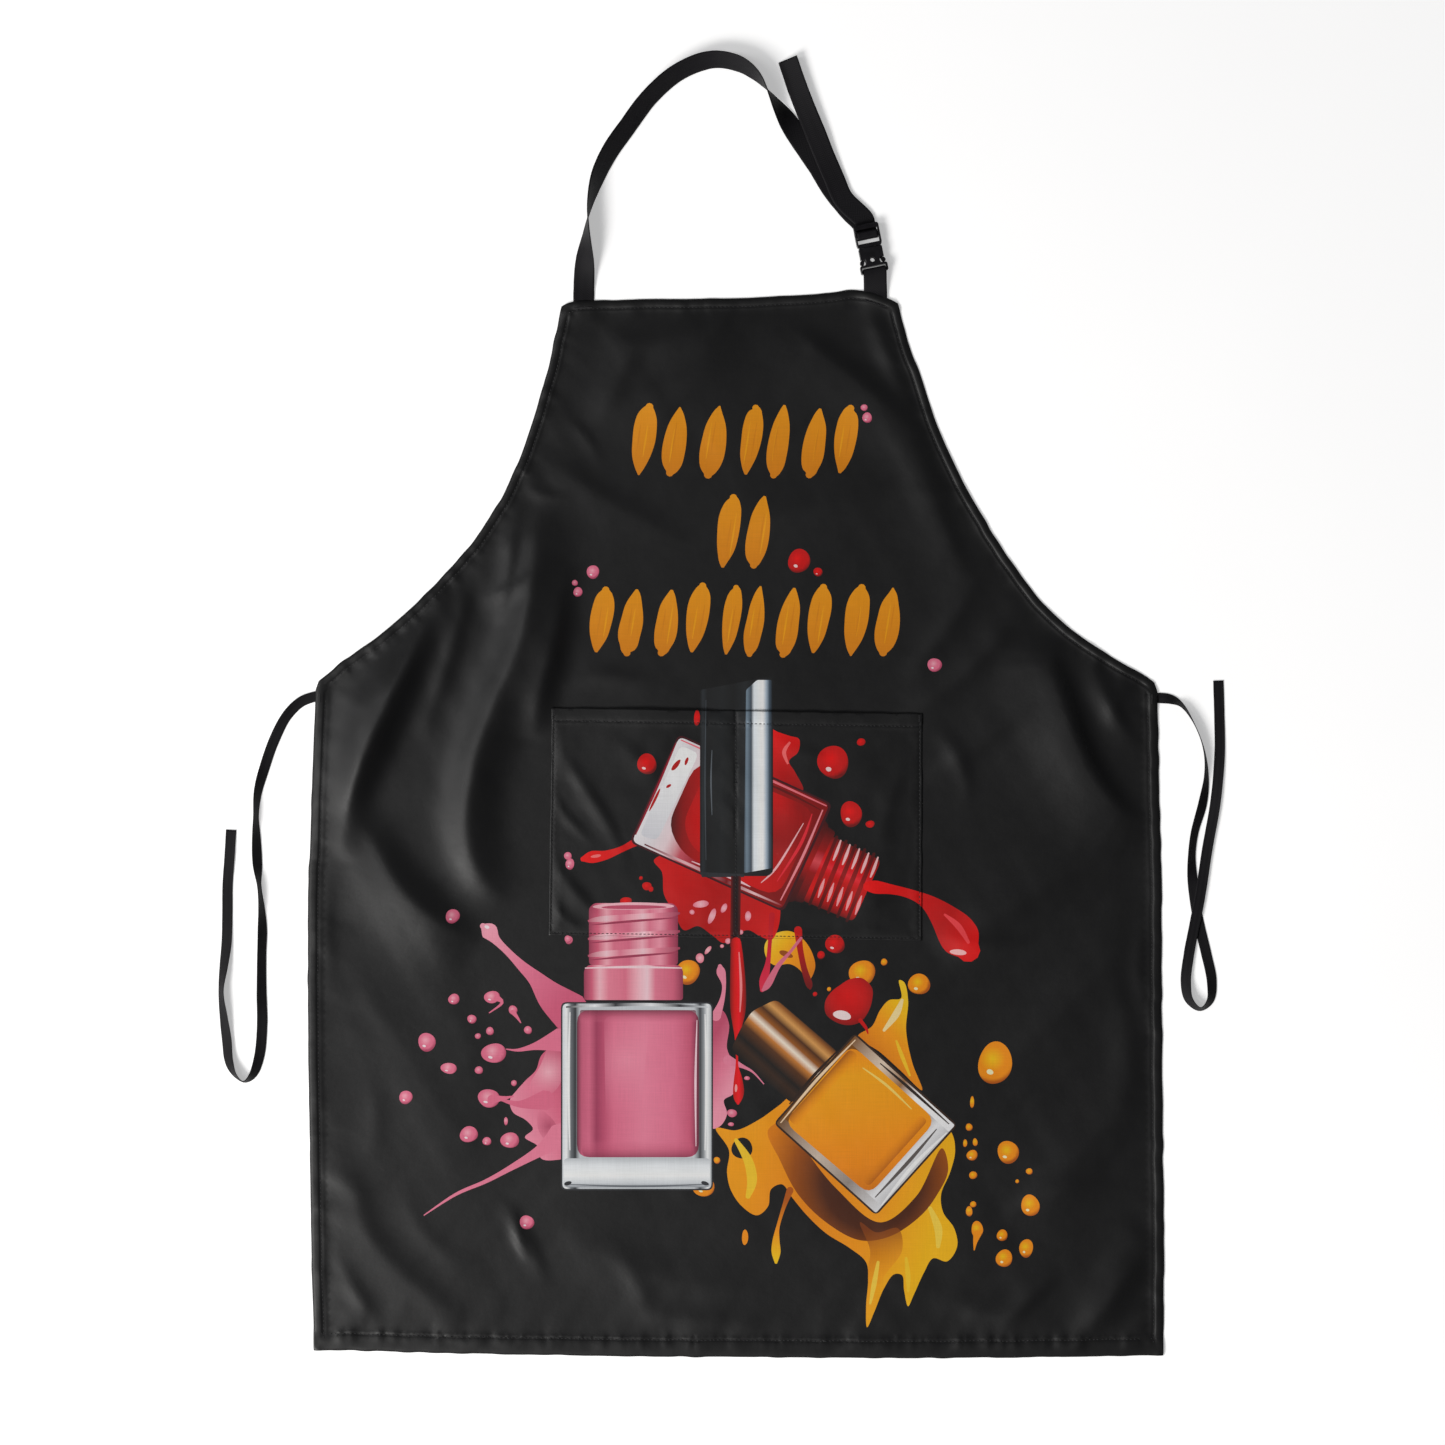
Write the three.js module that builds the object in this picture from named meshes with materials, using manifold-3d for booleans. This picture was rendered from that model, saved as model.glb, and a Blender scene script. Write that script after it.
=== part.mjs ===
// Artist smock apron laid flat, face up.
// Millimetres. +X to the apron's right as seen from its printed face, +Y towards
// the neck, +Z out of the printed face. The surface it lies on is z = 0.
import * as THREE from 'three';
import { mergeVertices } from 'three/addons/utils/BufferGeometryUtils.js';
import Module from 'manifold-3d';

const wasm = await Module();
wasm.setup();

// ---------------------------------------------------------------- dimensions
const GAP = 0.3;             // clearance left between touching pieces
const CLOTH = 1.6;           // stand-in thickness of the cloth of the body
const HEM_T = 2.4;           // folded hem, thickness
const HEM_W = 8;             // hem width on bib, armholes and sides
const HEM_BOTTOM_W = 15;     // hem width along the bottom
const POCKET_WALL = 3;       // sewn edges of the pocket
const POCKET_DIVIDER = 2.4;  // sewn line between the two compartments
const POCKET_TOP = 8.2;      // top of the pocket's front sheet
const POCKET_SHEET = 1.2;    // thickness of the pocket's front sheet
const STRAP_W = 16.8;        // neck webbing
const STRAP_T = 1.2;
const TAB_W = 18.4;          // webbing tab on the bib's right corner
const TIE_W = 8.4;           // waist tape
const TIE_T = 0.8;
const BUCKLE_AT = [106.6, 365.1];              // buckle's own origin
const BUCKLE_TILT = THREE.MathUtils.degToRad(11.5);
const THREAD_W = 0.9;
const THREAD_T = 0.4;
const ORIGIN_SHIFT = [0.4, 0.35];             // puts the origin under the middle of the body

// ------------------------------------------------------------------ outlines
const BIB_TOP = [[-139.8, 318.6], [-131.6, 322.4], [-109.2, 323.6], [-61.2, 324.6], [-13.2, 325.3], [18.8, 326.0], [58.8, 328.2], [100.9, 331.4], [121.2, 324.8], [129.0, 321.0]];
const ARMHOLE_R = [[129.0, 321.0], [137.2, 292.0], [146.8, 264.0], [158.8, 228.0], [170.8, 200.0], [186.8, 168.0], [210.8, 128.0], [225.2, 107.2], [242.8, 84.0], [260.4, 66.4], [278.8, 52.0], [302.8, 36.8], [326.8, 23.4], [334.0, 17.8]];
const SIDE_R = [[336.4, 10.8], [338.0, -52.0], [339.6, -108.0], [340.4, -236.0], [341.6, -380.0], [342.0, -476.0], [341.2, -520.0]];
const BOTTOM = [[341.2, -520.0], [210.8, -522.0], [90.8, -522.4], [-29.2, -521.6], [-173.2, -519.6], [-269.2, -517.6], [-338.0, -516.0]];
const SIDE_L = [[-338.0, -516.0], [-340.4, -412.0], [-342.0, -316.0], [-342.8, -236.0], [-342.8, -148.0], [-341.2, -108.0], [-338.4, -36.0], [-336.4, 12.0]];
const ARMHOLE_L = [[-334.0, 19.0], [-312.4, 36.8], [-290.8, 52.0], [-270.8, 68.0], [-253.2, 84.0], [-232.4, 105.6], [-213.2, 128.0], [-197.2, 151.2], [-185.2, 172.0], [-174.0, 196.0], [-165.2, 220.0], [-157.2, 245.6], [-150.8, 269.6], [-144.4, 300.0], [-139.8, 318.6]];

const POCKET = { x0: -150.0, x1: 148.4, y0: -188.8, y1: -2.4, mid: -0.6 };

// neck webbing: x, y, roll about its own run in degrees, lift above the surface
const STRAP = [
  [-122.2, 323.1, 0, 0.0], [-122.0, 335.0, 3, 0.1], [-121.4, 350.0, 18, 0.2], [-120.2, 370.0, 58, 0.3], [-118.6, 389.6, 88, 0.3],
  [-115.2, 407.2, 112, 0.3], [-109.2, 425.6, 132, 0.3], [-100.2, 443.2, 140, 0.3], [-88.4, 460.0, 143, 0.3],
  [-68.4, 486.4, 140, 0.3], [-45.0, 506.0, 138, 0.3], [-18.8, 515.2, 136, 0.3], [2.0, 511.6, 128, 0.3],
  [14.6, 503.2, 112, 0.3], [22.8, 493.6, 90, 0.3], [33.6, 477.2, 50, 0.3], [44.6, 461.2, 12, 0.1],
  [54.8, 446.6, 0, 0.0], [65.6, 430.6, 0, 0.0], [77.4, 411.4, 0, 0.0], [90.4, 395.6, 0, 0.0], [98.6, 387.4, 0, 0.0],
];
// last stretch, square to the adjuster: given in the buckle's frame
const STRAP_END_V = 8.6;

// loose end, laid over the webbing it comes from: x, y, roll, lift
const TAIL_FREE = [[85.4, 404.6, 0, 1.55], [78.0, 421.0, 0, 1.6], [69.8, 440.0, 3, 1.8], [62.2, 459.0, 6, 2.2], [55.2, 476.0, 12, 1.4], [48.6, 493.2, 18, 0.5], [40.8, 516.0, 22, 0.3]];

const TIE_LEFT = [
  [-337.6, 6.6, 0, 0.2], [-348.4, 2.4, 8, 0.2], [-359.6, -8.8, 20, 0.2], [-370.0, -28.8, 10, 0.2], [-377.2, -49.6, 16, 0.2], [-382.4, -69.6, 45, 0.2],
  [-383.8, -88.6, 66, 0.2], [-383.6, -108.0, 40, 0.2], [-383.0, -125.6, 30, 0.2], [-381.2, -144.0, 74, 0.2], [-379.4, -162.0, 60, 0.2], [-378.9, -180.6, 34, 0.2],
  [-379.4, -200.0, 38, 0.2], [-379.6, -228.8, 28, 0.2], [-379.3, -256.0, 12, 0.2], [-381.6, -281.2, 20, 0.2], [-386.8, -296.0, 48, 0.2],
  [-393.4, -301.0, 78, 0.2], [-400.0, -296.4, 64, 0.2], [-405.4, -285.6, 30, 0.2], [-407.6, -267.2, 16, 0.2], [-409.8, -249.6, 34, 0.2], [-411.8, -228.8, 54, 0.2],
  [-409.8, -208.8, 30, 0.2], [-407.8, -190.6, 8, 0.2], [-407.2, -166.4, 0, 0.2], [-407.0, -144.0, 0, 0.2], [-405.4, -120.8, 4, 0.2], [-404.2, -99.8, 0, 0.2],
];
const TIE_RIGHT = [
  [338.4, 5.6, 0, 0.2], [346.8, 4.6, 24, 0.2], [355.6, 0.0, 62, 0.2], [366.0, -15.8, 82, 0.2], [373.4, -36.0, 78, 0.2], [375.4, -55.8, 58, 0.2],
  [372.6, -78.6, 26, 0.2], [366.0, -102.6, 36, 0.2], [363.8, -122.8, 34, 0.2], [365.4, -146.0, 0, 0.1], [369.4, -172.0, 0, 0.0], [375.6, -198.4, 2, 0.1],
  [380.0, -220.8, 12, 0.2], [378.4, -236.4, 40, 0.2], [370.4, -243.0, 66, 0.2], [361.6, -235.6, 44, 0.3], [359.2, -221.4, 16, 0.6], [361.6, -200.0, 4, 1.2],
  [365.8, -177.6, 0, 1.5], [370.6, -152.8, 0, 1.9], [376.4, -115.2, 6, 0.9], [383.0, -77.6, 12, 0.2], [386.4, -39.2, 4, 0.2], [386.2, -8.6, 0, 0.2], [385.4, 19.6, 0, 0.2],
];

// ------------------------------------------------------------------- helpers
function toManifold(geometry) {
  let g = geometry.clone();
  g.deleteAttribute('normal');
  g.deleteAttribute('uv');
  g = mergeVertices(g, 1e-4);
  return new wasm.Manifold(new wasm.Mesh({
    numProp: 3,
    vertProperties: new Float32Array(g.attributes.position.array),
    triVerts: new Uint32Array(g.index.array),
  }));
}

function toGeometry(manifold) {
  const m = manifold.getMesh();
  const g = new THREE.BufferGeometry();
  g.setAttribute('position', new THREE.BufferAttribute(new Float32Array(m.vertProperties), 3));
  g.setIndex(new THREE.BufferAttribute(new Uint32Array(m.triVerts), 1));
  g.computeVertexNormals();
  return g;
}

function plate(points, z0, z1, bevel = 0) {
  const shape = new THREE.Shape(points.map(([x, y]) => new THREE.Vector2(x, y)));
  const g = new THREE.ExtrudeGeometry(shape, {
    depth: z1 - z0 - 2 * bevel, steps: 1, curveSegments: 6,
    bevelEnabled: bevel > 0, bevelThickness: bevel, bevelSize: bevel, bevelOffset: -bevel, bevelSegments: 2,
  });
  g.translate(0, 0, z0 + bevel);
  return g;
}

function block(x0, x1, y0, y1, z0, z1) {
  const g = new THREE.BoxGeometry(x1 - x0, y1 - y0, z1 - z0);
  g.translate((x0 + x1) / 2, (y0 + y1) / 2, (z0 + z1) / 2);
  return g;
}

function rod(x, y, z, r, length, axis) {
  const g = new THREE.CylinderGeometry(r, r, length, 16);
  if (axis === 'x') g.rotateZ(Math.PI / 2);
  if (axis === 'z') g.rotateX(Math.PI / 2);
  g.translate(x, y, z);
  return g;
}

// A ribbon: four corners at every station, joined along the run. Each station is
// { p, side, up }. The two wide faces are cut along matching diagonals, so that a
// twisted stretch keeps its thickness.
function ribbon(stations, width, thickness) {
  const corners = [[-0.5, -0.5], [0.5, -0.5], [0.5, 0.5], [-0.5, 0.5]];
  const position = [];
  for (const s of stations) {
    for (const [a, b] of corners) {
      const q = s.p.clone().addScaledVector(s.side, a * width).addScaledVector(s.up, b * thickness);
      position.push(q.x, q.y, q.z);
    }
  }
  const index = [];
  const last = 4 * (stations.length - 1);
  index.push(0, 2, 1, 0, 3, 2, last, last + 1, last + 2, last, last + 2, last + 3);
  for (let i = 0; i < last; i += 4) {
    const j = i + 4;
    index.push(i, i + 1, j + 1, i, j + 1, j);               // underside
    index.push(i + 1, i + 2, j + 2, i + 1, j + 2, j + 1);   // one edge
    index.push(i + 3, j + 2, i + 2, i + 3, j + 3, j + 2);   // upper side
    index.push(i + 3, i, j, i + 3, j, j + 3);               // other edge
  }
  const g = new THREE.BufferGeometry();
  g.setAttribute('position', new THREE.BufferAttribute(new Float32Array(position), 3));
  g.setIndex(index);
  const solid = toManifold(g);
  if (solid.volume() > 0) return toGeometry(solid);
  // turned the other way round: reverse every face
  for (let i = 0; i < index.length; i += 3) [index[i + 1], index[i + 2]] = [index[i + 2], index[i + 1]];
  g.setIndex(index);
  return toGeometry(toManifold(g));
}

// Stations along a run that lies on the surface: rows of x, y, roll, lift.
function laidStations(rows, width, thickness, steps, closeEnds = {}) {
  const xy = new THREE.CatmullRomCurve3(rows.map((r) => new THREE.Vector3(r[0], r[1], 0)), false, 'centripetal');
  const extra = new THREE.CatmullRomCurve3(rows.map((r, i) => new THREE.Vector3(i, r[2], r[3])), false, 'catmullrom', 0.5);
  const out = [];
  for (let i = 0; i <= steps; i++) {
    const t = xy.getUtoTmapping(i / steps);
    const p = xy.getPoint(t);
    const d = xy.getTangent(t).normalize();
    const e = extra.getPoint(t);
    const roll = THREE.MathUtils.degToRad(e.y);
    const flat = new THREE.Vector3(d.y, -d.x, 0);
    const side = flat.clone().multiplyScalar(Math.cos(roll)).add(new THREE.Vector3(0, 0, Math.sin(roll)));
    const up = new THREE.Vector3().crossVectors(side, d).normalize();
    p.z = Math.max(0, e.z) + Math.abs(Math.sin(roll)) * width / 2 + Math.abs(Math.cos(roll)) * thickness / 2;
    out.push({ p, side, up });
  }
  if (closeEnds.first) out[0].side = closeEnds.first;
  if (closeEnds.last) out[out.length - 1].side = closeEnds.last;
  return out;
}

// buckle frame: u across, v along towards the adjuster, w up
const cosT = Math.cos(BUCKLE_TILT), sinT = Math.sin(BUCKLE_TILT);
const U = new THREE.Vector3(cosT, sinT, 0);
const V = new THREE.Vector3(-sinT, cosT, 0);
const at = (u, v, w) => new THREE.Vector3(BUCKLE_AT[0], BUCKLE_AT[1], w).addScaledVector(U, u).addScaledVector(V, v);

// ----------------------------------------------------------------- materials
const cloth = (hex, rough) => new THREE.MeshStandardMaterial({ color: hex, roughness: rough, metalness: 0 });
const CLOTH_BLACK = () => cloth(0x262626, 0.62);
const WEB_BLACK = () => cloth(0x15131a, 0.8);
const THREAD_BLACK = () => cloth(0x1b1b1d, 0.7);
const PLASTIC = () => cloth(0x17141b, 0.45);

const apron = new THREE.Group();
const add = (name, geometry, material, parent = apron) => {
  const mesh = new THREE.Mesh(geometry, material);
  mesh.name = name;
  parent.add(mesh);
  return mesh;
};

// --------------------------------------------------------------- front panel
// one cut sheet; its edges are folded over and stand a little thicker
const outline = [...BIB_TOP, ...ARMHOLE_R.slice(1), ...SIDE_R, ...BOTTOM.slice(1), ...SIDE_L.slice(1), ...ARMHOLE_L.slice(0, -1)];

function offsetInward(points, width) {
  // every point moves along the bisector of its two edges
  const out = [];
  const n = points.length;
  for (let i = 0; i < n; i++) {
    const a = new THREE.Vector2(...points[(i + n - 1) % n]), b = new THREE.Vector2(...points[i]), c = new THREE.Vector2(...points[(i + 1) % n]);
    const e1 = b.clone().sub(a).normalize(), e2 = c.clone().sub(b).normalize();
    const n1 = new THREE.Vector2(e1.y, -e1.x), n2 = new THREE.Vector2(e2.y, -e2.x);
    const bis = n1.clone().add(n2).normalize();
    const k = width(b) / Math.max(0.35, bis.dot(n1));
    out.push([b.x + bis.x * k, b.y + bis.y * k]);
  }
  return out;
}
const inner = offsetInward(outline, () => HEM_W);
const panelSolid = toManifold(plate(outline, 0, HEM_T))
  .subtract(toManifold(plate(inner, CLOTH, HEM_T + 1)))
  .add(toManifold(block(-334, 337, -517.0 + 2, -520 + HEM_BOTTOM_W + 2, CLOTH / 2, HEM_T)));
add('front_panel', toGeometry(panelSolid), CLOTH_BLACK());

// -------------------------------------------------------------------- pocket
// one sheet sewn down on three sides and along the middle, open towards +Y
{
  const z0 = CLOTH + GAP, { x0, x1, y0, y1, mid } = POCKET;
  const rim = 1.4;
  const outer = [[x0, y0 + 2 * rim], [x0 + 2 * rim, y0], [x1 - 2 * rim, y0], [x1, y0 + 2 * rim], [x1, y1], [x0, y1]];
  let p = toManifold(plate(outer, z0, POCKET_TOP));
  const under = POCKET_TOP - POCKET_SHEET;
  p = p.subtract(toManifold(block(x0 + POCKET_WALL, mid - POCKET_DIVIDER / 2, y0 + POCKET_WALL, y1 + 1, z0 - 1, under)))
    .subtract(toManifold(block(mid + POCKET_DIVIDER / 2, x1 - POCKET_WALL, y0 + POCKET_WALL, y1 + 1, z0 - 1, under)));
  add('pocket_panel', toGeometry(p), CLOTH_BLACK());
}

// -------------------------------------------------------------- neck webbing
{
  const endRows = [[16.6, 0], [14, 0], [11, 0], [STRAP_END_V, 0]].map(([v]) => {
    const q = at(0, v, 0);
    return [q.x, q.y, 0, 0];
  });
  const rows = [...STRAP, ...endRows];
  const stations = laidStations(rows, STRAP_W, STRAP_T, 74, {
    first: new THREE.Vector3(Math.cos(0.04), Math.sin(0.04), 0),
  });
  // the sewn end stays parallel with the bib's top edge
  add('neck_strap', ribbon(stations, STRAP_W, STRAP_T), WEB_BLACK());
}

// loose end: up through the inner slot, over the tension bar, down through the
// outer slot, out under the end bar and back over the webbing
{
  const zt = STRAP_T / 2 + STRAP_T + GAP;
  const r = 1.5, top = 6.9, vi = 7.6, vo = 13.5;
  const path = [];
  path.push([vi, 0.75]);
  path.push([vi, 2.6], [vi, top - r]);
  for (const a of [30, 60, 90]) path.push([vi + r - r * Math.cos(THREE.MathUtils.degToRad(a)), top - r + r * Math.sin(THREE.MathUtils.degToRad(a))]);
  path.push([vo - r, top]);
  for (const a of [30, 60, 90]) path.push([vo - r + r * Math.sin(THREE.MathUtils.degToRad(a)), top - r + r * Math.cos(THREE.MathUtils.degToRad(a))]);
  path.push([vo, zt + 1.2]);
  for (const a of [30, 60, 90]) path.push([vo + 1.2 - 1.2 * Math.cos(THREE.MathUtils.degToRad(a)), zt + 1.2 - 1.2 * Math.sin(THREE.MathUtils.degToRad(a))]);
  path.push([19.4, zt]);
  const stations = [];
  path.forEach(([v, w], i) => {
    const a = path[Math.max(0, i - 1)], b = path[Math.min(path.length - 1, i + 1)];
    const d = V.clone().multiplyScalar(b[0] - a[0]).add(new THREE.Vector3(0, 0, b[1] - a[1])).normalize();
    stations.push({ p: at(0, v, w), side: U.clone(), up: new THREE.Vector3().crossVectors(U, d).normalize() });
  });
  const start = [at(0, 19.4, 0), at(0, 23, 0)].map((q) => [q.x, q.y, 0, 1.5]);
  const free = laidStations([...start, ...TAIL_FREE], STRAP_W, STRAP_T, 30);
  stations.push(...free.slice(1));
  add('neck_strap_tail', ribbon(stations, STRAP_W, STRAP_T), WEB_BLACK());
}

// --------------------------------------------------------------- buckle tab
// webbing folded round the socket's bar, both layers sewn to the bib
{
  const bar = { v: -18.4, w: 4.1 };
  const rw = 2.3;                       // middle of the webbing round the bar
  const end = [111.2, 328.0 + 0.95];    // middle of the sewn edge
  const slope = new THREE.Vector3(24.1 * 0.8, -6.3, 0).normalize();
  const leg = (w, dir) => {
    const a = at(0, bar.v - 1.2, 0), rows = [];
    for (let i = 0; i <= 5; i++) {
      const t = i / 5;
      const x = a.x + (end[0] - a.x) * t, y = a.y + (end[1] - a.y) * t;
      const z = bar.w + w * rw + (w > 0 ? (3.1 - (bar.w + rw)) : (1.0 - (bar.w - rw))) * (t * t * (3 - 2 * t));
      const side = U.clone().lerp(slope, t * t).normalize();
      side.multiplyScalar(1 / Math.max(0.9, Math.abs(side.x)));
      rows.push({ p: new THREE.Vector3(x, y, z), side, up: new THREE.Vector3(0, 0, 1) });
    }
    return dir > 0 ? rows : rows.reverse();
  };
  const stations = [...leg(-1, -1).slice(0, -1)];
  for (const a of [-90, -60, -30, 0, 30, 60, 90]) {
    const q = THREE.MathUtils.degToRad(a);
    const vv = bar.v + 0.7 + rw * 0.72 * Math.cos(q), ww = bar.w + rw * Math.sin(q);
    const d = V.clone().multiplyScalar(-Math.sin(q) * 0.72).add(new THREE.Vector3(0, 0, Math.cos(q))).normalize();
    stations.push({ p: at(0, vv, ww), side: U.clone(), up: new THREE.Vector3().crossVectors(U, d).normalize().negate() });
  }
  const up = leg(1, 1).slice(1);
  for (const s of up) s.up.negate();
  // the first leg runs towards the bar with its outer face down
  for (let i = 0; i < 5; i++) stations[i].up.set(0, 0, 1);
  stations.push(...up);
  // one consistent outward direction round the loop
  for (let i = 0; i < stations.length; i++) {
    const a = stations[Math.max(0, i - 1)].p, b = stations[Math.min(stations.length - 1, i + 1)].p;
    const d = b.clone().sub(a).normalize();
    stations[i].up = new THREE.Vector3().crossVectors(stations[i].side, d).normalize();
  }
  add('buckle_tab', ribbon(stations, TAB_W, STRAP_T), WEB_BLACK());
}

// -------------------------------------------------------------------- buckle
const buckle = new THREE.Group();
buckle.position.set(BUCKLE_AT[0], BUCKLE_AT[1], 0);
buckle.rotation.z = BUCKLE_TILT;
apron.add(buckle);

const mirror = (pts) => [...pts, ...pts.map(([x, y]) => [-x, y]).reverse()];
const SOCKET_T = 7.6;
{
  // outline: mouth, waist with the two side windows, bar end
  const half = [[8.6, 0.5], [9.5, -0.4], [9.5, -8.5], [6.2, -8.9], [5.6, -11.0], [6.2, -13.1], [10.4, -13.5], [11.1, -14.4], [11.1, -19.2], [10.4, -20.0]];
  let s = toManifold(plate(mirror(half), 0.2, SOCKET_T, 0.5));
  // flared mouth and the pocket for the prongs
  s = s.subtract(toManifold(block(-8.4, 8.4, -13.7, 1.5, 1.5, 6.1)));
  // slot for the tab
  s = s.subtract(toManifold(block(-9.55, 9.55, -17.25, -15.0, -1, 9)));
  // recess so that the tab lies over the bar
  s = s.subtract(toManifold(block(-9.9, 9.9, -21, -17.0, 5.25, 9)));
  s = s.subtract(toManifold(block(-9.9, 9.9, -21, -17.0, -1, 2.95)));
  // sight window through both walls
  s = s.subtract(toManifold(rod(0, -9.8, 4, 1.9, 12, 'z')));
  add('buckle_socket', toGeometry(s), PLASTIC(), buckle);
}
{
  const half = [[8.6, 0.8], [9.6, 1.6], [10.2, 3.4], [10.2, 18.0], [9.0, 19.2]];
  let p = toManifold(plate(mirror(half), 0.2, 7.4, 0.5));
  // inner slot, outer slot, room for the webbing under both bars
  p = p.subtract(toManifold(block(-8.7, 8.7, 3.8, 9.0, -1, 9)));
  p = p.subtract(toManifold(block(-8.7, 8.7, 12.0, 15.4, -1, 9)));
  p = p.subtract(toManifold(block(-8.7, 8.7, 8.0, 13.0, 5.9, 9)));
  p = p.subtract(toManifold(block(-8.7, 8.7, 8.0, 21.0, -1, 3.05)));
  p = p.subtract(toManifold(block(-11, 11, 13.6, 21.0, -1, 3.05)));
  // base is slimmer than the rails
  p = p.subtract(toManifold(block(-11, 11, -1, 2.2, 6.7, 9)));
  // thumb ribs across the end bar
  for (const v of [16.3, 17.3, 18.2]) p = p.add(toManifold(rod(0, v, 7.3, 0.32, 15, 'x')));
  // centre guide
  p = p.add(toManifold(plate(mirror([[1.3, 1.4], [1.3, -6.2], [0.7, -7.4]]), 1.9, 5.7, 0.2)));
  add('buckle_plug', toGeometry(p), PLASTIC(), buckle);
}
for (const [name, k] of [['prong_left', -1], ['prong_right', 1]]) {
  const right = [[4.5, 0.5], [7.3, 0.5], [7.5, -8.5], [7.5, -9.2], [9.3, -9.2], [10.1, -10.0], [10.5, -11.2], [10.1, -12.4], [9.1, -13.0], [7.9, -13.0], [7.3, -12.2], [6.7, -10.6], [6.0, -8.4], [5.0, -4.0]];
  const pts = k > 0 ? right : right.map(([x, y]) => [-x, y]).reverse();
  add(name, plate(pts, 1.8, 5.8, 0.25), PLASTIC(), buckle);
}

// ---------------------------------------------------------------- waist ties
add('tie_left', ribbon(laidStations(TIE_LEFT, TIE_W, TIE_T, 76, { first: new THREE.Vector3(0.04, 1, 0) }), TIE_W, TIE_T), WEB_BLACK());
add('tie_right', ribbon(laidStations(TIE_RIGHT, TIE_W, TIE_T, 76, { first: new THREE.Vector3(0.02, -1, 0) }), TIE_W, TIE_T), WEB_BLACK());

// ------------------------------------------------------------- sewing thread
function threadRun(points, z) {
  const out = points.map((q, i) => {
    const a = points[Math.max(0, i - 1)], b = points[Math.min(points.length - 1, i + 1)];
    const d = new THREE.Vector3(b[0] - a[0], b[1] - a[1], 0).normalize();
    return { p: new THREE.Vector3(q[0], q[1], z + THREAD_T / 2), side: new THREE.Vector3(d.y, -d.x, 0), up: new THREE.Vector3(0, 0, 1) };
  });
  return ribbon(out, THREAD_W, THREAD_T);
}
const inset = (points, w) => {
  const out = [];
  for (let i = 0; i < points.length; i++) {
    const a = points[Math.max(0, i - 1)], b = points[Math.min(points.length - 1, i + 1)];
    const d = new THREE.Vector2(b[0] - a[0], b[1] - a[1]).normalize();
    out.push([points[i][0] + d.y * w, points[i][1] - d.x * w]);
  }
  return out;
};
const trim = (points, a, b) => {
  const curve = new THREE.CatmullRomCurve3(points.map(([x, y]) => new THREE.Vector3(x, y, 0)), false, 'centripetal');
  const length = curve.getLength(), n = points.length + 2, out = [];
  for (let i = 0; i <= n; i++) {
    const p = curve.getPointAt((a + (length - a - b) * (i / n)) / length);
    out.push([p.x, p.y]);
  }
  return out;
};
const HEM_Z = HEM_T + GAP;
add('thread_hem_bib', threadRun(trim(inset(BIB_TOP.slice(1, 8), 6.6), 6, 6), HEM_Z), THREAD_BLACK());
add('thread_hem_armhole_right', threadRun(trim(inset(ARMHOLE_R, 6.6), 14, 12), HEM_Z), THREAD_BLACK());
add('thread_hem_armhole_left', threadRun(trim(inset(ARMHOLE_L, 6.6), 12, 14), HEM_Z), THREAD_BLACK());
add('thread_hem_side_right', threadRun(trim(inset(SIDE_R, 6.6), 14, 14), HEM_Z), THREAD_BLACK());
add('thread_hem_side_left', threadRun(trim(inset(SIDE_L, 6.6), 14, 14), HEM_Z), THREAD_BLACK());
add('thread_hem_bottom', threadRun(trim(inset(BOTTOM, 13.4), 10, 10), HEM_Z), THREAD_BLACK());

{
  const z = POCKET_TOP + GAP, { x0, x1, y0, y1, mid } = POCKET;
  add('thread_pocket_left', threadRun([[x0 + 1.8, y1 - 8], [x0 + 1.8, (y0 + y1) / 2], [x0 + 1.8, y0 + 4]], z), THREAD_BLACK());
  add('thread_pocket_right', threadRun([[x1 - 1.8, y1 - 8], [x1 - 1.8, (y0 + y1) / 2], [x1 - 1.8, y0 + 4]], z), THREAD_BLACK());
  add('thread_pocket_bottom', threadRun([[x0 + 1.2, y0 + 1.8], [0, y0 + 1.8], [x1 - 1.2, y0 + 1.8]], z), THREAD_BLACK());
  add('thread_pocket_centre', threadRun([[mid, y1 - 12], [mid, (y0 + y1) / 2], [mid, y0 + 4]], z), THREAD_BLACK());
  add('thread_pocket_mouth', threadRun([[x0 + 5, y1 - 10], [x0 + 60, y1 - 10], [mid, y1 - 10], [x1 - 60, y1 - 10], [x1 - 5, y1 - 10]], z), THREAD_BLACK());
  add('bartack_pocket_left', plate([[x0 + 0.6, y1 - 6.5], [x0 + 3.6, y1 - 6.5], [x0 + 3.6, y1 - 0.8], [x0 + 0.6, y1 - 0.8]], z, z + 0.5), THREAD_BLACK());
  add('bartack_pocket_right', plate([[x1 - 3.6, y1 - 6.5], [x1 - 0.6, y1 - 6.5], [x1 - 0.6, y1 - 0.8], [x1 - 3.6, y1 - 0.8]], z, z + 0.5), THREAD_BLACK());
}
add('bartack_strap', plate([[-129.6, 309.4], [-114.6, 309.8], [-114.6, 312.8], [-129.6, 312.4]], CLOTH + GAP, CLOTH + GAP + 0.5), THREAD_BLACK());
add('bartack_tab', plate([[102.4, 321.4], [118.0, 316.3], [119.0, 319.4], [103.4, 324.5]], HEM_Z, HEM_Z + 0.5), THREAD_BLACK());
add('bartack_tie_left', plate([[-334.6, 2.6], [-331.6, 2.6], [-331.6, 10.4], [-334.6, 10.4]], HEM_Z, HEM_Z + 0.5), THREAD_BLACK());
add('bartack_tie_right', plate([[331.4, 1.6], [334.4, 1.6], [334.4, 9.4], [331.4, 9.4]], HEM_Z, HEM_Z + 0.5), THREAD_BLACK());

apron.position.set(ORIGIN_SHIFT[0], ORIGIN_SHIFT[1], 0);

export default apron;
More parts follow.
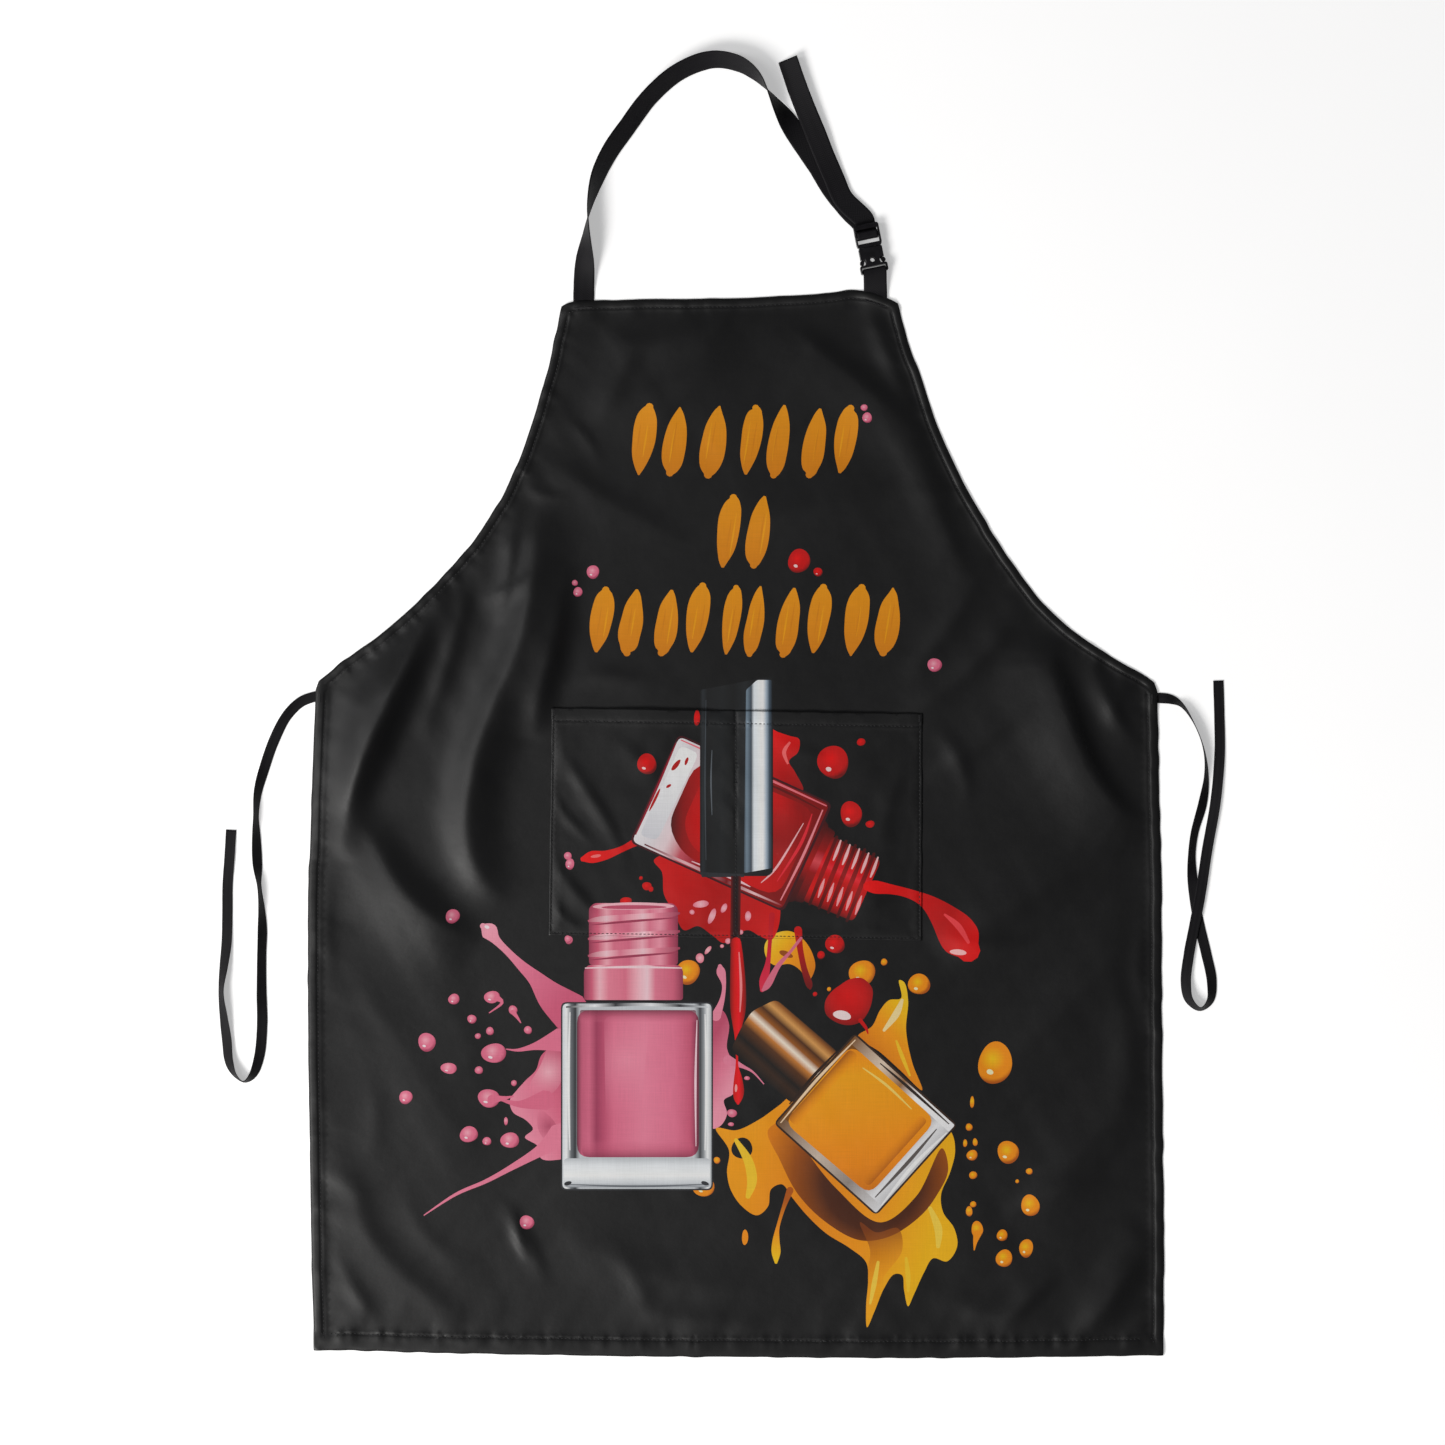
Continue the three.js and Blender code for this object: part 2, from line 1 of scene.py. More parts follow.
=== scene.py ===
import math
import bpy
import numpy as np
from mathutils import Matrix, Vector
from mathutils.geometry import delaunay_2d_cdt


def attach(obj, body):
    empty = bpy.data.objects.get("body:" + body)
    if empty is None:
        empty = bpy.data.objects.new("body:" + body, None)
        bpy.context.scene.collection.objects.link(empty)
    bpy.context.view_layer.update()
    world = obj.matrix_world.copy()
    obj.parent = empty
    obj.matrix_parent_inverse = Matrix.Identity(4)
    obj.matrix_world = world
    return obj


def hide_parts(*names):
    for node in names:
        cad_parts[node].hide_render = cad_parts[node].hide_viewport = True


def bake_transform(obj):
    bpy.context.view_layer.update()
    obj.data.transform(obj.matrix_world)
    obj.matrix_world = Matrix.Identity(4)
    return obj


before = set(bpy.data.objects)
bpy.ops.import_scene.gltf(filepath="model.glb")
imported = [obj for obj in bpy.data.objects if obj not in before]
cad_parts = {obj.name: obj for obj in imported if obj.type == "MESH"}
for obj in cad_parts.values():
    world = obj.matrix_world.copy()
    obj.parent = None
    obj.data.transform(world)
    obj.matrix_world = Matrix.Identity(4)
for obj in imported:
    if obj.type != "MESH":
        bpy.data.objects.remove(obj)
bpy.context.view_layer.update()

# Every number below is in millimetres in the CAD model's frame: +X to the apron's
# right, +Y to the neck, +Z out of the printed face, floor at z = 0.
MM = 0.001
SH = np.array([0.4, 0.35])           # the CAD model's own origin shift

# ------------------------------------------------------------------ camera
scene = bpy.context.scene
cam_data = bpy.data.cameras.new("camera")
cam_data.lens = 85.0
cam_data.sensor_width = 36.0
cam_data.sensor_fit = "HORIZONTAL"
cam_data.clip_end = 20.0
cam = bpy.data.objects.new("camera", cam_data)
scene.collection.objects.link(cam)
cam.location = (-0.0108, -0.01365, 1.156 * 85.0 / 36.0)
cam.rotation_euler = (0.0, 0.0, 0.0)
scene.camera = cam
scene.view_settings.view_transform = "Standard"


# ------------------------------------------------ the print, shape by shape
# kind, points, fill; colours are sRGB, positions along a fill run 0 to 1
ART = [
    ["stroke", [[-69.17, 238.48, 6.33], [-69.74, 236.35, 9.96], [-71.08, 231.0, 15.57], [-72.44, 222.45, 18.26], [-73.73, 211.77, 18.16], [-75.96, 200.01, 14.7], [-77.24, 190.39, 7.74], [-77.76, 185.05, 1.83]], ["lin", [-73.8, 240.35], [-73.8, 183.55], [[0, 230, 156, 46], [0.5, 222, 146, 38], [1, 212, 134, 30]]], 1],
    ["stroke", [[-70.28, 225.32, 0.32], [-72.42, 211.95, 1.36], [-74.56, 198.57, 0.32]], ["flat", [234, 164, 56]], 1],
    ["stroke", [[-76.09, 224.74, 0.32], [-78.12, 212.05, 1.36], [-80.15, 199.36, 0.32]], ["flat", [214, 138, 34]], 1],
    ["stroke", [[-44.87, 237.59, 1.83], [-45.37, 232.44, 7.8], [-46.79, 223.18, 14.76], [-48.61, 211.86, 18.09], [-50.29, 201.57, 18.24], [-51.18, 193.34, 15.66], [-52.13, 188.19, 10.17], [-52.88, 186.13, 6.19]], ["lin", [-48.6, 240.35], [-48.6, 183.55], [[0, 230, 156, 46], [0.5, 222, 146, 38], [1, 212, 134, 30]]], 1],
    ["stroke", [[-48.98, 221.37, 0.32], [-51.14, 207.89, 1.36], [-53.3, 194.4, 0.32]], ["flat", [234, 164, 56]], 1],
    ["stroke", [[-47.19, 226.35, 0.32], [-49.51, 211.84, 1.36], [-51.83, 197.34, 0.32]], ["flat", [214, 138, 34]], 1],
    ["stroke", [[-13.21, 238.56, 1.96], [-14.6, 233.18, 8.3], [-15.94, 223.48, 16.01], [-17.5, 211.64, 19.49], [-19.33, 200.87, 19.92], [-21.03, 192.26, 16.62], [-21.88, 186.87, 11.04], [-22.31, 184.72, 6.81]], ["lin", [-17.6, 240.35], [-17.6, 183.55], [[0, 230, 156, 46], [0.5, 222, 146, 38], [1, 212, 134, 30]]], 1],
    ["stroke", [[-19.49, 225.83, 0.32], [-21.8, 211.39, 1.36], [-24.11, 196.94, 0.32]], ["flat", [234, 164, 56]], 1],
    ["stroke", [[-16.13, 226.87, 0.32], [-18.32, 213.21, 1.36], [-20.51, 199.54, 0.32]], ["flat", [214, 138, 34]], 1],
    ["stroke", [[15.75, 237.82, 5.51], [16.07, 235.7, 9.01], [14.78, 230.38, 13.69], [13.61, 221.86, 16.19], [12.07, 211.22, 15.82], [9.73, 199.52, 12.95], [8.23, 189.94, 6.8], [7.77, 184.62, 1.65]], ["lin", [12.0, 240.35], [12.0, 183.55], [[0, 230, 156, 46], [0.5, 222, 146, 38], [1, 212, 134, 30]]], 1],
    ["stroke", [[11.54, 226.64, 0.32], [8.85, 209.83, 1.36], [6.16, 193.01, 0.32]], ["flat", [234, 164, 56]], 1],
    ["stroke", [[16.74, 226.35, 0.32], [14.11, 209.95, 1.36], [11.49, 193.55, 0.32]], ["flat", [214, 138, 34]], 1],
    ["stroke", [[38.72, 240.18, 1.65], [38.01, 234.58, 6.91], [36.46, 224.52, 13.03], [34.33, 212.22, 15.97], [32.5, 201.03, 16.14], [31.48, 192.08, 13.84], [30.71, 186.49, 9.03], [30.01, 184.25, 5.59]], ["lin", [34.4, 240.35], [34.4, 183.55], [[0, 230, 156, 46], [0.5, 222, 146, 38], [1, 212, 134, 30]]], 1],
    ["stroke", [[33.84, 226.61, 0.32], [31.38, 211.2, 1.36], [28.91, 195.8, 0.32]], ["flat", [234, 164, 56]], 1],
    ["stroke", [[33.64, 223.26, 0.32], [31.39, 209.2, 1.36], [29.14, 195.14, 0.32]], ["flat", [214, 138, 34]], 1],
    ["stroke", [[67.38, 237.31, 1.77], [66.23, 232.03, 7.29], [65.08, 222.54, 14.06], [62.88, 210.93, 17.24], [61.27, 200.39, 17.64], [59.69, 191.95, 14.57], [59.48, 186.67, 9.58], [58.63, 184.56, 6.0]], ["lin", [63.2, 240.35], [63.2, 183.55], [[0, 230, 156, 46], [0.5, 222, 146, 38], [1, 212, 134, 30]]], 1],
    ["stroke", [[65.89, 221.77, 0.32], [63.76, 208.44, 1.36], [61.63, 195.1, 0.32]], ["flat", [234, 164, 56]], 1],
    ["stroke", [[66.19, 221.87, 0.32], [63.98, 208.07, 1.36], [61.77, 194.27, 0.32]], ["flat", [214, 138, 34]], 1],
    ["stroke", [[91.57, 237.36, 5.95], [90.68, 235.3, 9.5], [90.18, 230.14, 14.75], [88.94, 221.9, 17.29], [87.23, 211.59, 17.34], [85.72, 200.24, 13.97], [84.22, 190.96, 7.33], [82.68, 185.81, 1.73]], ["lin", [87.2, 240.35], [87.2, 183.55], [[0, 230, 156, 46], [0.5, 222, 146, 38], [1, 212, 134, 30]]], 1],
    ["stroke", [[86.47, 223.72, 0.32], [84.45, 211.1, 1.36], [82.43, 198.48, 0.32]], ["flat", [234, 164, 56]], 1],
    ["stroke", [[91.67, 224.02, 0.32], [89.7, 211.7, 1.36], [87.73, 199.38, 0.32]], ["flat", [214, 138, 34]], 1],
    ["stroke", [[-2.09, 166.14, 5.96], [-2.0, 163.91, 9.7], [-3.06, 158.32, 14.74], [-4.96, 149.38, 17.72], [-6.35, 138.21, 17.29], [-8.07, 125.91, 14.23], [-10.15, 115.85, 7.54], [-10.71, 110.27, 1.78]], ["lin", [-6.2, 169.15], [-6.2, 109.15], [[0, 230, 156, 46], [0.5, 222, 146, 38], [1, 212, 134, 30]]], 1],
    ["stroke", [[0.42, 153.58, 0.32], [-2.38, 136.08, 1.36], [-5.18, 118.57, 0.32]], ["flat", [234, 164, 56]], 1],
    ["stroke", [[-3.65, 148.83, 0.32], [-5.69, 136.07, 1.36], [-7.73, 123.3, 0.32]], ["flat", [214, 138, 34]], 1],
    ["stroke", [[23.07, 167.34, 1.77], [21.55, 161.84, 7.54], [19.95, 151.94, 14.41], [18.27, 139.84, 17.46], [16.42, 128.84, 17.78], [14.89, 120.03, 14.73], [14.55, 114.53, 9.7], [14.13, 112.33, 5.99]], ["lin", [18.2, 169.15], [18.2, 109.15], [[0, 230, 156, 46], [0.5, 222, 146, 38], [1, 212, 134, 30]]], 1],
    ["stroke", [[24.85, 155.32, 0.32], [22.1, 138.16, 1.36], [19.36, 121.01, 0.32]], ["flat", [234, 164, 56]], 1],
    ["stroke", [[22.71, 153.11, 0.32], [20.16, 137.16, 1.36], [17.61, 121.21, 0.32]], ["flat", [214, 138, 34]], 1],
    ["stroke", [[-104.18, 92.23, 5.96], [-104.24, 90.24, 9.93], [-104.94, 85.27, 14.92], [-106.11, 77.32, 17.59], [-108.11, 67.38, 17.56], [-109.79, 56.45, 14.34], [-111.3, 47.5, 7.38], [-111.89, 42.53, 1.79]], ["lin", [-107.8, 95.55], [-107.8, 39.55], [[0, 230, 156, 46], [0.5, 222, 146, 38], [1, 212, 134, 30]]], 1],
    ["stroke", [[-102.21, 78.67, 0.32], [-104.12, 66.74, 1.36], [-106.03, 54.8, 0.32]], ["flat", [234, 164, 56]], 1],
    ["stroke", [[-107.53, 78.44, 0.32], [-109.87, 63.78, 1.36], [-112.22, 49.12, 0.32]], ["flat", [214, 138, 34]], 1],
    ["stroke", [[-79.28, 92.9, 1.78], [-79.79, 87.83, 7.55], [-81.73, 78.7, 14.1], [-83.13, 67.54, 17.69], [-85.4, 57.4, 17.91], [-86.03, 49.28, 15.01], [-87.36, 44.21, 9.87], [-87.28, 42.18, 5.99]], ["lin", [-83.4, 95.55], [-83.4, 39.55], [[0, 230, 156, 46], [0.5, 222, 146, 38], [1, 212, 134, 30]]], 1],
    ["stroke", [[-80.54, 77.81, 0.32], [-82.3, 66.81, 1.36], [-84.06, 55.82, 0.32]], ["flat", [234, 164, 56]], 1],
    ["stroke", [[-83.06, 78.54, 0.32], [-85.1, 65.83, 1.36], [-87.13, 53.12, 0.32]], ["flat", [214, 138, 34]], 1],
    ["stroke", [[-51.37, 92.45, 1.77], [-52.02, 87.42, 7.4], [-53.79, 78.38, 14.0], [-54.96, 67.32, 17.16], [-56.49, 57.27, 17.7], [-58.23, 49.23, 14.47], [-58.73, 44.2, 9.51], [-59.65, 42.19, 5.99]], ["lin", [-55.2, 95.55], [-55.2, 39.55], [[0, 230, 156, 46], [0.5, 222, 146, 38], [1, 212, 134, 30]]], 1],
    ["stroke", [[-50.05, 81.47, 0.32], [-52.66, 65.18, 1.36], [-55.26, 48.89, 0.32]], ["flat", [234, 164, 56]], 1],
    ["stroke", [[-56.27, 76.77, 0.32], [-57.99, 66.0, 1.36], [-59.72, 55.22, 0.32]], ["flat", [214, 138, 34]], 1],
    ["stroke", [[-26.66, 95.48, 5.9], [-27.01, 93.36, 9.7], [-27.73, 88.06, 14.73], [-29.54, 79.59, 17.66], [-31.12, 69.0, 17.37], [-32.95, 57.36, 13.85], [-34.72, 47.83, 7.24], [-35.47, 42.53, 1.72]], ["lin", [-31.2, 95.55], [-31.2, 39.55], [[0, 230, 156, 46], [0.5, 222, 146, 38], [1, 212, 134, 30]]], 1],
    ["stroke", [[-30.82, 79.03, 0.32], [-32.88, 66.16, 1.36], [-34.94, 53.29, 0.32]], ["flat", [234, 164, 56]], 1],
    ["stroke", [[-25.01, 80.3, 0.32], [-26.97, 68.04, 1.36], [-28.93, 55.77, 0.32]], ["flat", [214, 138, 34]], 1],
    ["stroke", [[0.09, 94.11, 4.73], [0.26, 91.97, 7.73], [-0.92, 86.64, 11.74], [-2.31, 78.11, 14.19], [-3.9, 67.45, 13.76], [-5.57, 55.72, 11.09], [-7.31, 46.12, 5.95], [-8.03, 40.79, 1.39]], ["lin", [-4.0, 95.55], [-4.0, 39.55], [[0, 230, 156, 46], [0.5, 222, 146, 38], [1, 212, 134, 30]]], 1],
    ["stroke", [[-2.48, 77.19, 0.32], [-4.61, 63.91, 1.36], [-6.73, 50.63, 0.32]], ["flat", [234, 164, 56]], 1],
    ["stroke", [[-0.45, 79.67, 0.32], [-2.93, 64.19, 1.36], [-5.41, 48.71, 0.32]], ["flat", [214, 138, 34]], 1],
    ["stroke", [[19.79, 95.31, 1.38], [18.42, 89.88, 5.96], [17.04, 80.11, 11.1], [15.62, 68.18, 13.82], [13.26, 57.32, 13.92], [11.97, 48.64, 11.67], [10.91, 43.21, 7.7], [10.8, 41.04, 4.74]], ["lin", [15.2, 95.55], [15.2, 39.55], [[0, 230, 156, 46], [0.5, 222, 146, 38], [1, 212, 134, 30]]], 1],
    ["stroke", [[14.73, 78.03, 0.32], [12.92, 66.69, 1.36], [11.1, 55.36, 0.32]], ["flat", [234, 164, 56]], 1],
    ["stroke", [[20.13, 82.45, 0.32], [17.62, 66.81, 1.36], [15.12, 51.17, 0.32]], ["flat", [214, 138, 34]], 1],
    ["stroke", [[46.7, 93.97, 1.74], [45.88, 88.66, 7.2], [44.41, 79.12, 13.73], [42.03, 67.45, 16.65], [40.5, 56.85, 17.02], [38.95, 48.37, 14.5], [38.5, 43.06, 9.53], [37.61, 40.94, 5.77]], ["lin", [42.2, 95.55], [42.2, 39.55], [[0, 230, 156, 46], [0.5, 222, 146, 38], [1, 212, 134, 30]]], 1],
    ["stroke", [[42.21, 80.44, 0.32], [39.69, 64.66, 1.36], [37.16, 48.88, 0.32]], ["flat", [234, 164, 56]], 1],
    ["stroke", [[47.18, 82.96, 0.32], [44.62, 66.92, 1.36], [42.05, 50.88, 0.32]], ["flat", [214, 138, 34]], 1],
    ["stroke", [[69.91, 94.33, 5.92], [69.57, 92.23, 9.35], [69.11, 86.99, 14.59], [67.82, 78.61, 17.24], [65.83, 68.13, 16.73], [64.11, 56.6, 13.72], [62.57, 47.17, 7.25], [61.55, 41.93, 1.7]], ["lin", [65.8, 95.55], [65.8, 39.55], [[0, 230, 156, 46], [0.5, 222, 146, 38], [1, 212, 134, 30]]], 1],
    ["stroke", [[70.18, 79.64, 0.32], [67.81, 64.84, 1.36], [65.45, 50.05, 0.32]], ["flat", [234, 164, 56]], 1],
    ["stroke", [[66.9, 82.72, 0.32], [64.71, 69.02, 1.36], [62.52, 55.33, 0.32]], ["flat", [214, 138, 34]], 1],
    ["stroke", [[100.6, 94.03, 6.25], [100.09, 91.89, 10.22], [99.21, 86.52, 15.71], [97.48, 77.94, 18.58], [96.15, 67.21, 18.53], [94.11, 55.41, 15.04], [92.34, 45.75, 7.95], [91.85, 40.39, 1.89]], ["lin", [96.0, 95.55], [96.0, 39.55], [[0, 230, 156, 46], [0.5, 222, 146, 38], [1, 212, 134, 30]]], 1],
    ["stroke", [[99.9, 79.3, 0.32], [97.96, 67.21, 1.36], [96.03, 55.12, 0.32]], ["flat", [234, 164, 56]], 1],
    ["stroke", [[99.13, 77.16, 0.32], [97.23, 65.29, 1.36], [95.33, 53.42, 0.32]], ["flat", [214, 138, 34]], 1],
    ["stroke", [[125.45, 93.28, 1.84], [125.18, 88.19, 7.74], [123.17, 79.03, 14.74], [121.97, 67.83, 18.31], [120.27, 57.65, 18.93], [118.71, 49.51, 15.62], [117.81, 44.42, 10.19], [117.65, 42.38, 6.43]], ["lin", [121.6, 95.55], [121.6, 39.55], [[0, 230, 156, 46], [0.5, 222, 146, 38], [1, 212, 134, 30]]], 1],
    ["stroke", [[123.85, 81.42, 0.32], [121.3, 65.47, 1.36], [118.74, 49.51, 0.32]], ["flat", [234, 164, 56]], 1],
    ["stroke", [[126.73, 80.87, 0.32], [124.43, 66.48, 1.36], [122.13, 52.08, 0.32]], ["flat", [214, 138, 34]], 1],
    ["ell", 102.4, 237.95, 2.72, 2.72, 0, ["rad", [101.99, 238.49], 2.99, [[0, 243, 178, 192], [0.55, 222, 124, 148], [0.85, 222, 124, 148], [1, 170, 78, 102]]], 1],
    ["ell", 104.8, 229.95, 4.0, 4.0, 0, ["rad", [104.2, 230.75], 4.4, [[0, 243, 178, 192], [0.55, 222, 124, 148], [0.85, 222, 124, 148], [1, 170, 78, 102]]], 1],
    ["ell", 103.6, 228.27, 0.8, 0.52, -15, ["flat", [255, 232, 236]], 1],
    ["ell", -114.4, 106.75, 5.2, 5.2, 0, ["rad", [-115.18, 107.79], 5.72, [[0, 243, 178, 192], [0.55, 222, 124, 148], [0.85, 222, 124, 148], [1, 170, 78, 102]]], 1],
    ["ell", -115.96, 104.57, 1.04, 0.68, -15, ["flat", [255, 232, 236]], 1],
    ["ell", -128.8, 97.95, 2.4, 2.4, 0, ["rad", [-129.16, 98.43], 2.64, [[0, 243, 178, 192], [0.55, 222, 124, 148], [0.85, 222, 124, 148], [1, 170, 78, 102]]], 1],
    ["ell", -126.4, 90.75, 3.76, 3.76, 0, ["rad", [-126.96, 91.5], 4.14, [[0, 243, 178, 192], [0.55, 222, 124, 148], [0.85, 222, 124, 148], [1, 170, 78, 102]]], 1],
    ["ell", -127.53, 89.17, 0.75, 0.49, -15, ["flat", [255, 232, 236]], 1],
    ["ell", 158.8, 32.35, 5.6, 5.6, 0, ["rad", [157.96, 33.47], 6.16, [[0, 243, 178, 192], [0.55, 222, 124, 148], [0.85, 222, 124, 148], [1, 170, 78, 102]]], 1],
    ["ell", 157.12, 30.0, 1.12, 0.73, -15, ["flat", [255, 232, 236]], 1],
    ["ell", 50.4, 115.55, 8.8, 9.6, 0, ["rad", [49.08, 117.47], 10.56, [[0, 232, 44, 50], [0.55, 196, 18, 28], [0.85, 196, 18, 28], [1, 112, 6, 14]]], 1],
    ["ell", 47.76, 111.52, 1.76, 1.25, -15, ["flat", [252, 214, 214]], 1],
    ["ell", 65.6, 106.75, 3.6, 3.6, 0, ["rad", [65.06, 107.47], 3.96, [[0, 232, 44, 50], [0.55, 196, 18, 28], [0.85, 196, 18, 28], [1, 112, 6, 14]]], 1],
    ["ell", 64.52, 105.24, 0.72, 0.47, -15, ["flat", [252, 214, 214]], 1],
    ["blob", [[-136.0, -235.65], [-141.6, -251.65], [-144.0, -267.65], [-156.0, -280.45], [-160.0, -291.65], [-168.0, -299.65], [-175.2, -307.65], [-180.8, -315.65], [-178.4, -325.25], [-168.0, -331.65], [-162.4, -338.85], [-168.8, -345.25], [-158.4, -352.45], [-156.0, -362.05], [-146.4, -363.65], [-124.8, -355.65], [-120.8, -283.65], [-124.8, -238.85]], ["lin", [-180.8, -307.65], [-128.8, -283.65], [[0, 232, 150, 170], [0.5, 216, 116, 140], [1, 180, 84, 108]]], 1],
    ["blob", [[-147.2, -270.85], [-156.8, -288.45], [-164.8, -306.05], [-152.0, -312.45], [-140.8, -302.85], [-139.2, -280.45]], ["rad", [-150.4, -293.25], 22.4, [[0, 246, 196, 206, 0.8], [1, 230, 150, 170, 0]]], 0],
    ["blob", [[-156.8, -323.65], [-144.0, -334.85], [-142.4, -349.25], [-152.0, -347.65], [-158.4, -338.05]], ["rad", [-149.6, -336.45], 16.0, [[0, 158, 66, 92, 0.75], [1, 200, 100, 126, 0]]], 0],
    ["stroke", [[-202.4, -176.45, 4.8], [-197.6, -180.45, 13.6], [-192.0, -187.65, 7.2], [-182.4, -197.25, 5.6], [-171.2, -208.45, 8.0], [-160.0, -218.85, 12.8], [-147.2, -233.25, 24.0], [-132.8, -245.25, 32.0]], ["lin", [-199.2, -178.85], [-140.8, -238.85], [[0, 240, 170, 186], [0.5, 226, 132, 156], [1, 206, 104, 130]]], 1],
    ["ell", -199.2, -177.25, 2.08, 1.44, -20, ["flat", [255, 232, 236]], 1],
    ["stroke", [[-140.8, -344.45, 20.8], [-156.0, -355.65, 9.6], [-179.2, -369.25, 4.8], [-200.0, -380.45, 3.2], [-224.0, -390.85, 2.4], [-249.6, -407.65, 0.8]], ["flat", [226, 136, 158]], 1],
    ["stroke", [[-140.8, -267.65, 19.2], [-160.0, -272.45, 6.4], [-174.4, -275.65, 2.4], [-184.0, -274.85, 0.8]], ["flat", [222, 126, 150]], 1],
    ["stroke", [[-152.8, -315.65, 16.0], [-172.8, -318.85, 5.6], [-188.8, -314.85, 1.92]], ["flat", [216, 118, 142]], 1],
    ["blob", [[-18.4, -245.25], [-11.2, -243.65], [-5.6, -254.85], [-7.2, -274.05], [-2.4, -285.25], [3.2, -298.05], [-2.4, -310.85], [-9.6, -315.65], [-7.2, -326.85], [-12.8, -336.45], [-19.2, -338.05], [-24.0, -291.65]], ["lin", [-24.0, -275.65], [3.2, -291.65], [[0, 190, 92, 116], [0.6, 224, 134, 156], [1, 236, 160, 178]]], 1],
    ["stroke", [[-16.0, -248.45, 8.0], [-11.2, -235.65, 4.0], [-9.6, -223.65, 3.2], [-12.0, -213.25, 7.2], [-12.8, -208.45, 3.2]], ["flat", [230, 146, 166]], 1],
    ["stroke", [[-6.4, -283.65, 8.0], [4.8, -288.45, 3.2], [13.6, -293.25, 1.6], [22.4, -302.85, 0.8]], ["flat", [226, 140, 162]], 1],
    ["ell", -226.4, -168.45, 5.6, 5.6, 0, ["rad", [-227.24, -167.33], 6.16, [[0, 243, 178, 192], [0.55, 222, 124, 148], [0.85, 222, 124, 148], [1, 170, 78, 102]]], 1],
    ["ell", -228.08, -170.8, 1.12, 0.73, -15, ["flat", [255, 232, 236]], 1],
    ["ell", -133.6, -187.65, 3.2, 3.2, 0, ["rad", [-134.08, -187.01], 3.52, [[0, 243, 178, 192], [0.55, 222, 124, 148], [0.85, 222, 124, 148], [1, 170, 78, 102]]], 1],
    ["ell", -225.6, -234.85, 4.4, 4.4, 0, ["rad", [-226.26, -233.97], 4.84, [[0, 243, 178, 192], [0.55, 222, 124, 148], [0.85, 222, 124, 148], [1, 170, 78, 102]]], 1],
    ["ell", -226.92, -236.7, 0.88, 0.57, -15, ["flat", [255, 232, 236]], 1],
    ["ell", -195.2, -233.25, 6.4, 4.8, 0, ["rad", [-196.16, -232.29], 7.04, [[0, 243, 178, 192], [0.55, 222, 124, 148], [0.85, 222, 124, 148], [1, 170, 78, 102]]], 1],
    ["ell", -197.12, -235.27, 1.28, 0.62, -15, ["flat", [255, 232, 236]], 1],
    ["ell", -178.4, -243.65, 3.6, 3.6, 0, ["rad", [-178.94, -242.93], 3.96, [[0, 243, 178, 192], [0.55, 222, 124, 148], [0.85, 222, 124, 148], [1, 170, 78, 102]]], 1],
    ["ell", -179.48, -245.16, 0.72, 0.47, -15, ["flat", [255, 232, 236]], 1],
    ["ell", -211.2, -250.85, 3.6, 3.6, 0, ["rad", [-211.74, -250.13], 3.96, [[0, 243, 178, 192], [0.55, 222, 124, 148], [0.85, 222, 124, 148], [1, 170, 78, 102]]], 1],
    ["ell", -212.28, -252.36, 0.72, 0.47, -15, ["flat", [255, 232, 236]], 1],
    ["ell", -166.4, -259.65, 3.2, 3.2, 0, ["rad", [-166.88, -259.01], 3.52, [[0, 243, 178, 192], [0.55, 222, 124, 148], [0.85, 222, 124, 148], [1, 170, 78, 102]]], 1],
    ["ell", -196.8, -260.45, 3.2, 3.2, 0, ["rad", [-197.28, -259.81], 3.52, [[0, 243, 178, 192], [0.55, 222, 124, 148], [0.85, 222, 124, 148], [1, 170, 78, 102]]], 1],
    ["ell", -206.4, -264.45, 2.4, 2.4, 0, ["rad", [-206.76, -263.97], 2.64, [[0, 243, 178, 192], [0.55, 222, 124, 148], [0.85, 222, 124, 148], [1, 170, 78, 102]]], 1],
    ["ell", -247.2, -269.25, 7.2, 7.2, 0, ["rad", [-248.28, -267.81], 7.92, [[0, 243, 178, 192], [0.55, 222, 124, 148], [0.85, 222, 124, 148], [1, 170, 78, 102]]], 1],
    ["ell", -249.36, -272.27, 1.44, 0.94, -15, ["flat", [255, 232, 236]], 1],
    ["ell", -193.6, -278.05, 9.6, 8.0, 0, ["rad", [-195.04, -276.45], 10.56, [[0, 243, 178, 192], [0.55, 222, 124, 148], [0.85, 222, 124, 148], [1, 170, 78, 102]]], 1],
    ["ell", -196.48, -281.41, 1.92, 1.04, -15, ["flat", [255, 232, 236]], 1],
    ["ell", -229.6, -290.05, 6.4, 4.4, 0, ["rad", [-230.56, -289.17], 7.04, [[0, 243, 178, 192], [0.55, 222, 124, 148], [0.85, 222, 124, 148], [1, 170, 78, 102]]], 1],
    ["ell", -231.52, -291.9, 1.28, 0.57, -15, ["flat", [255, 232, 236]], 1],
    ["ell", -205.6, -291.65, 3.2, 3.2, 0, ["rad", [-206.08, -291.01], 3.52, [[0, 243, 178, 192], [0.55, 222, 124, 148], [0.85, 222, 124, 148], [1, 170, 78, 102]]], 1],
    ["ell", -177.6, -302.05, 2.4, 2.4, 0, ["rad", [-177.96, -301.57], 2.64, [[0, 243, 178, 192], [0.55, 222, 124, 148], [0.85, 222, 124, 148], [1, 170, 78, 102]]], 1],
    ["ell", -264.0, -313.25, 5.36, 5.36, 0, ["rad", [-264.8, -312.18], 5.9, [[0, 243, 178, 192], [0.55, 222, 124, 148], [0.85, 222, 124, 148], [1, 170, 78, 102]]], 1],
    ["ell", -265.61, -315.5, 1.07, 0.7, -15, ["flat", [255, 232, 236]], 1],
    ["ell", -197.6, -314.05, 8.8, 7.2, 0, ["rad", [-198.92, -312.61], 9.68, [[0, 243, 178, 192], [0.55, 222, 124, 148], [0.85, 222, 124, 148], [1, 170, 78, 102]]], 1],
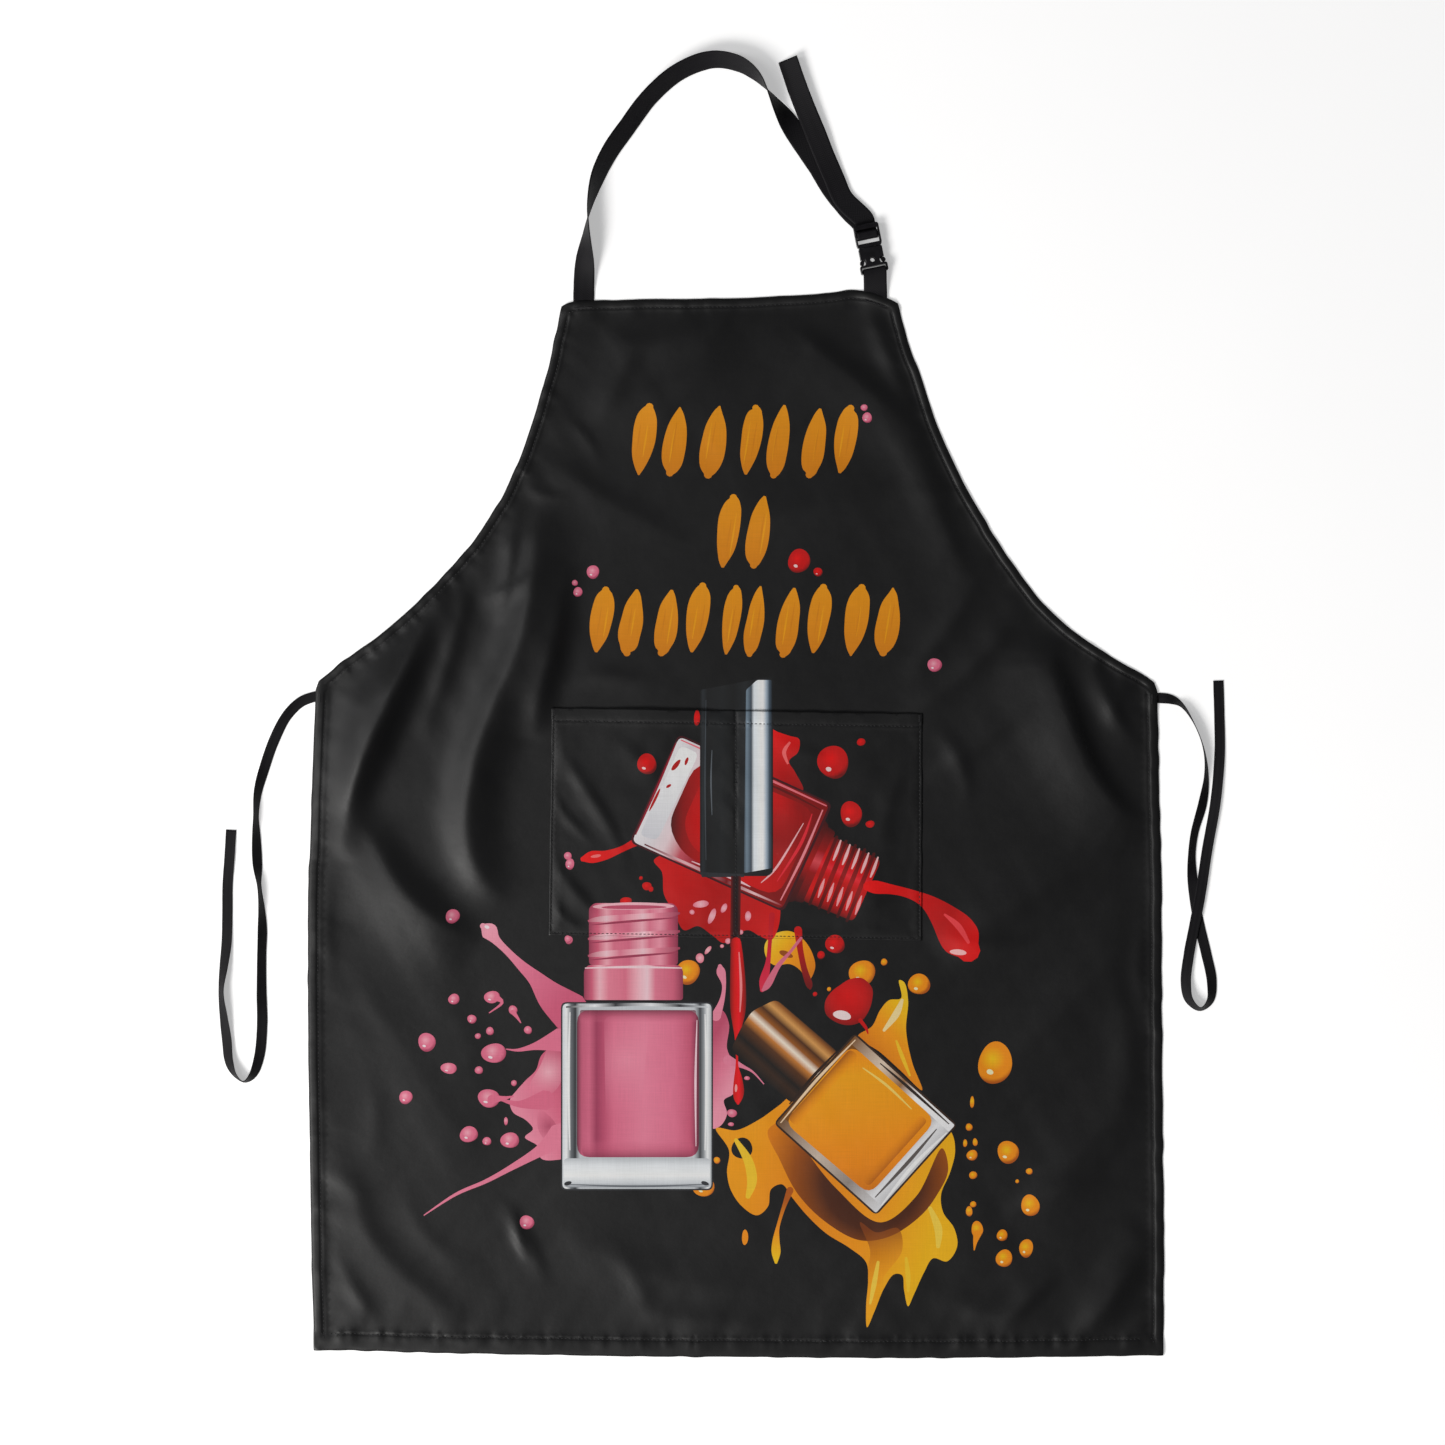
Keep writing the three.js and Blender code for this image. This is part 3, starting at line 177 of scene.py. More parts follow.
    ["ell", -200.24, -317.07, 1.76, 0.94, -15, ["flat", [255, 232, 236]], 1],
    ["ell", -184.0, -332.45, 1.6, 3.2, 0, ["rad", [-184.24, -331.81], 3.52, [[0, 243, 178, 192], [0.55, 222, 124, 148], [0.85, 222, 124, 148], [1, 170, 78, 102]]], 1],
    ["ell", -213.6, -342.85, 7.2, 6.4, 0, ["rad", [-214.68, -341.57], 7.92, [[0, 243, 178, 192], [0.55, 222, 124, 148], [0.85, 222, 124, 148], [1, 170, 78, 102]]], 1],
    ["ell", -215.76, -345.54, 1.44, 0.83, -15, ["flat", [255, 232, 236]], 1],
    ["ell", -199.2, -348.45, 3.44, 3.44, 0, ["rad", [-199.72, -347.76], 3.78, [[0, 243, 178, 192], [0.55, 222, 124, 148], [0.85, 222, 124, 148], [1, 170, 78, 102]]], 1],
    ["ell", -200.23, -349.89, 0.69, 0.45, -15, ["flat", [255, 232, 236]], 1],
    ["ell", -180.8, -347.65, 7.2, 6.4, 0, ["rad", [-181.88, -346.37], 7.92, [[0, 243, 178, 192], [0.55, 222, 124, 148], [0.85, 222, 124, 148], [1, 170, 78, 102]]], 1],
    ["ell", -182.96, -350.34, 1.44, 0.83, -15, ["flat", [255, 232, 236]], 1],
    ["ell", -167.2, -413.25, 5.6, 5.6, 0, ["rad", [-168.04, -412.13], 6.16, [[0, 243, 178, 192], [0.55, 222, 124, 148], [0.85, 222, 124, 148], [1, 170, 78, 102]]], 1],
    ["ell", -168.88, -415.6, 1.12, 0.73, -15, ["flat", [255, 232, 236]], 1],
    ["ell", -3.2, -326.05, 4.0, 3.2, 0, ["rad", [-3.8, -325.41], 4.4, [[0, 243, 178, 192], [0.55, 222, 124, 148], [0.85, 222, 124, 148], [1, 170, 78, 102]]], 1],
    ["ell", -4.0, -334.85, 2.4, 1.6, 0, ["rad", [-4.36, -334.53], 2.64, [[0, 243, 178, 192], [0.55, 222, 124, 148], [0.85, 222, 124, 148], [1, 170, 78, 102]]], 1],
    ["ell", 8.8, -298.05, 2.4, 1.6, 0, ["rad", [8.44, -297.73], 2.64, [[0, 243, 178, 192], [0.55, 222, 124, 148], [0.85, 222, 124, 148], [1, 170, 78, 102]]], 1],
    ["stroke", [[-191.2, -234.05, 4.8], [-187.2, -238.05, 2.4], [-197.6, -246.05, 0.8]], ["flat", [222, 124, 148]], 1],
    ["stroke", [[-178.4, -245.25, 4.0], [-175.2, -249.25, 2.4], [-172.0, -254.05, 0.8]], ["flat", [222, 124, 148]], 1],
    ["stroke", [[-195.2, -314.85, 7.2], [-185.6, -314.05, 3.2], [-177.6, -312.45, 0.8]], ["flat", [222, 124, 148]], 1],
    ["blob", [[-16.0, -338.05], [0.0, -339.65], [17.6, -331.65], [33.6, -320.45], [51.2, -307.65], [131.2, -307.65], [171.2, -339.65], [175.2, -355.65], [171.2, -373.25], [164.0, -390.85], [165.6, -405.25], [174.4, -418.05], [176.8, -432.45], [168.8, -444.45], [157.6, -442.05], [150.4, -453.25], [141.6, -472.45], [137.6, -480.45], [134.4, -467.65], [132.8, -455.65], [126.4, -454.85], [118.4, -466.05], [110.4, -485.25], [104.8, -497.25], [104.0, -480.45], [105.6, -459.65], [104.0, -445.25], [91.2, -434.05], [72.0, -422.05], [56.0, -406.85], [44.8, -393.25], [36.8, -382.85], [28.0, -386.85], [25.6, -400.45], [16.8, -407.65], [4.8, -400.45], [-4.0, -387.65], [-7.2, -373.25], [-5.6, -355.65]], ["lin", [3.2, -379.65], [155.2, -427.65], [[0, 240, 162, 40], [0.35, 226, 140, 26], [0.7, 238, 158, 36], [1, 250, 186, 66]]], 1],
    ["ell", 4.8, -354.05, 8.8, 8.0, 10, ["flat", [12, 12, 13]], 1],
    ["blob", [[25.6, -339.65], [43.2, -331.65], [56.0, -355.65], [81.6, -387.65], [115.2, -413.25], [144.0, -392.45], [164.8, -354.05], [169.6, -371.65], [160.0, -392.45], [147.2, -408.45], [123.2, -424.45], [99.2, -427.65], [72.0, -413.25], [49.6, -390.85], [35.2, -363.65]], ["rad", [108.8, -379.65], 88.0, [[0, 46, 20, 10], [0.45, 74, 34, 12], [0.72, 150, 82, 18], [1, 214, 130, 26]]], 1],
    ["blob", [[99.2, -413.25], [112.0, -421.25], [129.6, -418.05], [132.8, -435.65], [118.4, -456.45], [108.8, -475.65], [105.6, -451.65], [107.2, -435.65]], ["lin", [105.6, -418.05], [118.4, -467.65], [[0, 120, 60, 14, 0.9], [1, 226, 140, 30, 0.0]]], 0],
    ["stroke", [[0.0, -347.65, 3.2], [9.6, -363.65, 7.2], [12.8, -379.65, 8.0], [9.6, -392.45, 4.0]], ["flat", [252, 200, 90]], 1],
    ["stroke", [[113.6, -445.25, 2.4], [110.4, -462.85, 4.0], [107.2, -478.85, 1.6]], ["flat", [252, 206, 104]], 1],
    ["stroke", [[155.2, -402.05, 3.2], [161.6, -418.05, 6.4], [161.6, -432.45, 3.2]], ["flat", [253, 208, 106]], 1],
    ["stroke", [[136.0, -442.05, 2.4], [137.6, -456.45, 4.0], [137.6, -469.25, 1.6]], ["flat", [250, 198, 88]], 1],
    ["stroke", [[43.2, -387.65, 5.6], [38.4, -400.45, 3.2], [33.6, -416.45, 2.72], [32.0, -427.65, 5.6], [32.0, -437.25, 7.2], [32.0, -445.25, 2.4]], ["lin", [38.4, -395.65], [32.0, -442.05], [[0, 172, 92, 12], [0.5, 236, 150, 28], [1, 253, 196, 74]]], 1],
    ["ell", 7.2, -425.25, 2.4, 6.4, 0, ["flat", [236, 150, 28]], 1],
    ["blob", [[97.6, -264.45], [108.8, -256.45], [115.2, -243.65], [122.4, -235.65], [132.0, -234.05], [130.4, -219.65], [134.4, -221.25], [137.6, -235.65], [136.0, -259.65], [140.8, -285.25], [148.8, -307.65], [131.2, -291.65], [115.2, -277.25]], ["lin", [99.2, -267.65], [135.2, -235.65], [[0, 214, 128, 26], [0.5, 240, 160, 40], [1, 253, 200, 86]]], 1],
    ["stroke", [[118.4, -259.65, 2.4], [128.0, -246.85, 5.6], [132.8, -235.65, 2.4]], ["flat", [255, 222, 170]], 1],
    ["stroke", [[128.0, -267.65, 1.6], [132.8, -280.45, 3.2], [139.2, -296.45, 1.6]], ["flat", [252, 196, 88]], 1],
    ["ell", -38.4, -213.25, 9.6, 9.6, 0, ["rad", [-39.84, -211.33], 10.56, [[0, 253, 196, 74], [0.55, 236, 150, 28], [0.85, 236, 150, 28], [1, 172, 92, 12]]], 1],
    ["ell", -41.28, -217.28, 1.92, 1.25, -15, ["flat", [255, 240, 200]], 1],
    ["ell", -25.6, -385.25, 8.8, 7.2, 0, ["rad", [-26.92, -383.81], 9.68, [[0, 253, 196, 74], [0.55, 236, 150, 28], [0.85, 236, 150, 28], [1, 172, 92, 12]]], 1],
    ["ell", -28.24, -388.27, 1.76, 0.94, -15, ["flat", [255, 240, 200]], 1],
    ["ell", -15.2, -363.65, 2.72, 2.72, 0, ["rad", [-15.61, -363.11], 2.99, [[0, 253, 196, 74], [0.55, 236, 150, 28], [0.85, 236, 150, 28], [1, 172, 92, 12]]], 1],
    ["blob", [[23.2, -190.85], [30.4, -182.85], [43.2, -180.45], [54.4, -187.65], [61.6, -199.65], [63.2, -210.05], [57.6, -220.45], [51.2, -211.65], [43.2, -206.85], [30.4, -207.65], [24.0, -201.25]], ["lin", [25.6, -184.45], [60.8, -216.45], [[0, 252, 206, 100], [0.5, 240, 160, 36], [1, 214, 128, 22]]], 1],
    ["ell", 40.0, -198.85, 5.6, 2.4, -20, ["flat", [150, 80, 12]], 1],
    ["ell", 118.4, -205.25, 2.72, 2.72, 0, ["rad", [117.99, -204.71], 2.99, [[0, 253, 196, 74], [0.55, 236, 150, 28], [0.85, 236, 150, 28], [1, 172, 92, 12]]], 1],
    ["ell", 146.4, -222.85, 8.56, 8.56, 0, ["rad", [145.12, -221.14], 9.42, [[0, 253, 196, 74], [0.55, 236, 150, 28], [0.85, 236, 150, 28], [1, 172, 92, 12]]], 1],
    ["ell", 143.83, -226.45, 1.71, 1.11, -15, ["flat", [255, 240, 200]], 1],
    ["ell", 74.4, -226.85, 1.76, 1.76, 0, ["rad", [74.14, -226.5], 1.94, [[0, 253, 196, 74], [0.55, 236, 150, 28], [0.85, 236, 150, 28], [1, 172, 92, 12]]], 1],
    ["ell", 77.6, -233.25, 1.6, 1.28, 0, ["rad", [77.36, -232.99], 1.76, [[0, 253, 196, 74], [0.55, 236, 150, 28], [0.85, 236, 150, 28], [1, 172, 92, 12]]], 1],
    ["ell", 100.8, -214.05, 10.4, 10.4, 0, ["rad", [99.24, -211.97], 11.44, [[0, 253, 196, 74], [0.55, 236, 150, 28], [0.85, 236, 150, 28], [1, 172, 92, 12]]], 1],
    ["ell", 97.68, -218.42, 2.08, 1.35, -15, ["flat", [255, 240, 200]], 1],
    ["ell", 207.2, -286.05, 13.6, 16.8, 0, ["rad", [205.16, -282.69], 18.48, [[0, 253, 196, 74], [0.55, 236, 150, 28], [0.85, 236, 150, 28], [1, 172, 92, 12]]], 1],
    ["ell", 203.12, -293.11, 2.72, 2.18, -15, ["flat", [255, 240, 200]], 1],
    ["ell", 188.8, -317.25, 1.6, 4.8, 0, ["rad", [188.56, -316.29], 5.28, [[0, 253, 196, 74], [0.55, 236, 150, 28], [0.85, 236, 150, 28], [1, 172, 92, 12]]], 1],
    ["ell", 186.4, -337.25, 2.88, 2.88, 0, ["rad", [185.97, -336.67], 3.17, [[0, 253, 196, 74], [0.55, 236, 150, 28], [0.85, 236, 150, 28], [1, 172, 92, 12]]], 1],
    ["ell", 183.2, -350.05, 1.6, 3.2, 0, ["rad", [182.96, -349.41], 3.52, [[0, 253, 196, 74], [0.55, 236, 150, 28], [0.85, 236, 150, 28], [1, 172, 92, 12]]], 1],
    ["ell", 191.2, -349.25, 1.92, 3.2, 0, ["rad", [190.91, -348.61], 3.52, [[0, 253, 196, 74], [0.55, 236, 150, 28], [0.85, 236, 150, 28], [1, 172, 92, 12]]], 1],
    ["ell", 188.8, -359.65, 4.32, 4.32, 0, ["rad", [188.15, -358.79], 4.75, [[0, 253, 196, 74], [0.55, 236, 150, 28], [0.85, 236, 150, 28], [1, 172, 92, 12]]], 1],
    ["ell", 187.5, -361.46, 0.86, 0.56, -15, ["flat", [255, 240, 200]], 1],
    ["ell", 189.6, -375.65, 3.2, 3.2, 0, ["rad", [189.12, -375.01], 3.52, [[0, 253, 196, 74], [0.55, 236, 150, 28], [0.85, 236, 150, 28], [1, 172, 92, 12]]], 1],
    ["ell", 217.6, -357.25, 8.8, 8.8, 0, ["rad", [216.28, -355.49], 9.68, [[0, 253, 196, 74], [0.55, 236, 150, 28], [0.85, 236, 150, 28], [1, 172, 92, 12]]], 1],
    ["ell", 214.96, -360.95, 1.76, 1.14, -15, ["flat", [255, 240, 200]], 1],
    ["ell", 234.4, -372.45, 2.64, 2.64, 0, ["rad", [234.0, -371.92], 2.9, [[0, 253, 196, 74], [0.55, 236, 150, 28], [0.85, 236, 150, 28], [1, 172, 92, 12]]], 1],
    ["ell", 224.8, -380.45, 1.6, 1.6, 0, ["rad", [224.56, -380.13], 1.76, [[0, 253, 196, 74], [0.55, 236, 150, 28], [0.85, 236, 150, 28], [1, 172, 92, 12]]], 1],
    ["ell", 189.6, -398.85, 2.56, 2.56, 0, ["rad", [189.22, -398.34], 2.82, [[0, 253, 196, 74], [0.55, 236, 150, 28], [0.85, 236, 150, 28], [1, 172, 92, 12]]], 1],
    ["ell", 186.4, -404.45, 2.72, 4.0, 0, ["rad", [185.99, -403.65], 4.4, [[0, 253, 196, 74], [0.55, 236, 150, 28], [0.85, 236, 150, 28], [1, 172, 92, 12]]], 1],
    ["ell", 235.2, -399.65, 7.2, 8.8, 0, ["rad", [234.12, -397.89], 9.68, [[0, 253, 196, 74], [0.55, 236, 150, 28], [0.85, 236, 150, 28], [1, 172, 92, 12]]], 1],
    ["ell", 233.04, -403.35, 1.44, 1.14, -15, ["flat", [255, 240, 200]], 1],
    ["ell", 192.8, -418.85, 4.8, 6.4, 0, ["rad", [192.08, -417.57], 7.04, [[0, 253, 196, 74], [0.55, 236, 150, 28], [0.85, 236, 150, 28], [1, 172, 92, 12]]], 1],
    ["ell", 191.36, -421.54, 0.96, 0.83, -15, ["flat", [255, 240, 200]], 1],
    ["ell", 212.8, -423.65, 4.48, 4.48, 0, ["rad", [212.13, -422.75], 4.93, [[0, 253, 196, 74], [0.55, 236, 150, 28], [0.85, 236, 150, 28], [1, 172, 92, 12]]], 1],
    ["ell", 211.46, -425.53, 0.9, 0.58, -15, ["flat", [255, 240, 200]], 1],
    ["ell", 232.0, -434.05, 5.6, 7.2, 0, ["rad", [231.16, -432.61], 7.92, [[0, 253, 196, 74], [0.55, 236, 150, 28], [0.85, 236, 150, 28], [1, 172, 92, 12]]], 1],
    ["ell", 230.32, -437.07, 1.12, 0.94, -15, ["flat", [255, 240, 200]], 1],
    ["ell", 214.4, -442.05, 6.4, 7.2, 0, ["rad", [213.44, -440.61], 7.92, [[0, 253, 196, 74], [0.55, 236, 150, 28], [0.85, 236, 150, 28], [1, 172, 92, 12]]], 1],
    ["ell", 212.48, -445.07, 1.28, 0.94, -15, ["flat", [255, 240, 200]], 1],
    ["stroke", [[192.8, -422.85, 6.4], [191.2, -429.25, 3.2], [190.4, -435.65, 0.8]], ["flat", [236, 150, 28]], 1],
    ["blob", [[-65.6, -123.65], [-59.2, -133.25], [-57.6, -150.85], [-49.6, -165.25], [-41.6, -179.65], [-30.4, -176.45], [-19.2, -183.65], [-9.6, -190.05], [0.8, -182.85], [9.6, -179.65], [19.2, -184.45], [28.0, -187.65], [33.6, -178.05], [35.2, -159.65], [28.8, -139.65], [-28.8, -115.65]], ["lin", [-60.8, -131.65], [31.2, -183.65], [[0, 204, 24, 32], [0.5, 176, 14, 24], [1, 206, 30, 38]]], 1],
    ["blob", [[25.6, -18.05], [33.6, -21.25], [43.2, -24.45], [50.4, -26.85], [49.6, -37.25], [42.4, -44.45], [47.2, -53.25], [53.6, -67.65], [43.2, -67.65], [25.6, -58.05], [22.4, -35.65]], ["lin", [27.2, -19.65], [51.2, -67.65], [[0, 232, 44, 50], [0.5, 196, 18, 28], [1, 150, 10, 18]]], 1],
    ["stroke", [[43.2, -29.25, 1.6], [38.4, -37.25, 3.2], [41.6, -46.85, 1.6]], ["flat", [246, 120, 120]], 1],
    ["stroke", [[-122.4, -122.85, 4.0], [-115.2, -121.25, 9.6], [-104.0, -119.65, 7.2], [-91.2, -114.85, 4.8], [-80.0, -109.25, 6.4], [-68.8, -106.05, 9.6]], ["lin", [-122.4, -121.25], [-76.8, -109.25], [[0, 232, 44, 50], [1, 196, 18, 28]]], 1],
    ["ell", -112.0, -120.45, 4.0, 1.28, 8, ["flat", [246, 130, 130]], 1],
    ["ell", -71.2, -46.85, 8.0, 8.0, 0, ["rad", [-72.4, -45.25], 8.8, [[0, 232, 44, 50], [0.55, 196, 18, 28], [0.85, 196, 18, 28], [1, 112, 6, 14]]], 1],
    ["ell", -73.6, -50.21, 1.6, 1.04, -15, ["flat", [252, 214, 214]], 1],
    ["ell", 77.6, -45.25, 12.0, 13.6, 0, ["rad", [75.8, -42.53], 14.96, [[0, 232, 44, 50], [0.55, 196, 18, 28], [0.85, 196, 18, 28], [1, 112, 6, 14]]], 1],
    ["ell", 74.0, -50.96, 2.4, 1.77, -15, ["flat", [252, 214, 214]], 1],
    ["ell", 100.0, -29.25, 3.6, 2.88, 0, ["rad", [99.46, -28.67], 3.96, [[0, 232, 44, 50], [0.55, 196, 18, 28], [0.85, 196, 18, 28], [1, 112, 6, 14]]], 1],
    ["ell", 92.0, -86.85, 8.8, 10.0, 0, ["rad", [90.68, -84.85], 11.0, [[0, 232, 44, 50], [0.55, 196, 18, 28], [0.85, 196, 18, 28], [1, 112, 6, 14]]], 1],
    ["ell", 89.36, -91.05, 1.76, 1.3, -15, ["flat", [252, 214, 214]], 1],
    ["ell", 107.2, -94.85, 3.6, 2.88, 0, ["rad", [106.66, -94.27], 3.96, [[0, 232, 44, 50], [0.55, 196, 18, 28], [0.85, 196, 18, 28], [1, 112, 6, 14]]], 1],
    ["ell", 79.2, -190.85, 8.0, 7.2, 0, ["rad", [78.0, -189.41], 8.8, [[0, 232, 44, 50], [0.55, 196, 18, 28], [0.85, 196, 18, 28], [1, 112, 6, 14]]], 1],
    ["ell", 76.8, -193.87, 1.6, 0.94, -15, ["flat", [252, 214, 214]], 1],
    ["ell", 68.0, -199.65, 3.2, 3.2, 0, ["rad", [67.52, -199.01], 3.52, [[0, 232, 44, 50], [0.55, 196, 18, 28], [0.85, 196, 18, 28], [1, 112, 6, 14]]], 1],
    ["ell", -31.2, -10.05, 2.4, 6.4, 0, ["rad", [-31.56, -8.77], 7.04, [[0, 232, 44, 50], [0.55, 196, 18, 28], [0.85, 196, 18, 28], [1, 112, 6, 14]]], 1],
    ["ell", -71.2, -144.45, 4.0, 3.2, 0, ["rad", [-71.8, -143.81], 4.4, [[0, 232, 44, 50], [0.55, 196, 18, 28], [0.85, 196, 18, 28], [1, 112, 6, 14]]], 1],
    ["ell", -76.0, -138.05, 1.6, 1.6, 0, ["rad", [-76.24, -137.73], 1.76, [[0, 232, 44, 50], [0.55, 196, 18, 28], [0.85, 196, 18, 28], [1, 112, 6, 14]]], 1],
    ["ell", -68.0, -146.85, 1.92, 2.4, 0, ["rad", [-68.29, -146.37], 2.64, [[0, 232, 44, 50], [0.55, 196, 18, 28], [0.85, 196, 18, 28], [1, 112, 6, 14]]], 1],
    ["ell", -88.0, -156.45, 4.8, 3.2, 0, ["rad", [-88.72, -155.81], 5.28, [[0, 232, 44, 50], [0.55, 196, 18, 28], [0.85, 196, 18, 28], [1, 112, 6, 14]]], 1],
    ["ell", -134.4, -120.45, 3.2, 3.2, 0, ["rad", [-134.88, -119.81], 3.52, [[0, 243, 178, 192], [0.55, 222, 124, 148], [0.85, 222, 124, 148], [1, 170, 78, 102]]], 1],
    ["ell", -132.8, -126.85, 3.6, 4.4, 0, ["rad", [-133.34, -125.97], 4.84, [[0, 243, 178, 192], [0.55, 222, 124, 148], [0.85, 222, 124, 148], [1, 170, 78, 102]]], 1],
    ["ell", -133.88, -128.7, 0.72, 0.57, -15, ["flat", [255, 232, 236]], 1],
    ["ell", -134.4, -186.85, 2.88, 2.88, 0, ["rad", [-134.83, -186.27], 3.17, [[0, 243, 178, 192], [0.55, 222, 124, 148], [0.85, 222, 124, 148], [1, 170, 78, 102]]], 1],
    ["ell", -28.0, -158.85, 6.4, 2.72, 10, ["rad", [-28.0, -158.85], 6.4, [[0, 250, 196, 204], [1, 224, 128, 146]]], 1],
    ["ell", -19.2, -168.45, 2.4, 6.4, -20, ["rad", [-19.2, -168.45], 6.4, [[0, 250, 196, 204], [1, 224, 128, 146]]], 1],
    ["ell", -0.8, -172.45, 3.2, 3.2, 0, ["rad", [-0.8, -172.45], 3.2, [[0, 250, 196, 204], [1, 224, 128, 146]]], 1],
    ["ell", -9.6, -162.05, 2.08, 4.0, -30, ["rad", [-9.6, -162.05], 4.0, [[0, 250, 196, 204], [1, 224, 128, 146]]], 1],
    ["ell", -35.2, -165.25, 2.08, 2.08, 0, ["rad", [-35.2, -165.25], 2.08, [[0, 250, 196, 204], [1, 224, 128, 146]]], 1],
    ["ell", 9.6, -168.45, 2.4, 4.0, -10, ["rad", [9.6, -168.45], 4.0, [[0, 250, 196, 204], [1, 224, 128, 146]]], 1],
    ["ell", 4.0, -181.25, 1.92, 1.92, 0, ["rad", [4.0, -181.25], 1.92, [[0, 250, 196, 204], [1, 224, 128, 146]]], 1],
    ["ell", -6.4, -188.45, 2.4, 2.4, 0, ["rad", [-6.4, -188.45], 2.4, [[0, 250, 196, 204], [1, 224, 128, 146]]], 1],
    ["ell", -28.8, -202.05, 3.2, 4.0, 0, ["rad", [-28.8, -202.05], 4.0, [[0, 250, 196, 204], [1, 224, 128, 146]]], 1],
    ["ell", -22.4, -195.65, 1.6, 4.0, -40, ["rad", [-22.4, -195.65], 4.0, [[0, 250, 196, 204], [1, 224, 128, 146]]], 1],
    ["ell", -11.2, -192.45, 1.6, 1.6, 0, ["rad", [-11.2, -192.45], 1.6, [[0, 250, 196, 204], [1, 224, 128, 146]]], 1],
    ["stroke", [[28.8, -167.65, 4.8], [27.2, -187.65, 3.2], [25.6, -205.25, 4.0], [22.4, -219.65, 7.2], [20.8, -227.65, 3.2]], ["lin", [27.2, -179.65], [22.4, -227.65], [[0, 190, 40, 54], [1, 214, 70, 90]]], 1],
    ["stroke", [[49.6, -179.65, 6.4], [51.2, -194.05, 4.8], [54.4, -210.05, 4.8], [58.4, -222.85, 5.6], [59.2, -226.05, 2.4]], ["lin", [51.2, -179.65], [56.0, -223.65], [[0, 196, 18, 28], [1, 112, 6, 14]]], 1],
    ["stroke", [[52.0, -186.05, 2.4], [43.2, -197.25, 2.4], [33.6, -208.45, 4.0], [25.6, -222.85, 5.6], [21.6, -227.65, 2.4]], ["flat", [214, 120, 140]], 1],
    ["poly", [[72.34, -96.18], [79.69, -101.27], [53.92, -158.1], [45.24, -155.92]], 2.4, ["lin", [73.8, -96.84], [47.03, -155.85], [[0, 60, 6, 12], [0.3, 150, 16, 26], [0.45, 214, 90, 96], [0.6, 150, 14, 24], [1, 50, 4, 10]]], 1],
    ["poly", [[68.83, -88.43], [74.13, -96.11], [46.7, -156.58], [37.1, -158.37]], 1.6, ["lin", [71.74, -89.75], [40.01, -159.7], [[0, 40, 4, 8], [0.3, 120, 10, 18], [0.5, 176, 30, 40], [0.7, 90, 6, 12], [1, 36, 4, 8]]], 1],
    ["poly", [[77.31, -104.58], [114.54, -123.22], [114.67, -126.8], [95.17, -169.78], [92.39, -172.04], [53.85, -156.31]], 2.4, ["lin", [93.34, -111.85], [69.88, -163.58], [[0, 96, 8, 16], [0.25, 196, 20, 30], [0.42, 226, 70, 76], [0.55, 190, 16, 26], [0.8, 214, 40, 48], [1, 88, 6, 14]]], 1],
    ["stroke", [[80.56, -105.17, 2.4], [70.08, -131.17, 3.68], [58.95, -158.62, 2.4]], ["lin", [80.56, -105.17], [56.76, -157.63], [[0, 70, 6, 12], [0.3, 120, 8, 16], [0.5, 150, 14, 22], [0.8, 110, 8, 16], [1, 60, 4, 10]]], 1],
    ["stroke", [[83.87, -107.56, 1.12], [80.63, -116.63, 2.4], [77.62, -124.05, 1.12]], ["flat", [250, 196, 198]], 1],
    ["stroke", [[70.72, -138.48, 0.8], [68.14, -146.1, 2.72], [65.56, -153.72, 0.8]], ["flat", [250, 170, 174]], 1],
    ["stroke", [[87.99, -108.55, 2.4], [77.51, -134.54, 3.68], [66.38, -161.99, 2.4]], ["lin", [87.99, -108.55], [64.19, -161.0], [[0, 70, 6, 12], [0.3, 120, 8, 16], [0.5, 150, 14, 22], [0.8, 110, 8, 16], [1, 60, 4, 10]]], 1],
    ["stroke", [[91.3, -110.93, 1.12], [88.06, -120.0, 2.4], [85.05, -127.42, 1.12]], ["flat", [250, 196, 198]], 1],
    ["stroke", [[78.15, -141.86, 0.8], [75.57, -149.47, 2.72], [73.0, -157.09, 0.8]], ["flat", [250, 170, 174]], 1],
    ["stroke", [[95.42, -111.92, 2.4], [84.95, -137.91, 3.68], [73.81, -165.36, 2.4]], ["lin", [95.42, -111.92], [71.62, -164.37], [[0, 70, 6, 12], [0.3, 120, 8, 16], [0.5, 150, 14, 22], [0.8, 110, 8, 16], [1, 60, 4, 10]]], 1],
    ["stroke", [[98.73, -114.3, 1.12], [95.49, -123.37, 2.4], [92.48, -130.79, 1.12]], ["flat", [250, 196, 198]], 1],
    ["stroke", [[85.58, -145.23, 0.8], [83.0, -152.84, 2.72], [80.43, -160.46, 0.8]], ["flat", [250, 170, 174]], 1],
    ["stroke", [[102.85, -115.29, 2.4], [92.38, -141.28, 3.68], [81.24, -168.73, 2.4]], ["lin", [102.85, -115.29], [79.06, -167.74], [[0, 70, 6, 12], [0.3, 120, 8, 16], [0.5, 150, 14, 22], [0.8, 110, 8, 16], [1, 60, 4, 10]]], 1],
    ["stroke", [[106.16, -117.67, 1.12], [102.93, -126.74, 2.4], [99.91, -134.16, 1.12]], ["flat", [250, 196, 198]], 1],
    ["stroke", [[93.01, -148.6, 0.8], [90.43, -156.21, 2.72], [87.86, -163.83, 0.8]], ["flat", [250, 170, 174]], 1],
    ["stroke", [[110.28, -118.66, 2.4], [99.81, -144.65, 3.68], [88.67, -172.1, 2.4]], ["lin", [110.28, -118.66], [86.49, -171.11], [[0, 70, 6, 12], [0.3, 120, 8, 16], [0.5, 150, 14, 22], [0.8, 110, 8, 16], [1, 60, 4, 10]]], 1],
    ["stroke", [[113.59, -121.04, 1.12], [110.36, -130.11, 2.4], [107.34, -137.53, 1.12]], ["flat", [250, 196, 198]], 1],
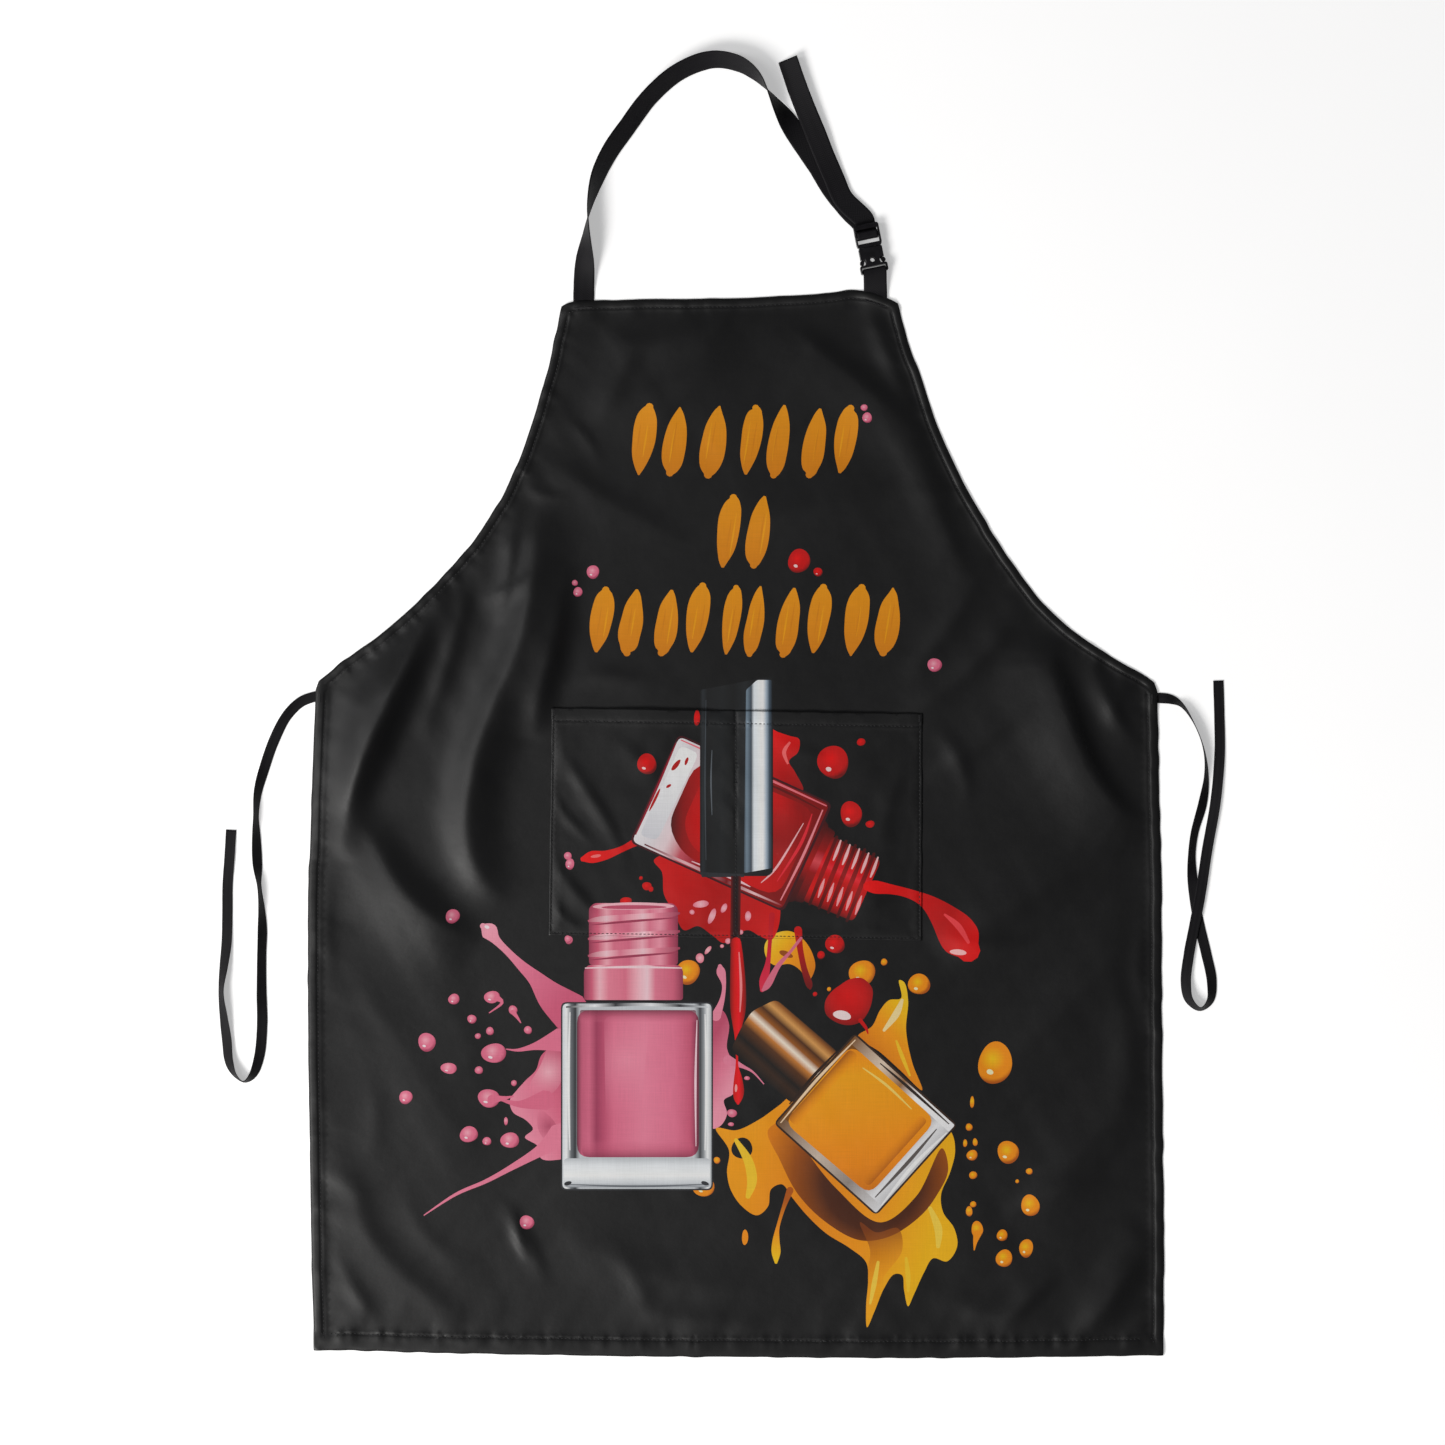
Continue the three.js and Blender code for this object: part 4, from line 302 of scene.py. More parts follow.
    ["stroke", [[100.44, -151.97, 0.8], [97.87, -159.58, 2.72], [95.29, -167.2, 0.8]], ["flat", [250, 170, 174]], 1],
    ["poly", [[-45.9, -22.78], [77.23, -78.63], [37.9, -165.32], [-85.23, -109.47]], 5.6, ["flat", [64, 14, 22]], 1],
    ["poly", [[-45.1, -24.89], [74.74, -79.26], [36.74, -163.04], [-83.11, -108.68]], 4.8, ["lin", [-65.2, -66.29], [57.2, -121.81], [[0, 238, 236, 238], [0.1, 226, 222, 226], [0.2, 236, 216, 220], [0.3, 196, 96, 106], [0.42, 150, 22, 34], [1, 128, 12, 22]]], 1],
    ["poly", [[-44.3, -31.84], [-29.73, -38.45], [-62.92, -107.73], [-77.02, -103.97]], 4.8, ["lin", [-44.3, -31.84], [-71.52, -107.34], [[0, 250, 250, 251], [0.5, 240, 240, 242], [1, 214, 214, 220]]], 1],
    ["poly", [[-30.99, -43.16], [65.45, -84.26], [33.72, -154.2], [-42.05, -119.83], [-54.78, -95.61]], 16.0, ["lin", [-52.14, -89.78], [49.63, -92.02], [[0, 70, 4, 10], [0.1, 140, 8, 18], [0.3, 186, 14, 24], [0.6, 206, 24, 34], [0.85, 196, 18, 28], [1, 150, 10, 20]]], 1],
    ["poly", [[-24.16, -53.28], [15.05, -67.55], [-11.39, -125.84], [-34.7, -115.26], [-42.67, -94.08]], 14.4, ["rad", [-15.52, -92.34], 41.6, [[0, 224, 40, 46, 0.85], [0.6, 204, 22, 32, 0.6], [1, 180, 14, 24, 0]]], 0],
    ["poly", [[23.13, -72.97], [55.85, -86.06], [27.95, -143.68], [3.32, -136.02]], 8.0, ["rad", [29.51, -109.25], 35.2, [[0, 120, 6, 14, 0.75], [0.6, 150, 10, 20, 0.5], [1, 190, 18, 28, 0]]], 0],
    ["stroke", [[-44.11, -27.54, 0.96], [14.34, -53.62, 2.08], [72.46, -80.42, 0.96]], ["flat", [232, 128, 138]], 1],
    ["stroke", [[5.24, -54.32, 0.64], [42.0, -70.11, 1.92], [67.56, -83.47, 0.64]], ["flat", [96, 8, 16]], 1],
    ["stroke", [[69.35, -83.4, 0.96], [53.56, -120.16, 2.08], [35.57, -155.92, 0.96]], ["flat", [236, 150, 158]], 1],
    ["stroke", [[60.88, -86.58, 0.64], [51.76, -110.56, 2.56], [32.85, -140.63, 0.8]], ["flat", [222, 70, 78]], 1],
    ["stroke", [[54.0, -94.01, 0.64], [33.1, -128.45, 1.76], [20.0, -141.83, 0.64]], ["flat", [248, 190, 194]], 1],
    ["stroke", [[-73.17, -110.99, 1.12], [-14.89, -137.42, 2.72], [36.44, -159.83, 1.12]], ["lin", [-73.17, -110.99], [36.44, -159.83], [[0, 90, 20, 30], [0.3, 236, 190, 196], [0.6, 120, 20, 30], [0.8, 240, 200, 204], [1, 150, 40, 50]]], 1],
    ["stroke", [[-35.43, -124.6, 0.64], [-5.79, -136.72, 2.72], [11.53, -145.02, 0.64]], ["flat", [244, 206, 212]], 1],
    ["stroke", [[-47.95, -30.19, 0.8], [-63.74, -66.95, 1.76], [-80.27, -103.38, 0.8]], ["flat", [150, 40, 54]], 1],
    ["ell", -48.0, -47.74, 1.76, 5.6, -40, ["flat", [176, 20, 32]], 1],
    ["ell", -39.53, -44.55, 1.28, 3.2, -20, ["flat", [176, 20, 32]], 1],
    ["ell", -53.81, -64.43, 1.12, 2.4, -60, ["flat", [176, 20, 32]], 1],
    ["ell", -64.86, -75.23, 1.12, 9.6, -26, ["flat", [176, 20, 32]], 1],
    ["stroke", [[105.6, -144.45, 8.0], [112.0, -145.25, 10.4], [123.2, -146.85, 8.0], [134.4, -149.25, 7.2], [145.6, -153.25, 8.8], [155.2, -158.85, 13.6], [164.8, -167.65, 21.6], [174.4, -178.85, 30.4], [180.8, -188.45, 30.4], [185.6, -195.65, 19.2]], ["lin", [108.8, -144.45], [185.6, -195.65], [[0, 232, 52, 60], [0.35, 206, 22, 32], [0.7, 184, 14, 24], [1, 216, 30, 38]]], 1],
    ["stroke", [[166.4, -166.85, 1.6], [177.6, -176.45, 4.8], [185.6, -189.25, 2.4]], ["flat", [240, 92, 96]], 1],
    ["ell", 177.6, -197.25, 6.4, 2.4, -5, ["flat", [250, 190, 190]], 1],
    ["poly", [[-28.8, 12.35], [29.6, 23.55], [29.6, -133.25], [25.6, -136.45], [-24.8, -136.45], [-28.8, -133.25]], 2.4, ["lin", [-28.8, -59.65], [29.6, -59.65], [[0, 12, 12, 14], [0.04, 40, 44, 48], [0.1, 20, 21, 23], [0.3, 26, 28, 30], [0.46, 17, 18, 19], [0.62, 30, 33, 36], [0.7, 22, 24, 27], [1, 12, 13, 15]]], 1],
    ["poly", [[8.0, 12.35], [16.8, 20.35], [28.8, 20.35], [28.8, -130.05], [6.4, -134.05]], 1.6, ["lin", [6.4, -59.65], [28.8, -59.65], [[0, 70, 80, 90], [0.1, 120, 136, 150], [0.26, 62, 72, 82], [0.36, 232, 238, 243], [0.68, 252, 253, 254], [0.8, 170, 184, 198], [0.9, 70, 84, 98], [1, 22, 26, 32]]], 1],
    ["poly", [[-28.8, -133.25], [6.4, -134.85], [6.4, -137.25], [-27.2, -137.25]], 0.0, ["flat", [44, 46, 50]], 1],
    ["stroke", [[-19.2, -35.65, 0.56], [-20.0, -59.65, 1.2], [-19.2, -87.65, 0.56]], ["flat", [92, 98, 104]], 1],
    ["stroke", [[-24.0, 4.35, 0.4], [-24.8, -59.65, 0.96], [-24.0, -123.65, 0.4]], ["flat", [70, 76, 82]], 1],
    ["poly", [[-4.0, -136.45], [4.0, -136.45], [3.2, -193.25], [-4.8, -193.25]], 0.0, ["lin", [-4.8, -163.65], [4.0, -163.65], [[0, 120, 14, 24], [0.3, 40, 5, 9], [0.7, 26, 3, 6], [1, 96, 10, 18]]], 1],
    ["stroke", [[0.0, -189.25, 8.0], [0.8, -203.65, 10.4], [1.6, -227.65, 12.8], [1.6, -243.65, 12.0], [1.2, -254.85, 8.0], [0.8, -264.45, 4.0], [0.8, -277.25, 1.92], [0.8, -288.45, 2.4], [1.6, -298.05, 6.4], [2.0, -308.45, 8.8], [1.6, -314.85, 6.4], [1.6, -318.05, 2.4]], ["lin", [-4.8, -235.65], [8.0, -235.65], [[0, 120, 8, 16], [0.3, 210, 24, 34], [0.55, 232, 60, 66], [0.8, 176, 14, 24], [1, 120, 8, 16]]], 1],
    ["stroke", [[2.4, -197.25, 0.8], [4.0, -223.65, 2.08], [3.2, -245.25, 0.8]], ["flat", [250, 150, 152]], 1],
    ["ell", 0.0, -306.05, 1.04, 3.2, 0, ["flat", [250, 170, 170]], 1],
    ["poly", [[44.98, -318.67], [-4.29, -275.37], [3.86, -257.96], [12.78, -244.46], [32.1, -234.95], [81.91, -277.65]], 4.8, ["lin", [19.48, -296.78], [56.95, -255.17], [[0, 14, 9, 7], [0.14, 52, 32, 20], [0.24, 18, 11, 8], [0.4, 84, 50, 28], [0.5, 196, 130, 76], [0.58, 246, 232, 216], [0.66, 150, 92, 48], [0.76, 74, 42, 22], [0.86, 214, 160, 104], [0.94, 150, 96, 54], [1, 60, 36, 20]]], 1],
    ["stroke", [[42.72, -318.78, 1.12], [61.4, -296.85, 2.56], [81.26, -275.99, 1.12]], ["flat", [40, 22, 14]], 1],
    ["poly", [[111.97, -408.04], [29.94, -334.18], [95.23, -261.66], [177.26, -335.52]], 4.8, ["flat", [52, 34, 24]], 1],
    ["poly", [[111.85, -405.78], [32.2, -334.06], [95.35, -263.92], [175.0, -335.64]], 4.0, ["lin", [143.42, -370.71], [63.78, -298.99], [[0, 206, 206, 208], [0.1, 238, 238, 240], [0.2, 170, 166, 164], [0.28, 120, 110, 104], [0.4, 150, 104, 60], [1, 120, 76, 34]]], 1],
    ["poly", [[170.18, -340.99], [90.54, -269.27], [95.35, -263.92], [175.0, -335.64]], 1.6, ["lin", [172.33, -338.61], [92.68, -266.89], [[0, 240, 240, 242], [0.35, 250, 248, 246], [0.5, 150, 110, 76], [0.7, 226, 208, 190], [1, 120, 80, 44]]], 1],
    ["poly", [[111.85, -405.78], [32.2, -334.06], [37.02, -328.71], [116.66, -400.43]], 1.6, ["lin", [114.52, -402.81], [34.87, -331.09], [[0, 226, 226, 228], [0.3, 150, 140, 134], [0.6, 206, 190, 176], [1, 110, 76, 46]]], 1],
    ["stroke", [[116.07, -399.89, 0.96], [141.05, -368.57, 2.88], [168.52, -341.64, 0.96]], ["flat", [250, 250, 252]], 1],
    ["stroke", [[111.2, -393.35, 0.8], [137.48, -365.36, 2.88], [160.44, -338.67, 0.8]], ["flat", [96, 90, 88]], 1],
    ["poly", [[106.56, -391.33], [38.38, -333.17], [92.32, -270.88], [160.08, -331.89]], 10.4, ["lin", [106.56, -391.33], [93.51, -271.95], [[0, 206, 122, 18], [0.2, 232, 144, 26], [0.5, 242, 158, 36], [0.8, 246, 168, 50], [1, 228, 144, 34]]], 1],
    ["poly", [[106.2, -384.55], [100.26, -379.2], [147.36, -326.89], [153.3, -332.25]], 4.8, ["lin", [130.94, -359.47], [122.62, -351.98], [[0, 150, 78, 8, 0.85], [1, 230, 146, 28, 0]]], 0],
    ["poly", [[48.19, -336.62], [41.06, -330.2], [91.37, -274.33], [98.5, -280.75]], 4.8, ["lin", [66.75, -301.67], [75.07, -309.16], [[0, 136, 70, 8, 0.8], [1, 236, 150, 30, 0]]], 0],
    ["stroke", [[35.59, -333.88, 0.8], [64.37, -299.53, 2.24], [95.53, -267.31, 0.8]], ["flat", [240, 214, 184]], 1],
    ["stroke", [[170.42, -334.75, 0.8], [139.52, -306.92, 2.4], [115.2, -286.1, 0.8]], ["flat", [44, 32, 26]], 1],
    ["stroke", [[101.23, -289.67, 0.8], [120.67, -303.94, 2.08], [140.34, -322.73, 0.8]], ["flat", [255, 212, 128]], 1],
    ["blob", [[83.2, -223.65], [91.2, -218.85], [100.8, -218.05], [108.8, -226.05], [108.8, -235.65], [105.6, -245.25], [99.2, -253.25], [89.6, -255.65], [80.0, -253.25], [72.0, -246.85], [71.2, -237.25], [76.0, -229.25]], ["rad", [89.6, -232.45], 24.0, [[0, 214, 34, 40], [0.6, 190, 16, 26], [1, 130, 8, 16]]], 1],
    ["ell", 84.8, -247.65, 7.2, 3.6, -8, ["flat", [252, 226, 226]], 1],
    ["stroke", [[99.2, -251.65, 3.2], [104.0, -258.05, 2.4], [105.6, -262.85, 0.8]], ["flat", [196, 18, 28]], 1],
    ["ell", 63.2, -230.85, 1.92, 1.92, 0, ["rad", [62.91, -230.47], 2.11, [[0, 232, 44, 50], [0.55, 196, 18, 28], [0.85, 196, 18, 28], [1, 112, 6, 14]]], 1],
    ["poly", [[-117.6, -162.05], [-113.6, -158.05], [-50.4, -158.05], [-46.4, -162.05], [-46.4, -207.65], [-117.6, -207.65]], 3.2, ["lin", [-117.6, -183.65], [-46.4, -183.65], [[0, 150, 66, 88], [0.1, 206, 106, 128], [0.2, 240, 176, 188], [0.28, 220, 128, 148], [0.45, 214, 120, 142], [0.6, 242, 182, 194], [0.68, 222, 132, 152], [0.8, 236, 162, 178], [0.9, 196, 98, 120], [1, 140, 60, 82]]], 1],
    ["ell", -82.0, -160.45, 32.8, 2.88, 0, ["flat", [244, 190, 200]], 1],
    ["ell", -82.0, -161.25, 26.4, 1.6, 0, ["flat", [190, 92, 114]], 1],
    ["stroke", [[-118.4, -172.45, 1.6], [-108.8, -170.85, 4.32], [-82.4, -169.25, 4.8], [-56.0, -167.65, 4.32], [-44.8, -166.05, 1.6]], ["lin", [-118.4, -170.05], [-44.8, -170.05], [[0, 176, 84, 106], [0.2, 250, 206, 214], [0.35, 222, 134, 154], [0.6, 250, 204, 212], [0.75, 226, 142, 160], [1, 158, 70, 92]]], 1],
    ["stroke", [[-117.6, -175.65, 0.64], [-82.4, -172.45, 1.92], [-46.4, -169.65, 0.64]], ["flat", [158, 70, 92]], 1],
    ["stroke", [[-118.4, -186.85, 1.6], [-108.8, -185.25, 4.32], [-82.4, -183.65, 4.8], [-56.0, -182.05, 4.32], [-44.8, -180.45, 1.6]], ["lin", [-118.4, -184.45], [-44.8, -184.45], [[0, 176, 84, 106], [0.2, 250, 206, 214], [0.35, 222, 134, 154], [0.6, 250, 204, 212], [0.75, 226, 142, 160], [1, 158, 70, 92]]], 1],
    ["stroke", [[-117.6, -190.05, 0.64], [-82.4, -186.85, 1.92], [-46.4, -184.05, 0.64]], ["flat", [158, 70, 92]], 1],
    ["stroke", [[-118.4, -200.45, 1.6], [-108.8, -198.85, 4.32], [-82.4, -197.25, 4.8], [-56.0, -195.65, 4.32], [-44.8, -194.05, 1.6]], ["lin", [-118.4, -198.05], [-44.8, -198.05], [[0, 176, 84, 106], [0.2, 250, 206, 214], [0.35, 222, 134, 154], [0.6, 250, 204, 212], [0.75, 226, 142, 160], [1, 158, 70, 92]]], 1],
    ["stroke", [[-117.6, -203.65, 0.64], [-82.4, -200.45, 1.92], [-46.4, -197.65, 0.64]], ["flat", [158, 70, 92]], 1],
    ["poly", [[-121.6, -211.65], [-118.4, -207.65], [-45.6, -207.65], [-42.4, -211.65], [-42.4, -235.65], [-121.6, -235.65]], 2.4, ["lin", [-121.6, -221.25], [-42.4, -221.25], [[0, 150, 66, 88], [0.08, 206, 108, 130], [0.16, 246, 190, 200], [0.25, 226, 140, 158], [0.42, 218, 126, 146], [0.56, 246, 192, 202], [0.64, 250, 210, 218], [0.72, 222, 134, 154], [0.9, 206, 110, 132], [1, 140, 60, 82]]], 1],
    ["stroke", [[-120.8, -210.05, 0.8], [-82.4, -209.25, 1.92], [-43.2, -210.05, 0.8]], ["flat", [252, 216, 222]], 1],
    ["poly", [[-140.0, -237.25], [-18.4, -237.25], [-18.4, -387.65], [-140.0, -387.65]], 4.8, ["flat", [44, 46, 50]], 1],
    ["poly", [[-138.8, -238.45], [-19.6, -238.45], [-19.6, -386.45], [-138.8, -386.45]], 4.0, ["lin", [-139.2, -315.65], [-19.2, -315.65], [[0, 214, 218, 222], [0.03, 246, 248, 250], [0.06, 110, 114, 118], [0.09, 40, 42, 46], [0.12, 200, 204, 208], [0.88, 206, 210, 214], [0.92, 60, 62, 66], [0.945, 150, 154, 158], [0.97, 244, 246, 248], [1, 170, 174, 178]]], 1],
    ["poly", [[-137.6, -362.05], [-20.8, -362.05], [-20.8, -385.25], [-137.6, -385.25]], 3.2, ["lin", [-137.6, -362.05], [-137.6, -385.25], [[0, 196, 200, 204], [0.25, 236, 239, 242], [0.6, 246, 248, 249], [0.85, 214, 218, 222], [1, 150, 154, 160]]], 1],
    ["stroke", [[-134.4, -382.85, 0.64], [-79.2, -384.45, 1.6], [-24.0, -382.85, 0.64]], ["flat", [110, 114, 120]], 1],
    ["ell", -134.4, -382.05, 3.2, 1.6, 20, ["flat", [40, 42, 46]], 1],
    ["ell", -24.8, -382.05, 3.2, 1.6, -20, ["flat", [50, 52, 56]], 1],
    ["poly", [[-127.2, -243.65], [-29.6, -243.65], [-29.6, -361.25], [-127.2, -361.25]], 10.4, ["lin", [-127.2, -299.65], [-29.6, -299.65], [[0, 96, 44, 60], [0.04, 196, 104, 128], [0.1, 210, 116, 140], [0.16, 160, 72, 98], [0.22, 188, 92, 118], [0.3, 218, 122, 146], [0.55, 230, 142, 164], [0.8, 222, 128, 152], [0.93, 200, 102, 126], [0.97, 150, 70, 92], [1, 96, 46, 60]]], 1],
    ["poly", [[-124.8, -243.65], [-32.0, -243.65], [-32.0, -253.25], [-124.8, -253.25]], 1.6, ["lin", [-124.8, -242.85], [-124.8, -254.85], [[0, 84, 36, 50, 0.95], [0.5, 170, 84, 106, 0.5], [1, 220, 126, 150, 0]]], 0],
    ["poly", [[-123.2, -347.65], [-33.6, -347.65], [-33.6, -361.25], [-123.2, -361.25]], 6.4, ["lin", [-123.2, -362.05], [-123.2, -346.05], [[0, 120, 52, 72, 0.85], [0.5, 190, 96, 120, 0.4], [1, 220, 126, 150, 0]]], 0],
    ["poly", [[-105.6, -248.45], [-68.8, -248.45], [-76.8, -331.65], [-104.0, -339.65]], 6.4, ["rad", [-88.0, -283.65], 48.0, [[0, 240, 164, 182, 0.55], [1, 226, 136, 160, 0]]], 0],
    ["stroke", [[-136.0, -241.25, 1.12], [-108.8, -240.05, 2.24], [-76.8, -239.25, 2.56], [-44.8, -240.05, 2.24], [-22.4, -241.25, 1.12]], ["lin", [-136.0, -240.45], [-22.4, -240.45], [[0, 30, 32, 34], [0.2, 240, 242, 244], [0.35, 50, 52, 56], [0.6, 236, 238, 240], [0.8, 40, 42, 46], [1, 220, 224, 228]]], 1],
    ["stroke", [[-132.8, -245.25, 0.8], [-134.0, -299.65, 2.08], [-132.8, -355.65, 0.8]], ["flat", [250, 251, 252]], 1],
    ["stroke", [[-24.8, -246.85, 0.8], [-23.6, -299.65, 2.08], [-24.8, -355.65, 0.8]], ["flat", [250, 251, 252]], 1],
    ["stroke", [[-31.2, -251.65, 0.64], [-32.4, -299.65, 1.76], [-32.0, -352.45, 0.64]], ["flat", [248, 214, 222]], 1],
]

